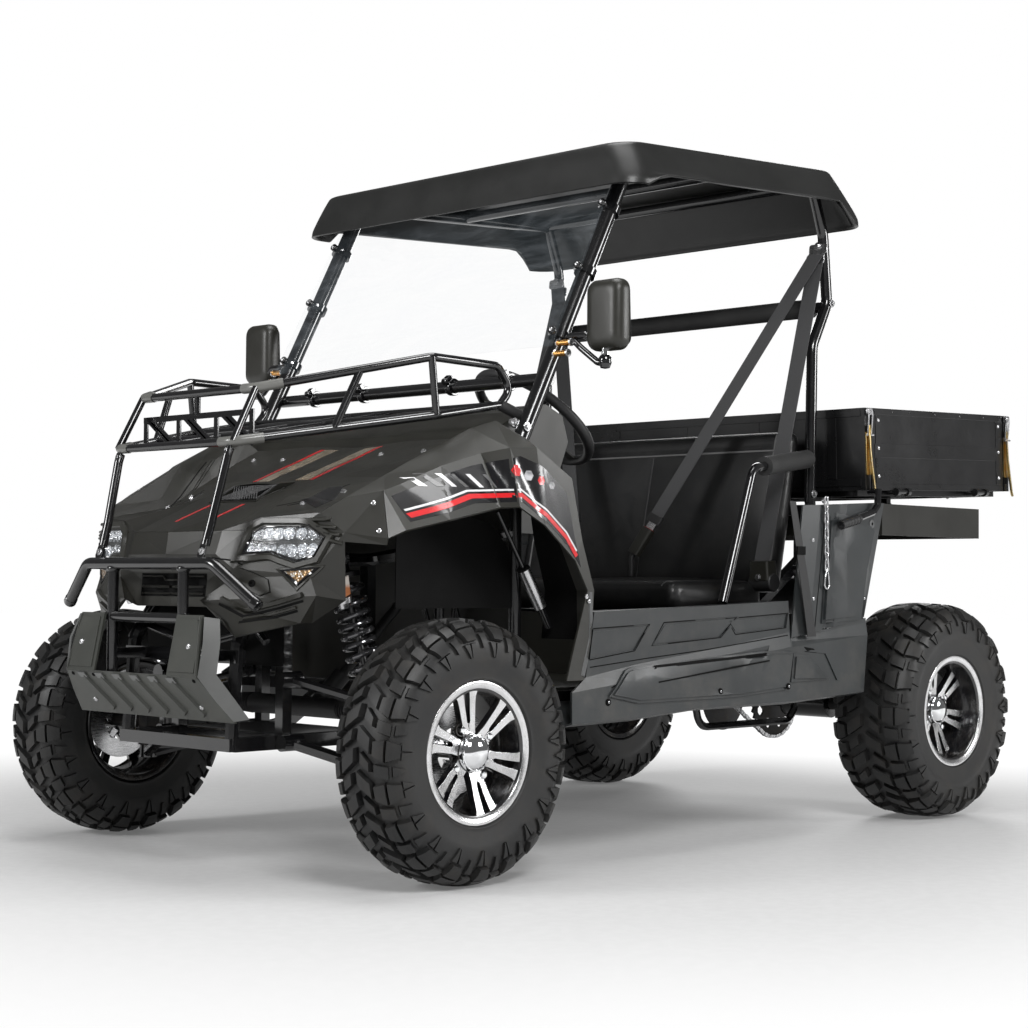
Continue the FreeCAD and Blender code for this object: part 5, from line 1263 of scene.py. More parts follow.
# ---- lamps and nose
LAMP = ((209, 647), (223, 692), (246, 704), (349, 703), (380, 681), (363, 643), (326, 633), (294, 643),
        (273, 651))
SIGNAL = ((300, 614), (372, 620), (337, 588))
LAMP_FACING = Vector((0.936, 0.263, 0.234))
GILLS = (((352, 716), (392, 716)), ((366, 703), (404, 700)), ((380, 690), (412, 685)), ((388, 676), (414, 669)))
HEX_PANEL = ((210, 619), (241, 609), (272, 596), (281, 572), (261, 564), (225, 579))


def build_lamps():
    """Reflectors with two rows of bowls behind clear lenses, bezels, gills and signal lamps."""
    mirror, bezel, frame_mark, signal, dark = range(5)
    form = Form()
    lens, nose = Surface("headlamps"), Surface("front_fascia", "left_front_fender", "hood", "headlamps")
    film(form, lens, AHEAD, shrunk(LAMP, 3), mirror, -12.5, 14.5, 9)
    film(form, lens, AHEAD, ((216, 675), (370, 678), (376, 668), (216, 666)), dark, -4, 9, 9)
    for row, (height, first, last, count) in enumerate(((689, 236, 356, 6), (658, 228, 356, 7))):
        for k in range(count):
            y, z = first + (last - first) * k / (count - 1), height - 4 * row * (k in (3, 4))
            spot = lens.land(*AHEAD.ray((y, z)))
            if spot is None:
                continue
            place = axes(spot[0] - LAMP_FACING * 11.5, LAMP_FACING)
            size = 11.5 if row else 12
            form.lathe([(0, 0.6), (1.5, size * 0.5), (5, size * 0.85), (9.5, size), (9.9, size * 1.08),
                        (5.4, size * 0.95), (1.0, size * 0.6), (-1, 0.6)], 20, mirror, place, closed=True)
            form.lathe([(1, 0), (2.5, 3.4), (5.5, 2.6), (6.5, 0)], 12, mirror, place)
    rib(form, nose, AHEAD, shrunk(LAMP, 1.5), 5, 2.2, bezel, closed=True)
    rib(form, nose, AHEAD, shrunk(LAMP, -9.5), 15, 6.5, frame_mark, closed=True, crown=0.6)
    for line in GILLS:
        rib(form, nose, AHEAD, line, 9.5, 6.5, frame_mark, crown=0.35)
    film(form, nose, AHEAD, shrunk(SIGNAL, 2), signal, 1.6, 2, 8)
    rib(form, nose, AHEAD, SIGNAL, 6, 3.0, bezel, closed=True)
    rib(form, nose, AHEAD, shrunk(SIGNAL, -8), 7, 2.4, frame_mark, closed=True, crown=0.5)
    form.twin()
    form.make("lamp_details", (lamp_reflector, gloss_trim, fender_plastic, amber_lens, shadow_plastic),
              bevel=0.4, crease=40)


def build_nose():
    """Panel lines, recesses, lip grooves, key lock and screws of the fascia and the hood's vent; the recesses,
    grooves and panel lines are dark sheets and strips of painted shade.
    """
    plastic, dark, zinc, mesh, gloss = range(5)
    form = Form()
    nose, hood = Surface("front_fascia"), Surface("hood")
    # Painted shade: a dark sheet fills the fascia's centre recess; the thin dark strips below stand for the
    # shade in the lip grooves and panel lines.
    film(form, nose, AHEAD, ((-112, 608), (112, 608), (112, 560), (-112, 560)), dark, 0.4, 0.5, 12)
    rib(form, nose, AHEAD, ((-106, 602), (-30, 602), (-20, 594), (20, 594), (30, 602), (106, 602)), 4, 2.6,
        plastic)
    rib(form, nose, AHEAD, ((-106, 580), (106, 580)), 7, 3.0, plastic)
    rib(form, nose, AHEAD, ((-106, 566), (106, 566)), 5, 2.6, plastic)
    rib(form, nose, AHEAD, ((172, 547), (228, 523), (300, 540), (352, 555)), 6, 0.7, dark)
    rib(form, nose, AHEAD, ((226, 511), (286, 521), (338, 535)), 6, 0.7, dark)
    rib(form, nose, AHEAD, ((178, 557), (229, 535), (300, 552), (350, 567)), 13, 7, plastic, crown=0.55)
    rib(form, nose, AHEAD, ((232, 517), (288, 529), (336, 542)), 8, 5, plastic, crown=0.5)
    film(form, nose, AHEAD, HEX_PANEL, plastic, 3.2, 0.6, 12)
    rib(form, nose, AHEAD, HEX_PANEL, 3, 0.6, dark, closed=True)
    fasten(form, nose, AHEAD, (240, 588), 8, dark, lift=3)
    rib(form, nose, AHEAD, ((136, 640), (196, 634), (214, 626)), 4, 0.6, dark)
    for at in ((442, 750), (470, 694)):
        spot = Surface("front_fascia", "left_front_fender").land(*AHEAD.ray(at))
        if spot:
            form.button(spot[0], spot[1], 5.5, zinc)
    # Painted shade: dark lines for the hood's grooves.
    for line in (((1024, 196), (912, 235), (872, 250)), ((1010, 214), (905, 252)),
                 ((960, 300), (880, 330), (760, 392))):
        rib(form, hood, ABOVE, line, 4, 0.6, dark)
    # Painted shade: a flat near-black patch for the shaded recess beside the hood's two side screws.
    film(form, hood, ABOVE, ((968, 205), (900, 214), (884, 244), (924, 266), (992, 282)), gloss, 0.7, 0.6, 12)
    for line in (((905, 292), (740, 386)), ((893, 303), (745, 391))):
        rib(form, hood, ABOVE, line, 6, 2.4, plastic, crown=0.5)
    for at in ((984, 232), (900, 262), (700, 290), (712, 168)):
        fasten(form, hood, ABOVE, at, 5, zinc, "bolt")
    rib(form, hood, ABOVE, ((984, -80), (984, 80)), 7, 2.2, plastic)
    rib(form, hood, ABOVE, ((906, -80), (906, 80)), 7, 2.2, plastic)
    rib(form, hood, ABOVE, ((906, 78), (984, 78)), 7, 2.2, plastic)
    form.twin()
    add_scoop(form, plastic, dark, mesh)
    form.make("nose_details", (moulded_plastic, shadow_plastic, bright_metal, dark_mesh, gloss_trim), bevel=0.3,
              crease=40, weld=False)


def add_scoop(form, plastic, dark, mesh):
    """Low scoop over the hood's vent, its mesh in a window that looks ahead."""
    cowl = [[(982, y, 765 + 1.5 * share), (924, y * 0.93, 799 + 3 * share), (914, y * 0.91, 802 + 3 * share),
             (842, y * 0.8, 810)] for y, share in ((-78, 0), (-40, 1), (0, 1.3), (40, 1), (78, 0))]
    form.grid([row[1:] for row in cowl], plastic)
    form.grid([[p - Vector((0, 0, 3)) for p in map(Vector, row[1:])] for row in reversed(cowl)], plastic)
    for y in (-78, 78):
        side = [Vector((986, y, 758)), Vector((924, y * 0.93, 799)), Vector((914, y * 0.91, 802)),
                Vector((842, y * 0.8, 810)), Vector((842, y * 0.8, 800)), Vector((920, y * 0.93, 776))]
        inner = [p - Vector((0, math.copysign(4, y), 0)) for p in side]
        walls = [(i, (i + 1) % 6, 6 + (i + 1) % 6, 6 + i) for i in range(6)]
        form.add(side + inner, [range(6), range(11, 5, -1), *walls], plastic)
    form.prism([(-30, -70), (26, -66), (26, 66), (-30, 70)], 1.5, dark,
               axes((944, 0, 776), (0.5, 0, 0.86), (1, 0, 0)))
    place = axes((951, 0, 783), (0.5, 0, 0.86), (1, 0, 0))
    wide, high_half = 72.0, 31.0
    for hand in (1, -1):
        for k in range(-13, 14):
            a, b = (Vector((u, 8.0 * k + hand * u, 0)) for u in (-high_half, high_half))
            if max(abs(a.y), abs(b.y)) <= wide:
                bar(form, place @ a, place @ b, 2.2, 1.8, mesh, (0.5, 0, 0.86))
    for y in (-wide, wide):
        bar(form, place @ Vector((-high_half, y, 0)), place @ Vector((high_half, y, 0)), 3, 3, mesh)


# ---- bumper and guard
def build_guard():
    """Caps of the bumper bar, weld beads, and the guard plate's ribs, cheeks and bolts."""
    tube_mark, plate, bright, zinc, dark = range(5)
    form = Form()
    plates = Surface("skid_plate")
    end = Vector((1173, 326, 544))
    run = (end - Vector((1201, 216, 628))).normalized()
    form.lathe([(-16, 12.7), (-15, 13.6), (-1, 13.6), (1.5, 12.6), (3.2, 9), (3.6, 0)], 20, tube_mark,
               axes(end, run))
    for z in (390, 616):
        form.lathe([(-5, 11.6), (-2, 14), (2, 14.6), (5, 13)], 18, tube_mark, axes((1201, 122, z), (0, 0, 1)),
                   closed=True)
    cheek = ((136, 412), (216, 412), (214, 470), (200, 516), (136, 516))
    film(form, plates, AHEAD, cheek, plate, 2.6, 0.6, 16)
    rib(form, plates, AHEAD, ((222, 408), (221, 470), (205, 522)), 5, 3.4, plate, crown=0.5)
    rim = [(1219, 216, 522), (1234, 232, 470), (1243, 228, 404), (1214, 245, 360), (1180, 264, 316)]
    turn_back = [(-30, 12, -4), (-34, 12, 0), (-38, 12, 4), (-36, 12, 6), (-30, 12, 4)]
    outer = [Vector(p) for p in rim]
    back = [p + Vector(d) for p, d in zip(outer, turn_back)]
    form.grid([[a, b, b + Vector((0, -3, 0)), a + Vector((-3, -3, 0))] for a, b in zip(outer, back)], bright,
              ring=True, caps=True)
    # dark inner sheet behind the bumper, painted shade for the dark space there, and the stays behind it
    form.prism([(-232, 420), (232, 420), (236, 560), (150, 610), (-150, 610), (-236, 560)], 3, dark,
               Matrix(((0, 0, 1, 1030), (1, 0, 0, 0), (0, 1, 0, 0), (0, 0, 0, 1))))
    for start, stop in (((1085, 96, 585), (1075, 232, 470)), ((1070, 60, 470), (1060, 235, 505))):
        form.tube([start, stop], 9, 12, tube_mark)
    fasten(form, plates, AHEAD, (186, 463), 6.5, zinc, "button", 2.6)
    fasten(form, plates, AHEAD, (184, 341), 6, zinc, "button")
    for y in (135, 210):
        fasten(form, plates, AHEAD, (y, 396), 4.5, dark, "button")
    form.twin()
    for k in range(6):
        y = -172 + 62 * k
        rib(form, plates, AHEAD, ((y, 392), (y + 44, 326)), 19, 5.0, plate, crown=0.6)
        film(form, plates, AHEAD, ((y - 15, 401), (y + 9, 401), (y + 14, 391), (y - 10, 391)), bright, 3.8, 0.6,
             14)
    form.make("guard_details", (gloss_tube, olive_plate, skid_edge, bright_metal, shadow_plastic), bevel=0.4,
              crease=40)


# ---- cab
def hoop_clamp(form, at, along, radius, outward, mark=0, zinc=1):
    """Two-piece tube clamp with its bolt ears and knob."""
    place = axes(at, along, outward)
    form.lathe([(-8, radius + 0.4), (-8, radius + 4.6), (-6, radius + 5.6), (6, radius + 5.6),
                (8, radius + 4.6), (8, radius + 0.4)], 28, mark, place, closed=True)
    form.box((radius + 3, -5, -7), (radius + 15, 5, 7), mark, place)
    ear = place @ Vector((radius + 9, 0, 0))
    side = (place.to_3x3() @ Vector((0, 1, 0))).normalized()
    form.tube([ear - side * 12, ear + side * 12], 3.2, 10, zinc)
    return form.lathe([(9, 0), (9, 6.2), (11, 8.4), (15, 8.8), (18, 7.4), (19, 0)], 12, mark, axes(ear, side))


COLUMN_TOP = Vector((330, 230, 938))
COLUMN_RUN = (COLUMN_TOP - Vector((620, 150, 560))).normalized()


def build_controls():
    """Column pod with its gauge ring, the dashboard's gauge and the pedals."""
    rubber, plastic, ring, glass, tube_mark = range(5)
    form = Form()
    pod = axes(COLUMN_TOP - COLUMN_RUN * 50, COLUMN_RUN)
    form.lathe([(-26, 22), (-20, 38), (-8, 46), (14, 47), (34, 40), (46, 29), (47, 16), (47, 14), (-26, 14)],
               36, plastic, pod, closed=True)
    form.lathe([(-24, 28), (-24, 38), (-12, 46.6), (-4, 47.2), (-4, 45), (-16, 38)], 36, ring, pod, closed=True)
    dial = axes(Vector((470, 214, 946)), (-0.75, 0.12, 0.64), (0, 0, 1))
    form.lathe([(-46, 10), (-40, 30), (-8, 44), (0, 45), (3, 43), (2.6, 39), (0, 37), (0, 0)], 36, plastic,
               dial)
    form.lathe([(0.6, 35), (0.6, 38.6), (2.4, 38.2), (2.4, 35.4)], 36, ring, dial, closed=True)
    form.lathe([(1, 0), (1, 35), (1.6, 35), (1.6, 0)], 36, glass, dial)
    for k in range(12):
        turn = dial @ Matrix.Rotation(math.radians(30 * k), 4, "Z")
        form.box((27, -0.8, 1.6), (33, 0.8, 2.2), ring, turn)
    # pedals on their levers
    for y, wide in ((140, 34), (240, 26)):
        form.tube(rounded([(545, y, 640), (560, y, 560), (528, y, 470)], 24), 6, 10, tube_mark)
        pad = axes((520, y, 462), (-0.8, 0, 0.6), (0, 0, 1))
        form.prism(panel_outline(-26, -wide, 26, wide, 8), 8, rubber, pad)
        for k in range(4):
            form.box((-20 + 12 * k, -wide * 0.8, 8), (-15 + 12 * k, wide * 0.8, 10), rubber, pad)
    form.make("cab_controls", (grip_rubber, moulded_plastic, gauge_ring, gauge_glass, gloss_tube), bevel=0.5,
              crease=40)


def build_wheel_grip():
    """Grip, spokes and cap of the steering wheel, which turn with it."""
    grip, spoke, cap = range(3)
    form = Form()
    place = axes(middle("steering_wheel"), COLUMN_RUN)
    ring_radius = 150.0
    rows = []
    for k in range(72):
        a = 2 * math.pi * k / 72
        bulge = 13.2 + 0.8 * math.cos(3 * a)
        row = []
        for j in range(14):
            b = 2 * math.pi * j / 14
            out = ring_radius + bulge * math.cos(b) * 0.94
            if math.cos(b) < -0.4 and k % 6 in (1, 2, 3, 4):
                out += 1.2
            row.append((out * math.cos(a), out * math.sin(a), bulge * math.sin(b) * 0.94))
        rows.append(row)
    form.grid(rows, grip, ring=True, loop=True, place=place)
    for k in range(3):
        turn = place @ Matrix.Rotation(math.radians(180 + 120 * k), 4, "Z")
        blade = [(20, -15), (60, -11), (138, -14), (138, 14), (60, 11), (20, 15)]
        form.prism(blade, 6, spoke, turn @ Matrix.Translation((0, 0, -8)))
        form.prism([(40, -4), (110, -4), (110, 4), (40, 4)], 2, grip, turn @ Matrix.Translation((0, 0, -2)))
    form.lathe([(-20, 12), (-18, 30), (-4, 36), (4, 36), (10, 32), (13, 22), (14.5, 0)], 36, spoke, place)
    form.lathe([(12, 21), (14, 20.5), (14.8, 18.5), (14, 17)], 36, cap, place)
    form.make("wheel_grip", (grip_rubber, moulded_plastic, bright_metal), bevel=0.5, crease=42,
              replaces=("steering_wheel",), slot="soft_rubber", body=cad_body("steering_wheel"))


def build_cage_trim():
    """Clamps on the pillars and the cross tube, brass spacers, mirror stems and glass, and bolts at the
    pillar's foot and on the rear hoop.
    """
    dark, zinc, brass, glass, bright, rubber = range(6)
    form = Form()
    foot, head = Vector((574, 456, 897)), Vector((222, 456, 1559))
    run = (head - foot).normalized()
    for height in (1127, 1279, 1429):
        at = foot + run * ((height - foot.z) / run.z)
        place = axes(at, run, (1, 0, 0.5))
        out = (place.to_3x3() @ Vector((1, 0, 0))).normalized()
        form.tube([at + out * 16 + Vector((0, -20, 0)), at + out * 16 + Vector((0, 14, 0))], 3.4, 10, zinc)
        form.lathe([(0, 0), (0, 8), (3, 9.5), (10, 9.5), (12, 8), (12, 0)], 16, dark,
                   axes(at + out * 22, out))
        form.button(at + out * 34, out, 5, zinc)
    for y in (150, 330):
        hoop_clamp(form, (479, y, 1036), (0, 1, 0), 14.2, (0.6, 0, 0.8), dark, zinc)
    # spacers beside the mirror joint
    for z, x in ((1112, 470), (1088, 480)):
        start = Vector((x, 470, z))
        form.tube([start, start + Vector((0, 34, 0))], 6.5, 16, brass)
        form.lathe([(0, 0), (0, 9), (4, 8.6), (5, 4), (5, 0)], 16, zinc,
                   axes(start + Vector((0, 34, 0)), (0, 1, 0)))
        form.lathe([(-3, 4), (-3, 10), (0, 10), (0, 4)], 16, zinc, axes(start, (0, 1, 0)), closed=True)
    # mirror stem, ball socket and glass
    form.lathe([(-34, 0), (-34, 11), (-26, 14), (-16, 14), (-10, 9.5), (-10, 0)], 24, dark,
               axes((450, 586, 1090), (0, 0, 1)))
    form.tube([(450, 586, 1058), (450, 586, 1096)], 8, 16, bright)
    form.tube(rounded([(452, 486, 1127), (455, 520, 1100), (452, 566, 1066), (450, 586, 1062)], 14), 7.5, 14,
              dark)
    form.lathe([(-14, 0), (-12, 10), (0, 14.5), (12, 10), (14, 0)], 20, dark, axes((450, 586, 1064), (0, 0, 1)))
    pane = axes((422, 586, 1167), (-1, 0, 0.04), (0, 0, 1))
    form.prism(panel_outline(-62, -42, 62, 42, 14), 2.5, glass, pane)
    form.prism(panel_outline(-66, -46, 66, 46, 16), 1.2, rubber, pane)
    # bolts at the pillar's foot and on the rear hoop
    form.bolt((573, 475, 925), (0, 1, 0), 7, zinc)
    form.bolt((-545, 471, 1306), (0, 1, 0), 7, zinc)
    form.bolt((-470, 471, 820), (0, 1, 0), 7, zinc)
    form.twin()
    form.make("cage_trim", (gloss_trim, bright_metal, brass_spacer, mirror_glass, chrome, grip_rubber),
              bevel=0.4, crease=42)


MIRROR_STEPS = (
    # x of one ring of the housing, how far it is drawn in
    (426, 3), (427.5, 0.8), (431, 0), (444, 0), (452, 1.6), (458.5, 5), (463, 10.5), (465.4, 18), (466, 26),
)


def build_mirror_housings():
    """Rounded shells of both mirrors and the upper arms that carry them."""
    form = Form()
    face = ((-50, -76.5), (50, -76.5), (50, 76.5), (-50, 76.5))
    form.grid([[(x, 586 + y, 1166.5 + z) for y, z in closed_round(shrunk(face, inset), 24 - inset * 0.3, 8)]
               for x, inset in MIRROR_STEPS], ring=True, caps=True)
    form.tube(rounded([(452, 474, 1127), (452, 530, 1127), (452, 560, 1108)], 14), 8, 14, 1)
    form.twin()
    form.make("mirror_housings", (moulded_plastic, gloss_tube), crease=50, replaces=("mirrors",),
              slot="black_plastic")


def build_canopy_trim():
    """Pressed ribs and screws on the canopy's crown."""
    form = Form()
    roof = Surface("roof_canopy")
    for y in (-300, -100, 100, 300):
        rib(form, roof, OVERHEAD, ((190, y), (-380, y)), 26, 2.6, 0, crown=0.55, step=30)
    for x, y in ((250, 380), (-60, 400), (-420, 380), (250, 120), (-430, 120)):
        for hand in (1, -1):
            fasten(form, roof, OVERHEAD, (x, hand * y), 6.5, 1, "button")
    form.make("canopy_trim", (canopy_plastic, bright_metal), bevel=0.5, crease=40, weld=False)


# half width, overhang in front and behind, drop from the crown and extra drop at the rear
CANOPY_LEVELS = ((560, 22, 66, 100, 40), (556.8, 17, 58, 78, 34), (524.1, 4, 12, 20, 4), (514, -10, -8, 2, 0),
                 (479.5, -44, -14, 0, 0))
CANOPY_FRONT, CANOPY_REAR, CANOPY_CROWN, CANOPY_RISE = 316, -510, 1578, 52
CANOPY_WALL = 7.0
# inset from the edge and rise of the crown there
CANOPY_SWELL = ((330, 3.0), (240, 2.6), (150, 1.8), (70, 0.8), (25, 0.2))
CANOPY_ARCH = ((250, 1398), (242, 1494), (220, 1506), (-450, 1546), (-482, 1530), (-520, 1450))


def canopy_ring(level, inset=0.0):
    """Outline of the canopy at one level, its corners rounded and its sides lifted over the doors."""
    half, ahead, behind, drop, rear_drop = level
    x1, x2, half = CANOPY_FRONT + ahead - inset, CANOPY_REAR - behind + inset, half - inset
    rise = CANOPY_RISE / (CANOPY_FRONT - CANOPY_REAR)
    top = CANOPY_CROWN + (CANOPY_FRONT - x1) * rise - drop
    tilt = rise - rear_drop / (x1 - x2)
    outline = closed_round(((x1, -half), (x1, half), (x2, half), (x2, -half)), 62, 8)
    ring = []
    for i, (a, b) in enumerate(zip(outline, outline[1:] + outline[:1])):
        a, b = Vector(a), Vector(b)
        pieces = 1 if i % 9 else 14
        for k in range(pieces):
            x, y = a.lerp(b, k / pieces)
            z = top + (x1 - x) * tilt
            for (start, low_z), (end, high_z) in zip(CANOPY_ARCH, CANOPY_ARCH[1:]):
                if end <= x < start:
                    z = max(z, low_z + (high_z - low_z) * (start - x) / (start - end))
            ring.append(Vector((x, y, z)))
    return ring


def build_canopy():
    """One curved sheet: flared skirt, rolled lip, rounded corners and a gently crowned top."""
    def lifted(level, inset, lift):
        return [p + Vector((0, 0, lift)) for p in canopy_ring(level, inset)]

    levels = smooth_line(CANOPY_LEVELS, 5)
    rows = [lifted(levels[-1], inset, swell) for inset, swell in CANOPY_SWELL]
    rows += [canopy_ring(level) for level in reversed(levels)]
    rows += [lifted(levels[0], inset, -2) for inset in (2, 5)]
    rows += [lifted(level, CANOPY_WALL, -CANOPY_WALL * k / 20) for k, level in enumerate(levels)]
    rows += [lifted(levels[-1], inset, swell - CANOPY_WALL) for inset, swell in reversed(CANOPY_SWELL)]
    form = Form().grid(rows, ring=True, caps=True)
    form.make("canopy_shell", canopy_plastic, crease=50, replaces=("roof_canopy",), slot="black_plastic")


# ---- seats
def pad_blank(corners, half, radius, inset):
    """A closed pad: its side outline drawn in from X and Z, run across with rounded ends."""
    profile = shrunk(corners, inset)
    reach = half - inset
    form = Form()
    rows = []
    for out, inward in ((0, 20), (3, 10), (9, 3.5), (20, 0)):
        rows.append((-reach + out, inward))
    rows += [(-reach + (2 * reach) * k / 14, 0) for k in range(1, 14)]
    rows += [(reach - out, inward) for out, inward in ((20, 0), (9, 3.5), (3, 10), (0, 20))]
    form.grid([[(x, y, z) for x, z in closed_round(shrunk(profile, inward), radius)] for y, inward in rows],
              ring=True, caps=True)
    return form


def swell_cover(piece, held, look, drop):
    """Remesh a blank and let cloth pressure fill it, with the points on its seams held."""
    cell = look.weave
    remesh = piece.modifiers.new("cells", "REMESH")
    remesh.mode, remesh.voxel_size = "VOXEL", cell
    graph = bpy.context.evaluated_depsgraph_get()
    piece.data = bpy.data.meshes.new_from_object(piece.evaluated_get(graph))
    piece.modifiers.clear()
    start = [v.co.copy() for v in piece.data.vertices]
    seam = piece.vertex_groups.new(name="seam")
    for vertex in piece.data.vertices:
        grip = held(vertex.co / MM)
        if grip > 0:
            seam.add([vertex.index], grip, "REPLACE")
    cloth = piece.modifiers.new("cover", "CLOTH")
    settings = cloth.settings
    settings.quality, settings.mass = 4, 0.25
    settings.tension_stiffness = settings.compression_stiffness = 12.0
    settings.shear_stiffness, settings.bending_stiffness = 4.0, 0.6
    settings.use_pressure, settings.uniform_pressure_force = True, look.pressure
    settings.effector_weights.gravity = 0.0
    settings.vertex_group_mass = "seam"
    cloth.collision_settings.use_collision = False
    scene = bpy.context.scene
    for step in range(1, 21):
        scene.frame_set(step)
    graph = bpy.context.evaluated_depsgraph_get()
    swollen = bpy.data.meshes.new_from_object(piece.evaluated_get(graph))
    piece.modifiers.clear()
    for vertex, first in zip(swollen.vertices, start):
        move = vertex.co - first
        if move.length > look.swell:
            move *= look.swell / move.length
        vertex.co = first + move
        vertex.co.z = max(vertex.co.z, drop * MM)
    piece.data = swollen
    scene.frame_set(1)
    piece.vertex_groups.clear()
    piece.data.shade_smooth()


def seam_grip(distance, reach=4.5):
    """How firmly a seam holds a point, by its distance."""
    return max(0.0, 1.0 - distance / reach)


CUSHION = ((-325, 522), (35, 522), (35, 606), (-325, 606))
BACKREST = ((-401, 566), (-325, 566), (-417, 984), (-491, 984))
BACK_LEAN = Vector((-92, 0, 418)).normalized()


def welt(form, skin, points, aim, radius, mark=0, lift=0.0):
    """Piping laid along a line on a finished cover."""
    spots = []
    for point in points:
        spot = skin.land(Vector(point) - Vector(aim) * 120, Vector(aim))
        if spot:
            spots.append(spot[0] + spot[1] * lift)
    smooth = [spots[0]]
    for a, b, c in zip(spots, spots[1:], spots[2:]):
        smooth.append((a + b * 2 + c) / 4)
    smooth.append(spots[-1])
    form.tube(smooth, radius, 8, mark)


def build_seats(look):
    """Bench cushion and backrest with swollen covers, seams and grey piping."""
    cushion = pad_blank(CUSHION, 436, 26, 7).make("bench_cushion", black_vinyl, crease=180)
    back = pad_blank(BACKREST, 436, 26, 7).make("bench_backrest", black_vinyl, crease=180)

    def cushion_held(p):
        if p.z < 534:
            return 1.0
        seams = [abs(abs(p.y) - 388), abs(p.y) if p.x < -8 else 99]
        if p.z > 560:
            seams += [abs(p.x + 8), abs(p.x + 300)]
        return max(seam_grip(d) for d in seams)

    def back_held(p):
        along = (p - Vector((-401, 0, 566))).dot(BACK_LEAN)
        depth = (p - Vector((-363, 0, 566))).dot(BACK_LEAN.cross(Vector((0, 1, 0))))
        if depth > 22:
            return 1.0
        seams = [abs(abs(p.y) - 392), abs(along - 372), abs(p.y) if along < 372 else 99, abs(along - 30)]
        return max(seam_grip(d) for d in seams)

    swell_cover(cushion, cushion_held, look, 522)
    swell_cover(back, back_held, look, 560)
    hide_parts("seat_cushion")
    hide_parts("seat_backrest")
    dark, pale = 0, 1
    form = Form()
    top, front = Surface(cushion), Surface(back)
    steps = [k / 60 for k in range(61)]
    down, rear = (0, 0, -1), (-0.97, 0, -0.21)
    for y in (-388, 388):
        welt(form, top, [(-312 + 335 * s, y, 600) for s in steps], down, 2.6, dark)
    welt(form, top, [(-8, -386 + 772 * s, 600) for s in steps], down, 2.0, dark)
    welt(form, top, [(-300, -386 + 772 * s, 600) for s in steps], down, 2.0, dark)
    welt(form, top, [(-298 + 288 * s, 0, 600) for s in steps], down, 1.8, dark)
    foot = Vector((-325, 0, 566))
    # Painted highlight: the welts on the backrest's sides and upper seam take the pale piping, the others stay
    # dark.
    for y in (-392, 392):
        welt(form, front, [foot + BACK_LEAN * (14 + 400 * s) + Vector((0, y, 0)) for s in steps], rear, 2.8,
             pale, 0.6)
    welt(form, front, [foot + BACK_LEAN * 372 + Vector((0, -392 + 784 * s, 0)) for s in steps], rear, 2.8, pale,
         0.6)
    welt(form, front, [foot + BACK_LEAN * 30 + Vector((0, -392 + 784 * s, 0)) for s in steps], rear, 2.2, dark)
    welt(form, front, [foot + BACK_LEAN * (30 + 340 * s) for s in steps], rear, 1.8, dark)
    form.make("seat_piping", (grip_rubber, piping_with_painted_highlight), crease=60, weld=False)


# ---- belts
BELTS = (
    # upper end, lower end, half width along Y
    ((-516.7, 452, 1440), (-250, 142, 760), 24),
    ((-519, 442, 1416), (-292, 446, 650), 23),
)


def strap(form, start, end, half, mark):
    """Flat webbing between two points with rolled edges and a slight curl."""
    start, end = Vector(start), Vector(end)
    rows = []
    for k in range(25):
        s = k / 24
        centre = start.lerp(end, s)
        curl = 1.1 * math.sin(7 * s + half)
        row = []
        for share in (-1, -0.94, -0.5, 0, 0.5, 0.94, 1):
            row.append(centre + Vector((1.2 + curl * share * 0.5, half * share, 0)))
        for share in (1, 0.94, 0.5, 0, -0.5, -0.94, -1):
            row.append(centre + Vector((-1.2 + curl * share * 0.5, half * share, 0)))
        rows.append(row)
    form.grid(rows, mark, ring=True, caps=True)


def build_belts():
    """Webbing of both belts with anchors, buckles, stalks and retractors."""
    web, plastic, metal, red, dark = range(5)
    form = Form()
    for start, end, half in BELTS:
        strap(form, Vector(start) + Vector((1.5, 0, 0)), Vector(end) + Vector((1.5, 0, 0)), half - 0.4, web)
    # buckle on its stalk beside the tunnel
    tip = Vector((-250, 142, 760))
    run = (tip - Vector(BELTS[0][0])).normalized()
    tongue = axes(tip - run * 6, run, (1, 0, 0.3))
    form.prism(panel_outline(-5, -24, 5, 24, 3), 22, dark, tongue)
    form.prism(panel_outline(-1.3, -13, 1.3, 13, 1), 46, metal, tongue)
    lower = axes(tip + run * 34, run, (1, 0, 0.3))
    form.prism(panel_outline(-11, -18, 11, 18, 6), 74, plastic, lower, taper=0.08)
    form.prism(panel_outline(-8, -13, 8, 13, 4), 2.2, red,
               axes(tip + run * 32.6, run, (1, 0, 0.3)))
    bottom = tip + run * 106
    path = [bottom - run * 4, bottom + run * 14, Vector((bottom.x + 2, bottom.y - 8, 612))]
    form.tube(rounded(path, 14), 6, 12, dark)
    # retractor and its strap guide beside the seat base
    low_end = Vector(BELTS[1][1])
    place = axes(low_end + Vector((-4, 0, -46)), (0.06, 0, 1))
    form.prism(panel_outline(-22, -31, 22, 31, 9), 46, plastic, place, taper=0.1)
    form.lathe([(-33, 0), (-33, 20), (-30, 23), (30, 23), (33, 20), (33, 0)], 28, dark,
               axes(low_end + Vector((-6, 0, -52)), (0, 1, 0)))
    form.bolt(low_end + Vector((18, 0, -40)), (1, 0, 0.1), 6, metal)
    # upper anchor plates on the hoop
    for point in (Vector(BELTS[0][0]), Vector(BELTS[1][0])):
        spot = axes(point + Vector((2.8, 0, 0)), (1, 0, 0.1))
        form.prism(panel_outline(-11, -27, 15, 27, 7), 3, metal, spot)
    form.bolt(Vector(BELTS[0][0]) + Vector((6, 0, 10)), (1, 0, 0.1), 7, metal)
    form.twin()
    form.make("belt_hardware", (belt_webbing, moulded_plastic, bright_metal, red_lens, grip_rubber), bevel=0.4,
              crease=40, weld=False, replaces=("seat_belts",), slot="webbing")


# ---- cargo bed
BED = Matrix.Translation((-540, 0, 815)) @ Matrix.Rotation(math.radians(1.9), 4, "Y")


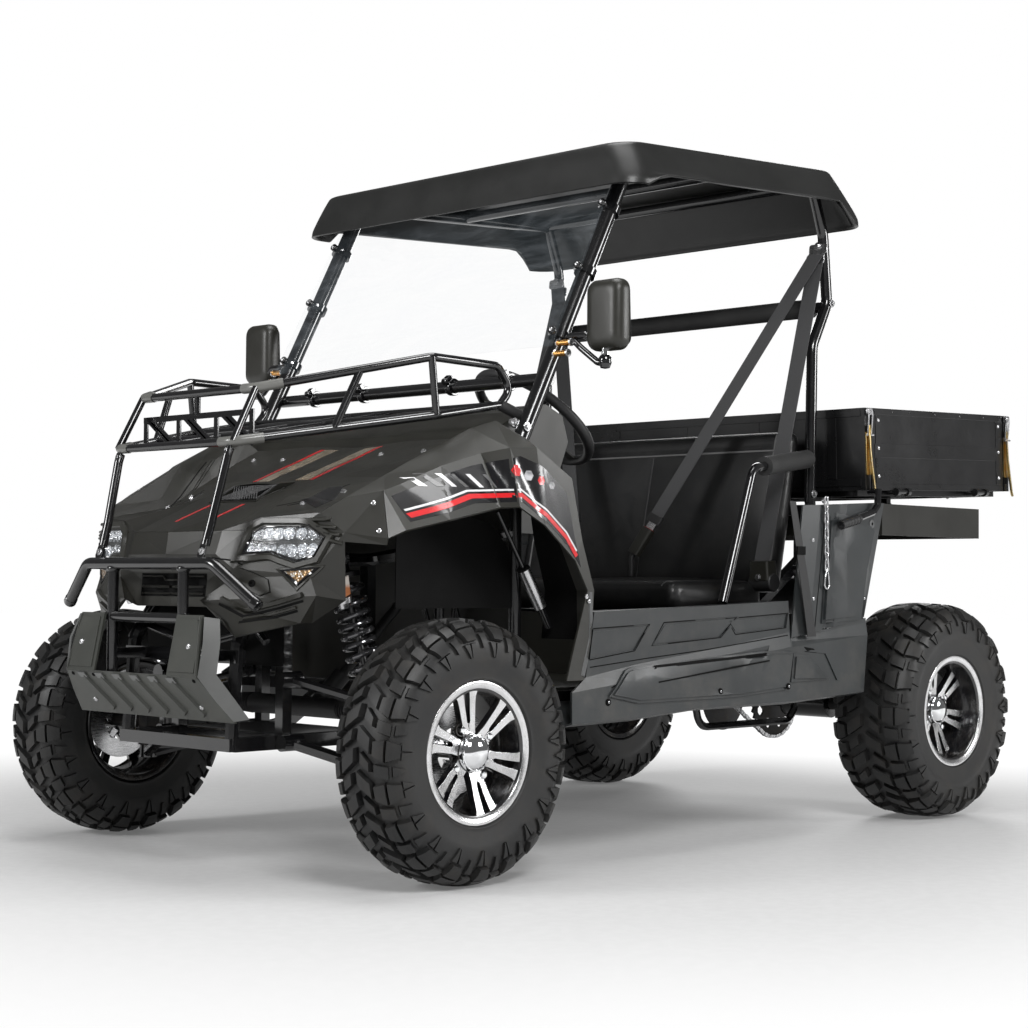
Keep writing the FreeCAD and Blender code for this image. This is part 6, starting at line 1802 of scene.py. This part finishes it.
def chain_link(form, at, along, turn, length, wire, mark=0):
    """One oval link."""
    place = axes(at, along) @ Matrix.Rotation(turn, 4, "Z")
    half, side = length / 2 - wire * 1.9, wire * 1.9
    line = [(side * math.cos(a), 0, math.copysign(half, math.sin(a)) + side * math.sin(a))
            for a in (math.pi * (k + 0.5) / 8 for k in range(16))]
    form.tube(line, wire, 8, mark, closed=True, place=place)


def build_side_gates():
    """Pressed rails, posts and rivets of the side gates, each riding with its own gate."""
    for node, side in (("left_gate", LEFT), ("right_gate", RIGHT)):
        form = Form()
        for z in (22, 212):
            form.box((-650, 577.4, z - 8), (-42, 580.2, z + 8), 0, BED)
        form.box((-650, 577.2, 96), (-42, 579.4, 132), 0, BED)
        for x in (-636, -58):
            form.box((x - 11, 577.2, 32), (x + 11, 579.8, 202), 0, BED)
            for z in (50, 120, 190):
                form.button(BED @ Vector((x, 579.6, z)), (0, 1, 0), 5, 1)
        for x in (-560, -440, -320, -200, -120):
            form.button(BED @ Vector((x, 580, 212)), (0, 1, 0), 3.4, 2)
        if side is RIGHT:
            form.points = [Vector((p.x, -p.y, p.z)) for p in form.points]
            form.faces = [list(reversed(f)) for f in form.faces]
        form.make(node + "_trim", (satin_steel_sheet, bright_metal, gloss_trim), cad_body(node), bevel=0.8,
                  crease=40)


def build_tailgate():
    """Rails, posts, rivets and stake pockets of the tailgate."""
    form = Form()
    for z in (22, 212):
        form.box((-691.8, -560, z - 8), (-688.8, 560, z + 8), 0, BED)
    form.box((-691.2, -560, 96), (-688.8, 560, 132), 0, BED)
    for y in (-548, -180, 180, 548):
        form.box((-691.6, y - 11, 32), (-688.8, y + 11, 202), 0, BED)
        for z in (50, 120, 190):
            form.button(BED @ Vector((-691.4, y, z)), (-1, 0, 0), 5, 1)
    # Stake pockets: thin dark strips of painted shade stand for their openings.
    for y in (-1, 1):
        form.box((-682, y * 577.5 - 1, 34), (-671, y * 577.5 + 1.6, 196), 2, BED)
        for z in (70, 150):
            form.button(BED @ Vector((-677, y * 579, z)), (0, y, 0), 4.4, 1)
    form.make("tailgate_trim", (satin_steel_sheet, bright_metal, shadow_plastic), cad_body("tailgate"),
              bevel=0.8, crease=40)


def build_latches():
    """Over-centre latches: plate, zinc lever, steel bow and rivets, riding with the bed."""
    brass, steel, red = range(3)
    form = Form()
    for x in (-12, -672):
        form.prism(panel_outline(x - 9, -44, x + 9, 64, 4), 2.6, brass,
                   BED @ Matrix(((1, 0, 0, 0), (0, 0, 1, 578.4), (0, 1, 0, 96), (0, 0, 0, 1))))
        lever = [(x - 16, 590, 2), (x - 12, 590, 10), (x + 2, 588, 100), (x + 3, 585, 176)]
        form.tube([BED @ Vector(p) for p in rounded(lever, 18, 4)], 7.4, 8, brass, squash=0.5)
        bow = [(x - 7, 584, 150), (x - 8, 589, 200), (x - 5, 590, 214), (x + 5, 590, 214), (x + 8, 589, 200),
               (x + 7, 584, 150)]
        form.tube([BED @ Vector(p) for p in rounded(bow, 6, 4)], 1.9, 8, steel)
        form.tube([BED @ Vector((x - 14, 586, 152)), BED @ Vector((x + 14, 586, 152))], 3.0, 10, steel)
        form.prism(panel_outline(x - 9, -8, x + 9, 8, 3), 8, steel,
                   BED @ Matrix(((1, 0, 0, 0), (0, 0, 1, 581), (0, 1, 0, 210), (0, 0, 0, 1))))
        for z in (158, 206):
            form.button(BED @ Vector((x, 581, z)), (0, 1, 0), 3.6, red)
    form.twin()
    form.make("latch_levers", (yellow_zinc, bright_metal, copper_rivet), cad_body("gate_latches"), bevel=0.3,
              crease=40, replaces=("gate_latches",), slot="zinc")


def build_bed_details():
    """The lever's rubber grip, and the headboard ribs, floor ribs and hinge screws of the bed."""
    rubber, sheet, zinc = range(3)
    form = Form()
    form.tube([(-470, 607, 755.6), (-391, 607, 738.2)], [10.5, 11.5], 16, rubber)
    for k in range(6):
        spot = Vector((-462, 607, 753.8)).lerp(Vector((-398, 607, 739.7)), k / 5)
        form.lathe([(-2, 10), (-1.4, 12), (1.4, 12), (2, 10)], 16, rubber, axes(spot, (79, 0, -17.4)),
                   closed=True)
    for k in range(9):
        y = -520 + 130 * k
        form.box((-640, y - 16, 31), (-50, y + 16, 35.4), sheet, BED)
    for z in (34, 208):
        form.box((-1, -566, z - 9), (2.2, 566, z + 9), sheet, BED)
    for y in (-480, -240, 0, 240, 480):
        form.box((-1, y - 13, 44), (1.8, y + 13, 198), sheet, BED)
    for y in (-380, 380):
        form.bolt(BED @ Vector((-698, y, 4)), (-1, 0, 0), 4.5, zinc)
    form.make("bed_details", (grip_rubber, satin_steel_sheet, bright_metal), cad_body("bed_lever"), bevel=0.7,
              crease=40)


def build_safety_chain():
    """Chain and hook that hang beside the seat."""
    form = Form()
    top, bottom = Vector((-340, 600, 792)), Vector((-343, 600, 628))
    form.lathe([(0, 0), (0, 7), (4, 6.4), (5, 0)], 14, 0, axes((-338, 593, 796), (0, 1, 0)))
    for k in range(9):
        chain_link(form, top.lerp(bottom, k / 8.6), bottom - top, math.pi / 2 * (k % 2) + 0.35, 26, 2.3)
    hook = [(-343, 600, 634), (-336, 600, 612), (-333, 600, 592), (-343, 600, 580), (-353, 600, 592),
            (-350, 600, 614)]
    form.tube(rounded([*hook, hook[0]], 8, 4)[:-1], 2.6, 8, 0, closed=True)
    form.make("safety_chain", bright_metal, crease=50, weld=False)


# ---- side panels
POCKETS = (((497, 496), (298, 504), (347, 450), (500, 433)), ((247, 507), (-14, 518), (48, 474), (287, 460)),
           ((23, 514), (-206, 524), (-198, 493), (-7, 480)))
NERF = ((382, 408), (360, 414), (-107, 439), (-214, 436), (-195, 348), (-4, 337), (346, 336), (442, 354))
HEEL = ((-215, 432), (-285, 424), (-362, 366), (-205, 364))
FLARE = ((-357, 756), (-409, 769), (-560, 734), (-474, 508), (-330, 500))


def build_side_trim():
    """Screws, washers, pocket edges and the belt guide of the rockers and quarter panels; the pocket edges,
    slits and grooves are dark strips of painted shade.
    """
    zinc, dark, pale, plastic, black_strap = range(5)
    form = Form()
    sill, quarter = Surface("rocker_panels"), Surface("quarter_panels")
    # Painted shade: dark strips round the pockets and along the slits stand for their shade.
    for outline in POCKETS:
        rib(form, sill, FLANK, shrunk(outline, -1.5), 3, 0.5, dark, closed=True)
        film(form, sill, FLANK, shrunk(outline, 6), plastic, 1.2, 0.6, 22)
    rib(form, sill, FLANK, ((500, 416), (300, 432), (100, 446), (-205, 474)), 3, 0.5, dark)
    rib(form, sill, FLANK, ((430, 372), (390, 386)), 4, 0.5, dark)
    for at, lift in (((441, 342), 0), ((66, 352), 9), ((-187, 355), 9)):
        fasten(form, sill, FLANK, at, 8, dark, lift=lift)
        fasten(form, sill, FLANK, at, 4.5, zinc, lift=lift + 1.5)
    # Painted shade: raised dark strips along the step's slit, and a small dark patch further back.
    rib(form, sill, FLANK, ((302, 396), (288, 412), (-106, 432)), 7, 9.6, dark, crown=0.8)
    rib(form, sill, FLANK, ((288, 380), (-110, 417)), 4, 9.8, dark, crown=0.8)
    film(form, sill, FLANK, ((-262, 446), (-300, 441), (-318, 430), (-270, 434)), dark, 0.5, 0.6, 14)
    # hanging strap with its keeper
    spine = [Vector((-204, 600, 790)), Vector((-226, 601, 700)), Vector((-252, 602, 590)),
             Vector((-278, 603, 470))]
    rows = []
    for p, wide in zip(spine, (12, 14, 16, 17)):
        rows.append([p + Vector((-wide, 0.8, 0)), p + Vector((wide, 0.8, 0)), p + Vector((wide, -0.8, 0)),
                     p + Vector((-wide, -0.8, 0))])
    form.grid(rows, black_strap, ring=True, caps=True)
    form.box((-250, 600, 664), (-218, 605, 684), dark)
    for at in ((-300, 700), (-300, 560), (-480, 716), (-470, 560), (-545, 690), (-520, 560)):
        fasten(form, quarter, FLANK, at, 5, zinc)
    spot = quarter.land(*FLANK.ray((-545, 745)))
    form.lathe([(0, 4), (0, 11), (1.6, 11), (2.4, 4)], 20, pale, axes(spot[0], spot[1]), closed=True)
    form.button(spot[0], spot[1], 4.4, dark)
    # Painted shade: a dark line for the quarter panel's groove.
    rib(form, quarter, FLANK, ((-350, 780), (-306, 492)), 4, 0.5, dark)
    arch = Surface("left_front_fender")
    fasten(form, arch, FLANK, (512, 566), 5.5, zinc)
    rib(form, arch, FLANK, ((500, 575), (497, 480), (522, 400)), 14, 2.2, pale, crown=0.6)
    fasten(form, arch, FLANK, (506, 556), 5, zinc, lift=2)
    form.twin()
    form.make("side_trim", (bright_metal, shadow_plastic, grey_strip, side_plastic, grip_rubber), bevel=0.3,
              crease=40, weld=False)


def build_side_forms():
    """Stepped forms pressed into the rockers and quarter panels."""
    form = Form()
    sill, quarter = Surface("rocker_panels"), Surface("quarter_panels")
    for panel, outline, inset, foot, crest in ((sill, NERF, 7, 5, 9), (sill, HEEL, 8, 5, 9),
                                               (quarter, FLARE, 9, 3.5, 7)):
        film(form, panel, FLANK, outline, lift=foot, size=40)
        film(form, panel, FLANK, shrunk(outline, inset), lift=crest, size=40)
    form.twin()
    form.make("side_forms", side_plastic, bevel=2.4, segments=3, crease=40, weld=False)


# ---- running gear
GEAR = (cast_metal, bright_metal, grip_rubber, gloss_tube, yellow_zinc, shadow_plastic, fluid_tank)
CAST, BRIGHT, RUBBER, TUBE, BRASS, DARK, TANK = range(7)


def build_steering_and_stays():
    """Rack boots, fluid tank, the wheel well's upright with its hoses, and the diagonal stay."""
    form = Form()
    # rack boots
    for k in range(7):
        y = 152 + 7.5 * k
        form.lathe([(0, 17), (2.5, 23.5 - k * 0.4), (5, 23.5 - k * 0.4), (7.5, 17)], 20, RUBBER,
                   axes((800, y, 320), (0, 1, 0)), closed=True)
    # reservoir beside the front spring
    place = axes((990, 366, 566), (0.25, 0.1, 1))
    form.prism(panel_outline(-15, -13, 15, 13, 6), 38, TANK, place)
    form.lathe([(-26, 0), (-26, 10), (-14, 12), (-14, 18), (-2, 18), (-2, 0)], 18, BRIGHT, place)
    form.lathe([(38, 0), (38, 11), (45, 10), (46, 0)], 18, DARK, place)
    # upright tube of the wheel well with its clevis, and a pair of thin hoses
    form.tube([(700, 345, 742), (702, 345, 560), (703, 345, 470)], 11, 16, TUBE)
    form.bolt((703, 357, 480), (0, 1, 0), 6, BRIGHT)
    for shift in (0, 9):
        form.tube(rounded([(660 - shift, 352, 735), (662 - shift, 354, 600), (672 - shift, 350, 500),
                           (700, 335, 440)],
                          60, 5), 2.6, 8, RUBBER)
    # diagonal stay that ends in a bright sleeve
    head, foot = Vector((655, 470, 742)), Vector((505, 480, 500))
    run = (foot - head).normalized()
    form.tube([head, head + run * 150], 5, 12, TUBE)
    form.tube([head + run * 140, head + run * 236], 14, 20, BRIGHT)
    form.lathe([(0, 5), (0, 14.4), (4, 14.4), (4, 5)], 20, DARK, axes(head + run * 138, run), closed=True)
    form.tube([head + run * 236, foot], 9, 14, TUBE)
    form.twin()
    form.make("steering_and_stays", GEAR, bevel=0.5, crease=42)


def build_calipers():
    """Brake calipers on the knuckles' inner sides."""
    for side, node in ((LEFT, "left_knuckle"), (RIGHT, "right_knuckle")):
        form = Form()
        place = axes((905, side * 486, 318), (0, side, 0), (0.7, 0, 0.7))
        form.prism(panel_outline(-26, -32, 22, 32, 10), 34, CAST, place)
        for y in (-16, 16):
            form.bolt(place @ Vector((-8, y, 0)), (0, -side, 0), 7, BRIGHT)
            form.lathe([(30, 0), (30, 12), (36, 11), (37, 0)], 16, BRASS, place @ Matrix.Translation((0, y, 0)))
        form.tube([(912, side * 482, 330), (900, side * 470, 372)], 3, 8, RUBBER)
        form.make(node + "_caliper", GEAR[:5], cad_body(node), bevel=0.8, crease=42)


def build_drive_chain():
    """Roller chain round the axle's sprocket and the engine's."""
    form = Form()
    rear, front = Vector((-822, 87, 274)), Vector((-470, 87, 420))
    run = (front - rear).normalized()
    up = Vector((-run.z, 0, run.x))
    r_big, r_small = 100.0, 34.0
    slope = math.asin((r_big - r_small) / (front - rear).length)
    line = []
    for centre, radius, first, sweep, steps in ((rear, r_big, math.pi / 2 - slope, math.pi + 2 * slope, 23),
                                                (front, r_small, slope - math.pi / 2, math.pi - 2 * slope, 11)):
        for k in range(steps + 1):
            a = first + sweep * k / steps
            line.append(centre + (run * math.cos(a) + up * math.sin(a)) * radius)
    loop = line + [line[0]]
    travelled, pitch, k = 0.0, 12.7, 0
    for a, b in zip(loop, loop[1:]):
        step = b - a
        while travelled < step.length:
            spot = a + step.normalized() * travelled
            place = axes(spot, (0, 1, 0), step)
            wide = 4.4 if k % 2 else 6.0
            for y in (-wide, wide - 1.2):
                form.prism([(-7.2, -3.6), (0, -4.8), (7.2, -3.6), (7.2, 3.6), (0, 4.8), (-7.2, 3.6)], 1.2, 0,
                           place @ Matrix.Translation((0, 0, y)))
            form.lathe([(-6, 0), (-6, 3.2), (6, 3.2), (6, 0)], 8, 0, place @ Matrix.Translation((-6.3, 0, 0)))
            travelled += pitch
            k += 1
        travelled -= step.length
    form.make("drive_chain", bright_metal, crease=40, weld=False)


def build_rear_trim():
    """Tail lamp bezels, muffler bands and tail pipe."""
    form = Form()
    for z in (729, 781):
        form.box((-1119, 427, z - 4), (-1103, 543, z + 4), DARK)
    for y in (427, 543):
        form.box((-1119, y - 4, 725), (-1103, y + 4, 785), DARK)
    form.box((-1117.5, 484, 730), (-1103, 487, 780), DARK)
    form.twin()
    for y in (-200, 110):
        form.lathe([(-9, 55.4), (-9, 57.6), (-3, 58.6), (3, 58.6), (9, 57.6), (9, 55.4)], 40, BRIGHT,
                   axes((-960, y, 560), (0, 1, 0)), closed=True)
    form.lathe([(0, 12), (0, 22), (30, 20), (34, 14), (34, 12)], 24, BRIGHT,
               axes((-960, -232, 548), (0, -1, 0)), closed=True)
    form.make("rear_trim", GEAR[:6], bevel=0.5, crease=42)


# ---- frame finishes
COATS = (
    # node, finish, edge rounding in millimetres
    ("lower_frame", gloss_tube, 0), ("front_frame", gloss_tube, 0), ("rear_frame", gloss_tube, 0),
    ("roll_cage", gloss_tube, 0), ("front_bumper", gloss_tube, 0), ("hip_bars", gloss_tube, 0),
    ("control_arms", gloss_tube, 0), ("rear_swing_arm", gloss_tube, 0), ("steering_column", grip_rubber, 0),
    ("left_knuckle", cast_metal, 1.5), ("right_knuckle", cast_metal, 1.5), ("engine_block", cast_metal, 6),
    ("rear_axle", cast_metal, 0.8), ("tie_rods", yellow_zinc, 0), ("screen_clamps", gloss_trim, 0.8),
    ("hood", moulded_plastic, 2.5), ("front_fascia", moulded_plastic, 3),
    ("left_front_fender", fender_plastic, 2.5), ("right_front_fender", fender_plastic, 2.5),
    ("dashboard", moulded_plastic, 6), ("rocker_panels", side_plastic, 2.5),
    ("quarter_panels", side_plastic, 2.5), ("rear_tub", moulded_plastic, 3), ("skid_plate", olive_plate, 1.2),
    ("foam_pads", foam_rubber, 3), ("steering_wheel", grip_rubber, 2), ("windscreen", clear_sheet, 1),
    ("headlamps", lamp_lens, 1.5), ("tail_lamps", red_lens, 3), ("floor_pan", moulded_plastic, 1.5),
    ("seat_base", moulded_plastic, 3), ("bed_tub", satin_steel_sheet, 1), ("left_gate", satin_steel_sheet, 1.2),
    ("right_gate", satin_steel_sheet, 1.2), ("tailgate", satin_steel_sheet, 1.2),
    # wheel_liners take shadow_plastic: painted shade for the dark wheel wells.
    ("exhaust_muffler", cast_metal, 1), ("seat_belts", belt_webbing, 0), ("wheel_liners", shadow_plastic, 0),
    ("bed_lever", gloss_tube, 0.5),
)


def build_coats():
    """Give every carried-over node its finish."""
    for node, maker, rounding in COATS:
        coat(node, maker, rounding)


# ---- stage
CAMERA_PLACE = (3.5975, 3.3682, 0.6010)
CAMERA_YAW, CAMERA_PITCH, CAMERA_ROLL = 224.09, 1.89, 0.44
LIGHTS = (
    # name, place, target, size, power in watts
    ("key_softbox", (2.2, 3.4, 3.2), (0.3, 0.3, 0.7), 1.3, 120.0),
    ("side_softbox", (-2.6, 4.0, 1.9), (-0.4, 0.4, 0.7), 1.2, 80.0),
    ("front_softbox", (4.4, -1.2, 2.2), (0.9, 0.0, 0.6), 1.2, 90.0),
    ("top_softbox", (0.2, 0.2, 4.2), (0.1, 0.0, 0.8), 2.0, 80.0),
    ("rear_softbox", (-4.2, -2.4, 2.6), (-0.8, 0.0, 0.8), 2.2, 90.0),
)


def build_camera(lens):
    """The studio camera, level with the wheels' tops and a little to the left of the nose."""
    yaw, pitch, roll = (math.radians(a) for a in (CAMERA_YAW, CAMERA_PITCH, CAMERA_ROLL))
    ahead = Vector((math.cos(pitch) * math.cos(yaw), math.cos(pitch) * math.sin(yaw), math.sin(pitch)))
    right = ahead.cross(Vector((0, 0, 1))).normalized()
    up = right.cross(ahead)
    right, up = right * math.cos(roll) + up * math.sin(roll), up * math.cos(roll) - right * math.sin(roll)
    data = bpy.data.cameras.new("studio_camera")
    data.lens, data.sensor_width, data.clip_end = lens, 36.0, 100.0
    camera = bpy.data.objects.new("studio_camera", data)
    camera.matrix_world = Matrix.Translation(CAMERA_PLACE) @ Matrix((right, up, -ahead)).transposed().to_4x4()
    bpy.context.scene.collection.objects.link(camera)
    bpy.context.scene.camera = camera


def build_floor():
    """Wide pale floor under the wheels."""
    sheet = bpy.data.meshes.new("studio_floor")
    reach = 24.0
    sheet.from_pydata([(-reach, -reach, 0), (reach, -reach, 0), (reach, reach, 0), (-reach, reach, 0)], [],
                      [(0, 1, 2, 3)])
    sheet.materials.append(finish(studio_floor))
    floor = bpy.data.objects.new("studio_floor", sheet)
    bpy.context.scene.collection.objects.link(floor)


def build_lights(strength):
    """Square softboxes, each aimed at its target."""
    for name, place, target, width, power in LIGHTS:
        data = bpy.data.lights.new(name, "AREA")
        data.shape, data.size, data.energy = "SQUARE", width, power * strength
        lamp = bpy.data.objects.new(name, data)
        lamp.location = place
        lamp.rotation_mode = "QUATERNION"
        lamp.rotation_quaternion = (Vector(target) - Vector(place)).to_track_quat("-Z", "Y")
        bpy.context.scene.collection.objects.link(lamp)


def build_backdrop(strength):
    """Backdrop that is seen white and throws less light than it shows."""
    world = bpy.data.worlds.new("studio_backdrop")
    world.use_nodes = True
    tree = world.node_tree
    seen = tree.nodes["Background"]
    seen.inputs["Color"].default_value = (1.0, 1.0, 1.0, 1.0)
    around = tree.nodes.new("ShaderNodeBackground")
    around.inputs["Color"].default_value = (1.0, 1.0, 1.0, 1.0)
    around.inputs["Strength"].default_value = strength
    path, both = tree.nodes.new("ShaderNodeLightPath"), tree.nodes.new("ShaderNodeMixShader")
    tree.links.new(path.outputs["Is Camera Ray"], both.inputs[0])
    tree.links.new(around.outputs[0], both.inputs[1])
    tree.links.new(seen.outputs[0], both.inputs[2])
    tree.links.new(both.outputs[0], tree.nodes["World Output"].inputs[0])
    bpy.context.scene.world = world
    bpy.context.scene.view_settings.view_transform = "Standard"


# ---- settings
class TyreLook(bpy.types.PropertyGroup):
    front_pitches: IntProperty(name="Front pitches", default=19, min=8, max=40,
                               description="How often the tread pattern repeats round a front tyre")
    rear_pitches: IntProperty(name="Rear pitches", default=18, min=8, max=40,
                              description="How often the tread pattern repeats round a rear tyre")
    tread_depth: FloatProperty(name="Tread depth", default=1.0, min=0.3, max=1.5, subtype="FACTOR",
                               description="Share of the full height of the tread blocks")


class SpringLook(bpy.types.PropertyGroup):
    wire: FloatProperty(name="Front wire", default=0.0056, min=0.002, max=0.01, unit="LENGTH",
                        description="Radius of the front coil springs' wire")
    turns: FloatProperty(name="Front turns", default=8.5, min=3.0, max=14.0,
                         description="Number of turns of each front coil spring")


class StickerLook(bpy.types.PropertyGroup):
    red: FloatVectorProperty(name="Red", default=(0.62, 0.012, 0.016), size=3, subtype="COLOR", min=0.0,
                             max=1.0, description="Colour of the red films on the fenders and the hood")
    sand: FloatVectorProperty(name="Sand", default=(0.3, 0.25, 0.185), size=3, subtype="COLOR", min=0.0,
                              max=1.0, description="Colour of the sand films on the hood")
    cell: FloatProperty(name="Cell", default=0.009, min=0.004, max=0.03, unit="LENGTH",
                        description="Size of the cells in which a film follows its panel")


class SeatLook(bpy.types.PropertyGroup):
    pressure: FloatProperty(name="Pressure", default=4.0, min=0.5, max=12.0,
                            description="Inner pressure that swells the cushions' covers")
    swell: FloatProperty(name="Swell", default=0.02, min=0.004, max=0.03, unit="LENGTH",
                         description="Furthest that a point of a cover may move")
    weave: FloatProperty(name="Mesh size", default=0.0065, min=0.004, max=0.02, unit="LENGTH",
                         description="Size of the cells of a cushion's cover")


class StageLook(bpy.types.PropertyGroup):
    light_strength: FloatProperty(name="Lights", default=1.0, min=0.0, max=5.0, subtype="FACTOR",
                                  description="Strength of the softboxes")
    backdrop_strength: FloatProperty(name="Backdrop", default=0.13, min=0.0, max=3.0,
                                     description="Light that the white backdrop throws on the vehicle")
    lens: FloatProperty(name="Lens", default=69.22, min=20.0, max=200.0,
                        description="Focal length of the studio camera in millimetres")


# ---- operators
class UTV_OT_frame_finishes(bpy.types.Operator):
    """Give every carried-over node its material and rounded edges."""
    bl_idname = "utv.frame_finishes"
    bl_label = "Frame finishes"

    def execute(self, context):
        build_coats()
        return {"FINISHED"}


class UTV_OT_tyres(bpy.types.Operator):
    """Build the four tyres with their tread blocks."""
    bl_idname = "utv.tyres"
    bl_label = "Tyres"

    def execute(self, context):
        for wheel in WHEELS:
            build_tyre(wheel, context.scene.utv_tyres)
        return {"FINISHED"}


class UTV_OT_wheels(bpy.types.Operator):
    """Build the four alloy wheels with nuts, caps and brake discs."""
    bl_idname = "utv.wheels"
    bl_label = "Wheels"

    def execute(self, context):
        for wheel in WHEELS:
            build_rim(wheel)
        return {"FINISHED"}


class UTV_OT_springs(bpy.types.Operator):
    """Build the four coil-over shock absorbers."""
    bl_idname = "utv.springs"
    bl_label = "Springs"

    def execute(self, context):
        build_shocks(context.scene.utv_springs)
        return {"FINISHED"}


class UTV_OT_stickers(bpy.types.Operator):
    """Lay the coloured films on the fenders and the hood."""
    bl_idname = "utv.stickers"
    bl_label = "Stickers"

    def execute(self, context):
        build_stickers(context.scene.utv_stickers)
        return {"FINISHED"}


class UTV_OT_front_rack(bpy.types.Operator):
    """Build the tube basket over the hood and its braces."""
    bl_idname = "utv.front_rack"
    bl_label = "Front rack"

    def execute(self, context):
        build_rack()
        build_braces()
        return {"FINISHED"}


class UTV_OT_lamps(bpy.types.Operator):
    """Build the insides and surrounds of the headlamps and signal lamps."""
    bl_idname = "utv.lamps"
    bl_label = "Lamps"

    def execute(self, context):
        build_lamps()
        return {"FINISHED"}


class UTV_OT_nose(bpy.types.Operator):
    """Add the vent mesh, grooves, recesses and screws of the hood and the fascia."""
    bl_idname = "utv.nose"
    bl_label = "Nose"

    def execute(self, context):
        build_nose()
        return {"FINISHED"}


class UTV_OT_guard(bpy.types.Operator):
    """Add the bumper's caps and the guard plate's ribs, cheeks and bolts."""
    bl_idname = "utv.guard"
    bl_label = "Front guard"

    def execute(self, context):
        build_guard()
        return {"FINISHED"}


class UTV_OT_seats(bpy.types.Operator):
    """Build the bench's swollen covers, seams and piping."""
    bl_idname = "utv.seats"
    bl_label = "Seats"

    def execute(self, context):
        build_seats(context.scene.utv_seats)
        return {"FINISHED"}


class UTV_OT_belts(bpy.types.Operator):
    """Build the webbing, buckles and retractors."""
    bl_idname = "utv.belts"
    bl_label = "Belts"

    def execute(self, context):
        build_belts()
        return {"FINISHED"}


class UTV_OT_controls(bpy.types.Operator):
    """Build the steering wheel's grip, the gauge, the pedals and the column's pod."""
    bl_idname = "utv.controls"
    bl_label = "Controls"

    def execute(self, context):
        build_controls()
        build_wheel_grip()
        return {"FINISHED"}


class UTV_OT_canopy(bpy.types.Operator):
    """Build the moulded canopy with its rounded skirt."""
    bl_idname = "utv.canopy"
    bl_label = "Canopy"

    def execute(self, context):
        build_canopy()
        return {"FINISHED"}


class UTV_OT_cage_trim(bpy.types.Operator):
    """Add clamps, spacers, mirror stems and glass, and the canopy's ribs."""
    bl_idname = "utv.cage_trim"
    bl_label = "Cage trim"

    def execute(self, context):
        build_cage_trim()
        build_mirror_housings()
        build_canopy_trim()
        return {"FINISHED"}


class UTV_OT_bed_panels(bpy.types.Operator):
    """Add rails, pockets and rivets to the drop sides and the tailgate."""
    bl_idname = "utv.bed_panels"
    bl_label = "Bed panels"

    def execute(self, context):
        build_side_gates()
        build_tailgate()
        return {"FINISHED"}


class UTV_OT_latches(bpy.types.Operator):
    """Build the over-centre latches of the bed."""
    bl_idname = "utv.latches"
    bl_label = "Latches"

    def execute(self, context):
        build_latches()
        return {"FINISHED"}


class UTV_OT_bed_hardware(bpy.types.Operator):
    """Add the lever's grip, the floor's ribs and the safety chain."""
    bl_idname = "utv.bed_hardware"
    bl_label = "Bed hardware"

    def execute(self, context):
        build_bed_details()
        build_safety_chain()
        return {"FINISHED"}


class UTV_OT_side_trim(bpy.types.Operator):
    """Add screws, grooves and strips to the rockers and quarter panels."""
    bl_idname = "utv.side_trim"
    bl_label = "Side trim"

    def execute(self, context):
        build_side_trim()
        build_side_forms()
        return {"FINISHED"}


class UTV_OT_running_gear(bpy.types.Operator):
    """Add calipers, boots, stays, the drive chain and the rear trim."""
    bl_idname = "utv.running_gear"
    bl_label = "Running gear"

    def execute(self, context):
        build_steering_and_stays()
        build_calipers()
        build_drive_chain()
        build_rear_trim()
        return {"FINISHED"}


class UTV_OT_stage(bpy.types.Operator):
    """Set the floor, backdrop, softboxes and camera."""
    bl_idname = "utv.stage"
    bl_label = "Stage"

    def execute(self, context):
        look = context.scene.utv_stage
        build_floor()
        build_lights(look.light_strength)
        build_backdrop(look.backdrop_strength)
        build_camera(look.lens)
        return {"FINISHED"}


STEPS = (UTV_OT_frame_finishes, UTV_OT_tyres, UTV_OT_wheels, UTV_OT_springs, UTV_OT_stickers,
         UTV_OT_front_rack, UTV_OT_lamps, UTV_OT_nose, UTV_OT_guard, UTV_OT_seats, UTV_OT_belts,
         UTV_OT_controls, UTV_OT_canopy, UTV_OT_cage_trim, UTV_OT_bed_panels, UTV_OT_latches,
         UTV_OT_bed_hardware, UTV_OT_side_trim, UTV_OT_running_gear, UTV_OT_stage)
SETTINGS = (("utv_tyres", TyreLook), ("utv_springs", SpringLook), ("utv_stickers", StickerLook),
            ("utv_seats", SeatLook), ("utv_stage", StageLook))


class VIEW3D_PT_utility_vehicle(bpy.types.Panel):
    """Settings of the vehicle and the steps that build it."""
    bl_label = "Utility Vehicle"
    bl_idname = "VIEW3D_PT_utility_vehicle"
    bl_space_type = "VIEW_3D"
    bl_region_type = "UI"
    bl_category = "Utility Vehicle"

    def draw(self, context):
        for name, group in SETTINGS:
            box = self.layout.box()
            for prop in group.__annotations__:
                box.prop(getattr(context.scene, name), prop)
        for step in STEPS:
            self.layout.operator(step.bl_idname)


CLASSES = [group for _, group in SETTINGS] + list(STEPS) + [VIEW3D_PT_utility_vehicle]


def register():
    for cls in CLASSES:
        bpy.utils.register_class(cls)
    for name, group in SETTINGS:
        setattr(bpy.types.Scene, name, PointerProperty(type=group))


def unregister():
    for name, _ in SETTINGS:
        delattr(bpy.types.Scene, name)
    for cls in reversed(CLASSES):
        bpy.utils.unregister_class(cls)


def main():
    """Register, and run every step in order."""
    register()
    for step in STEPS:
        group, name = step.bl_idname.split(".")
        getattr(getattr(bpy.ops, group), name)()


if __name__ == "__main__":
    main()
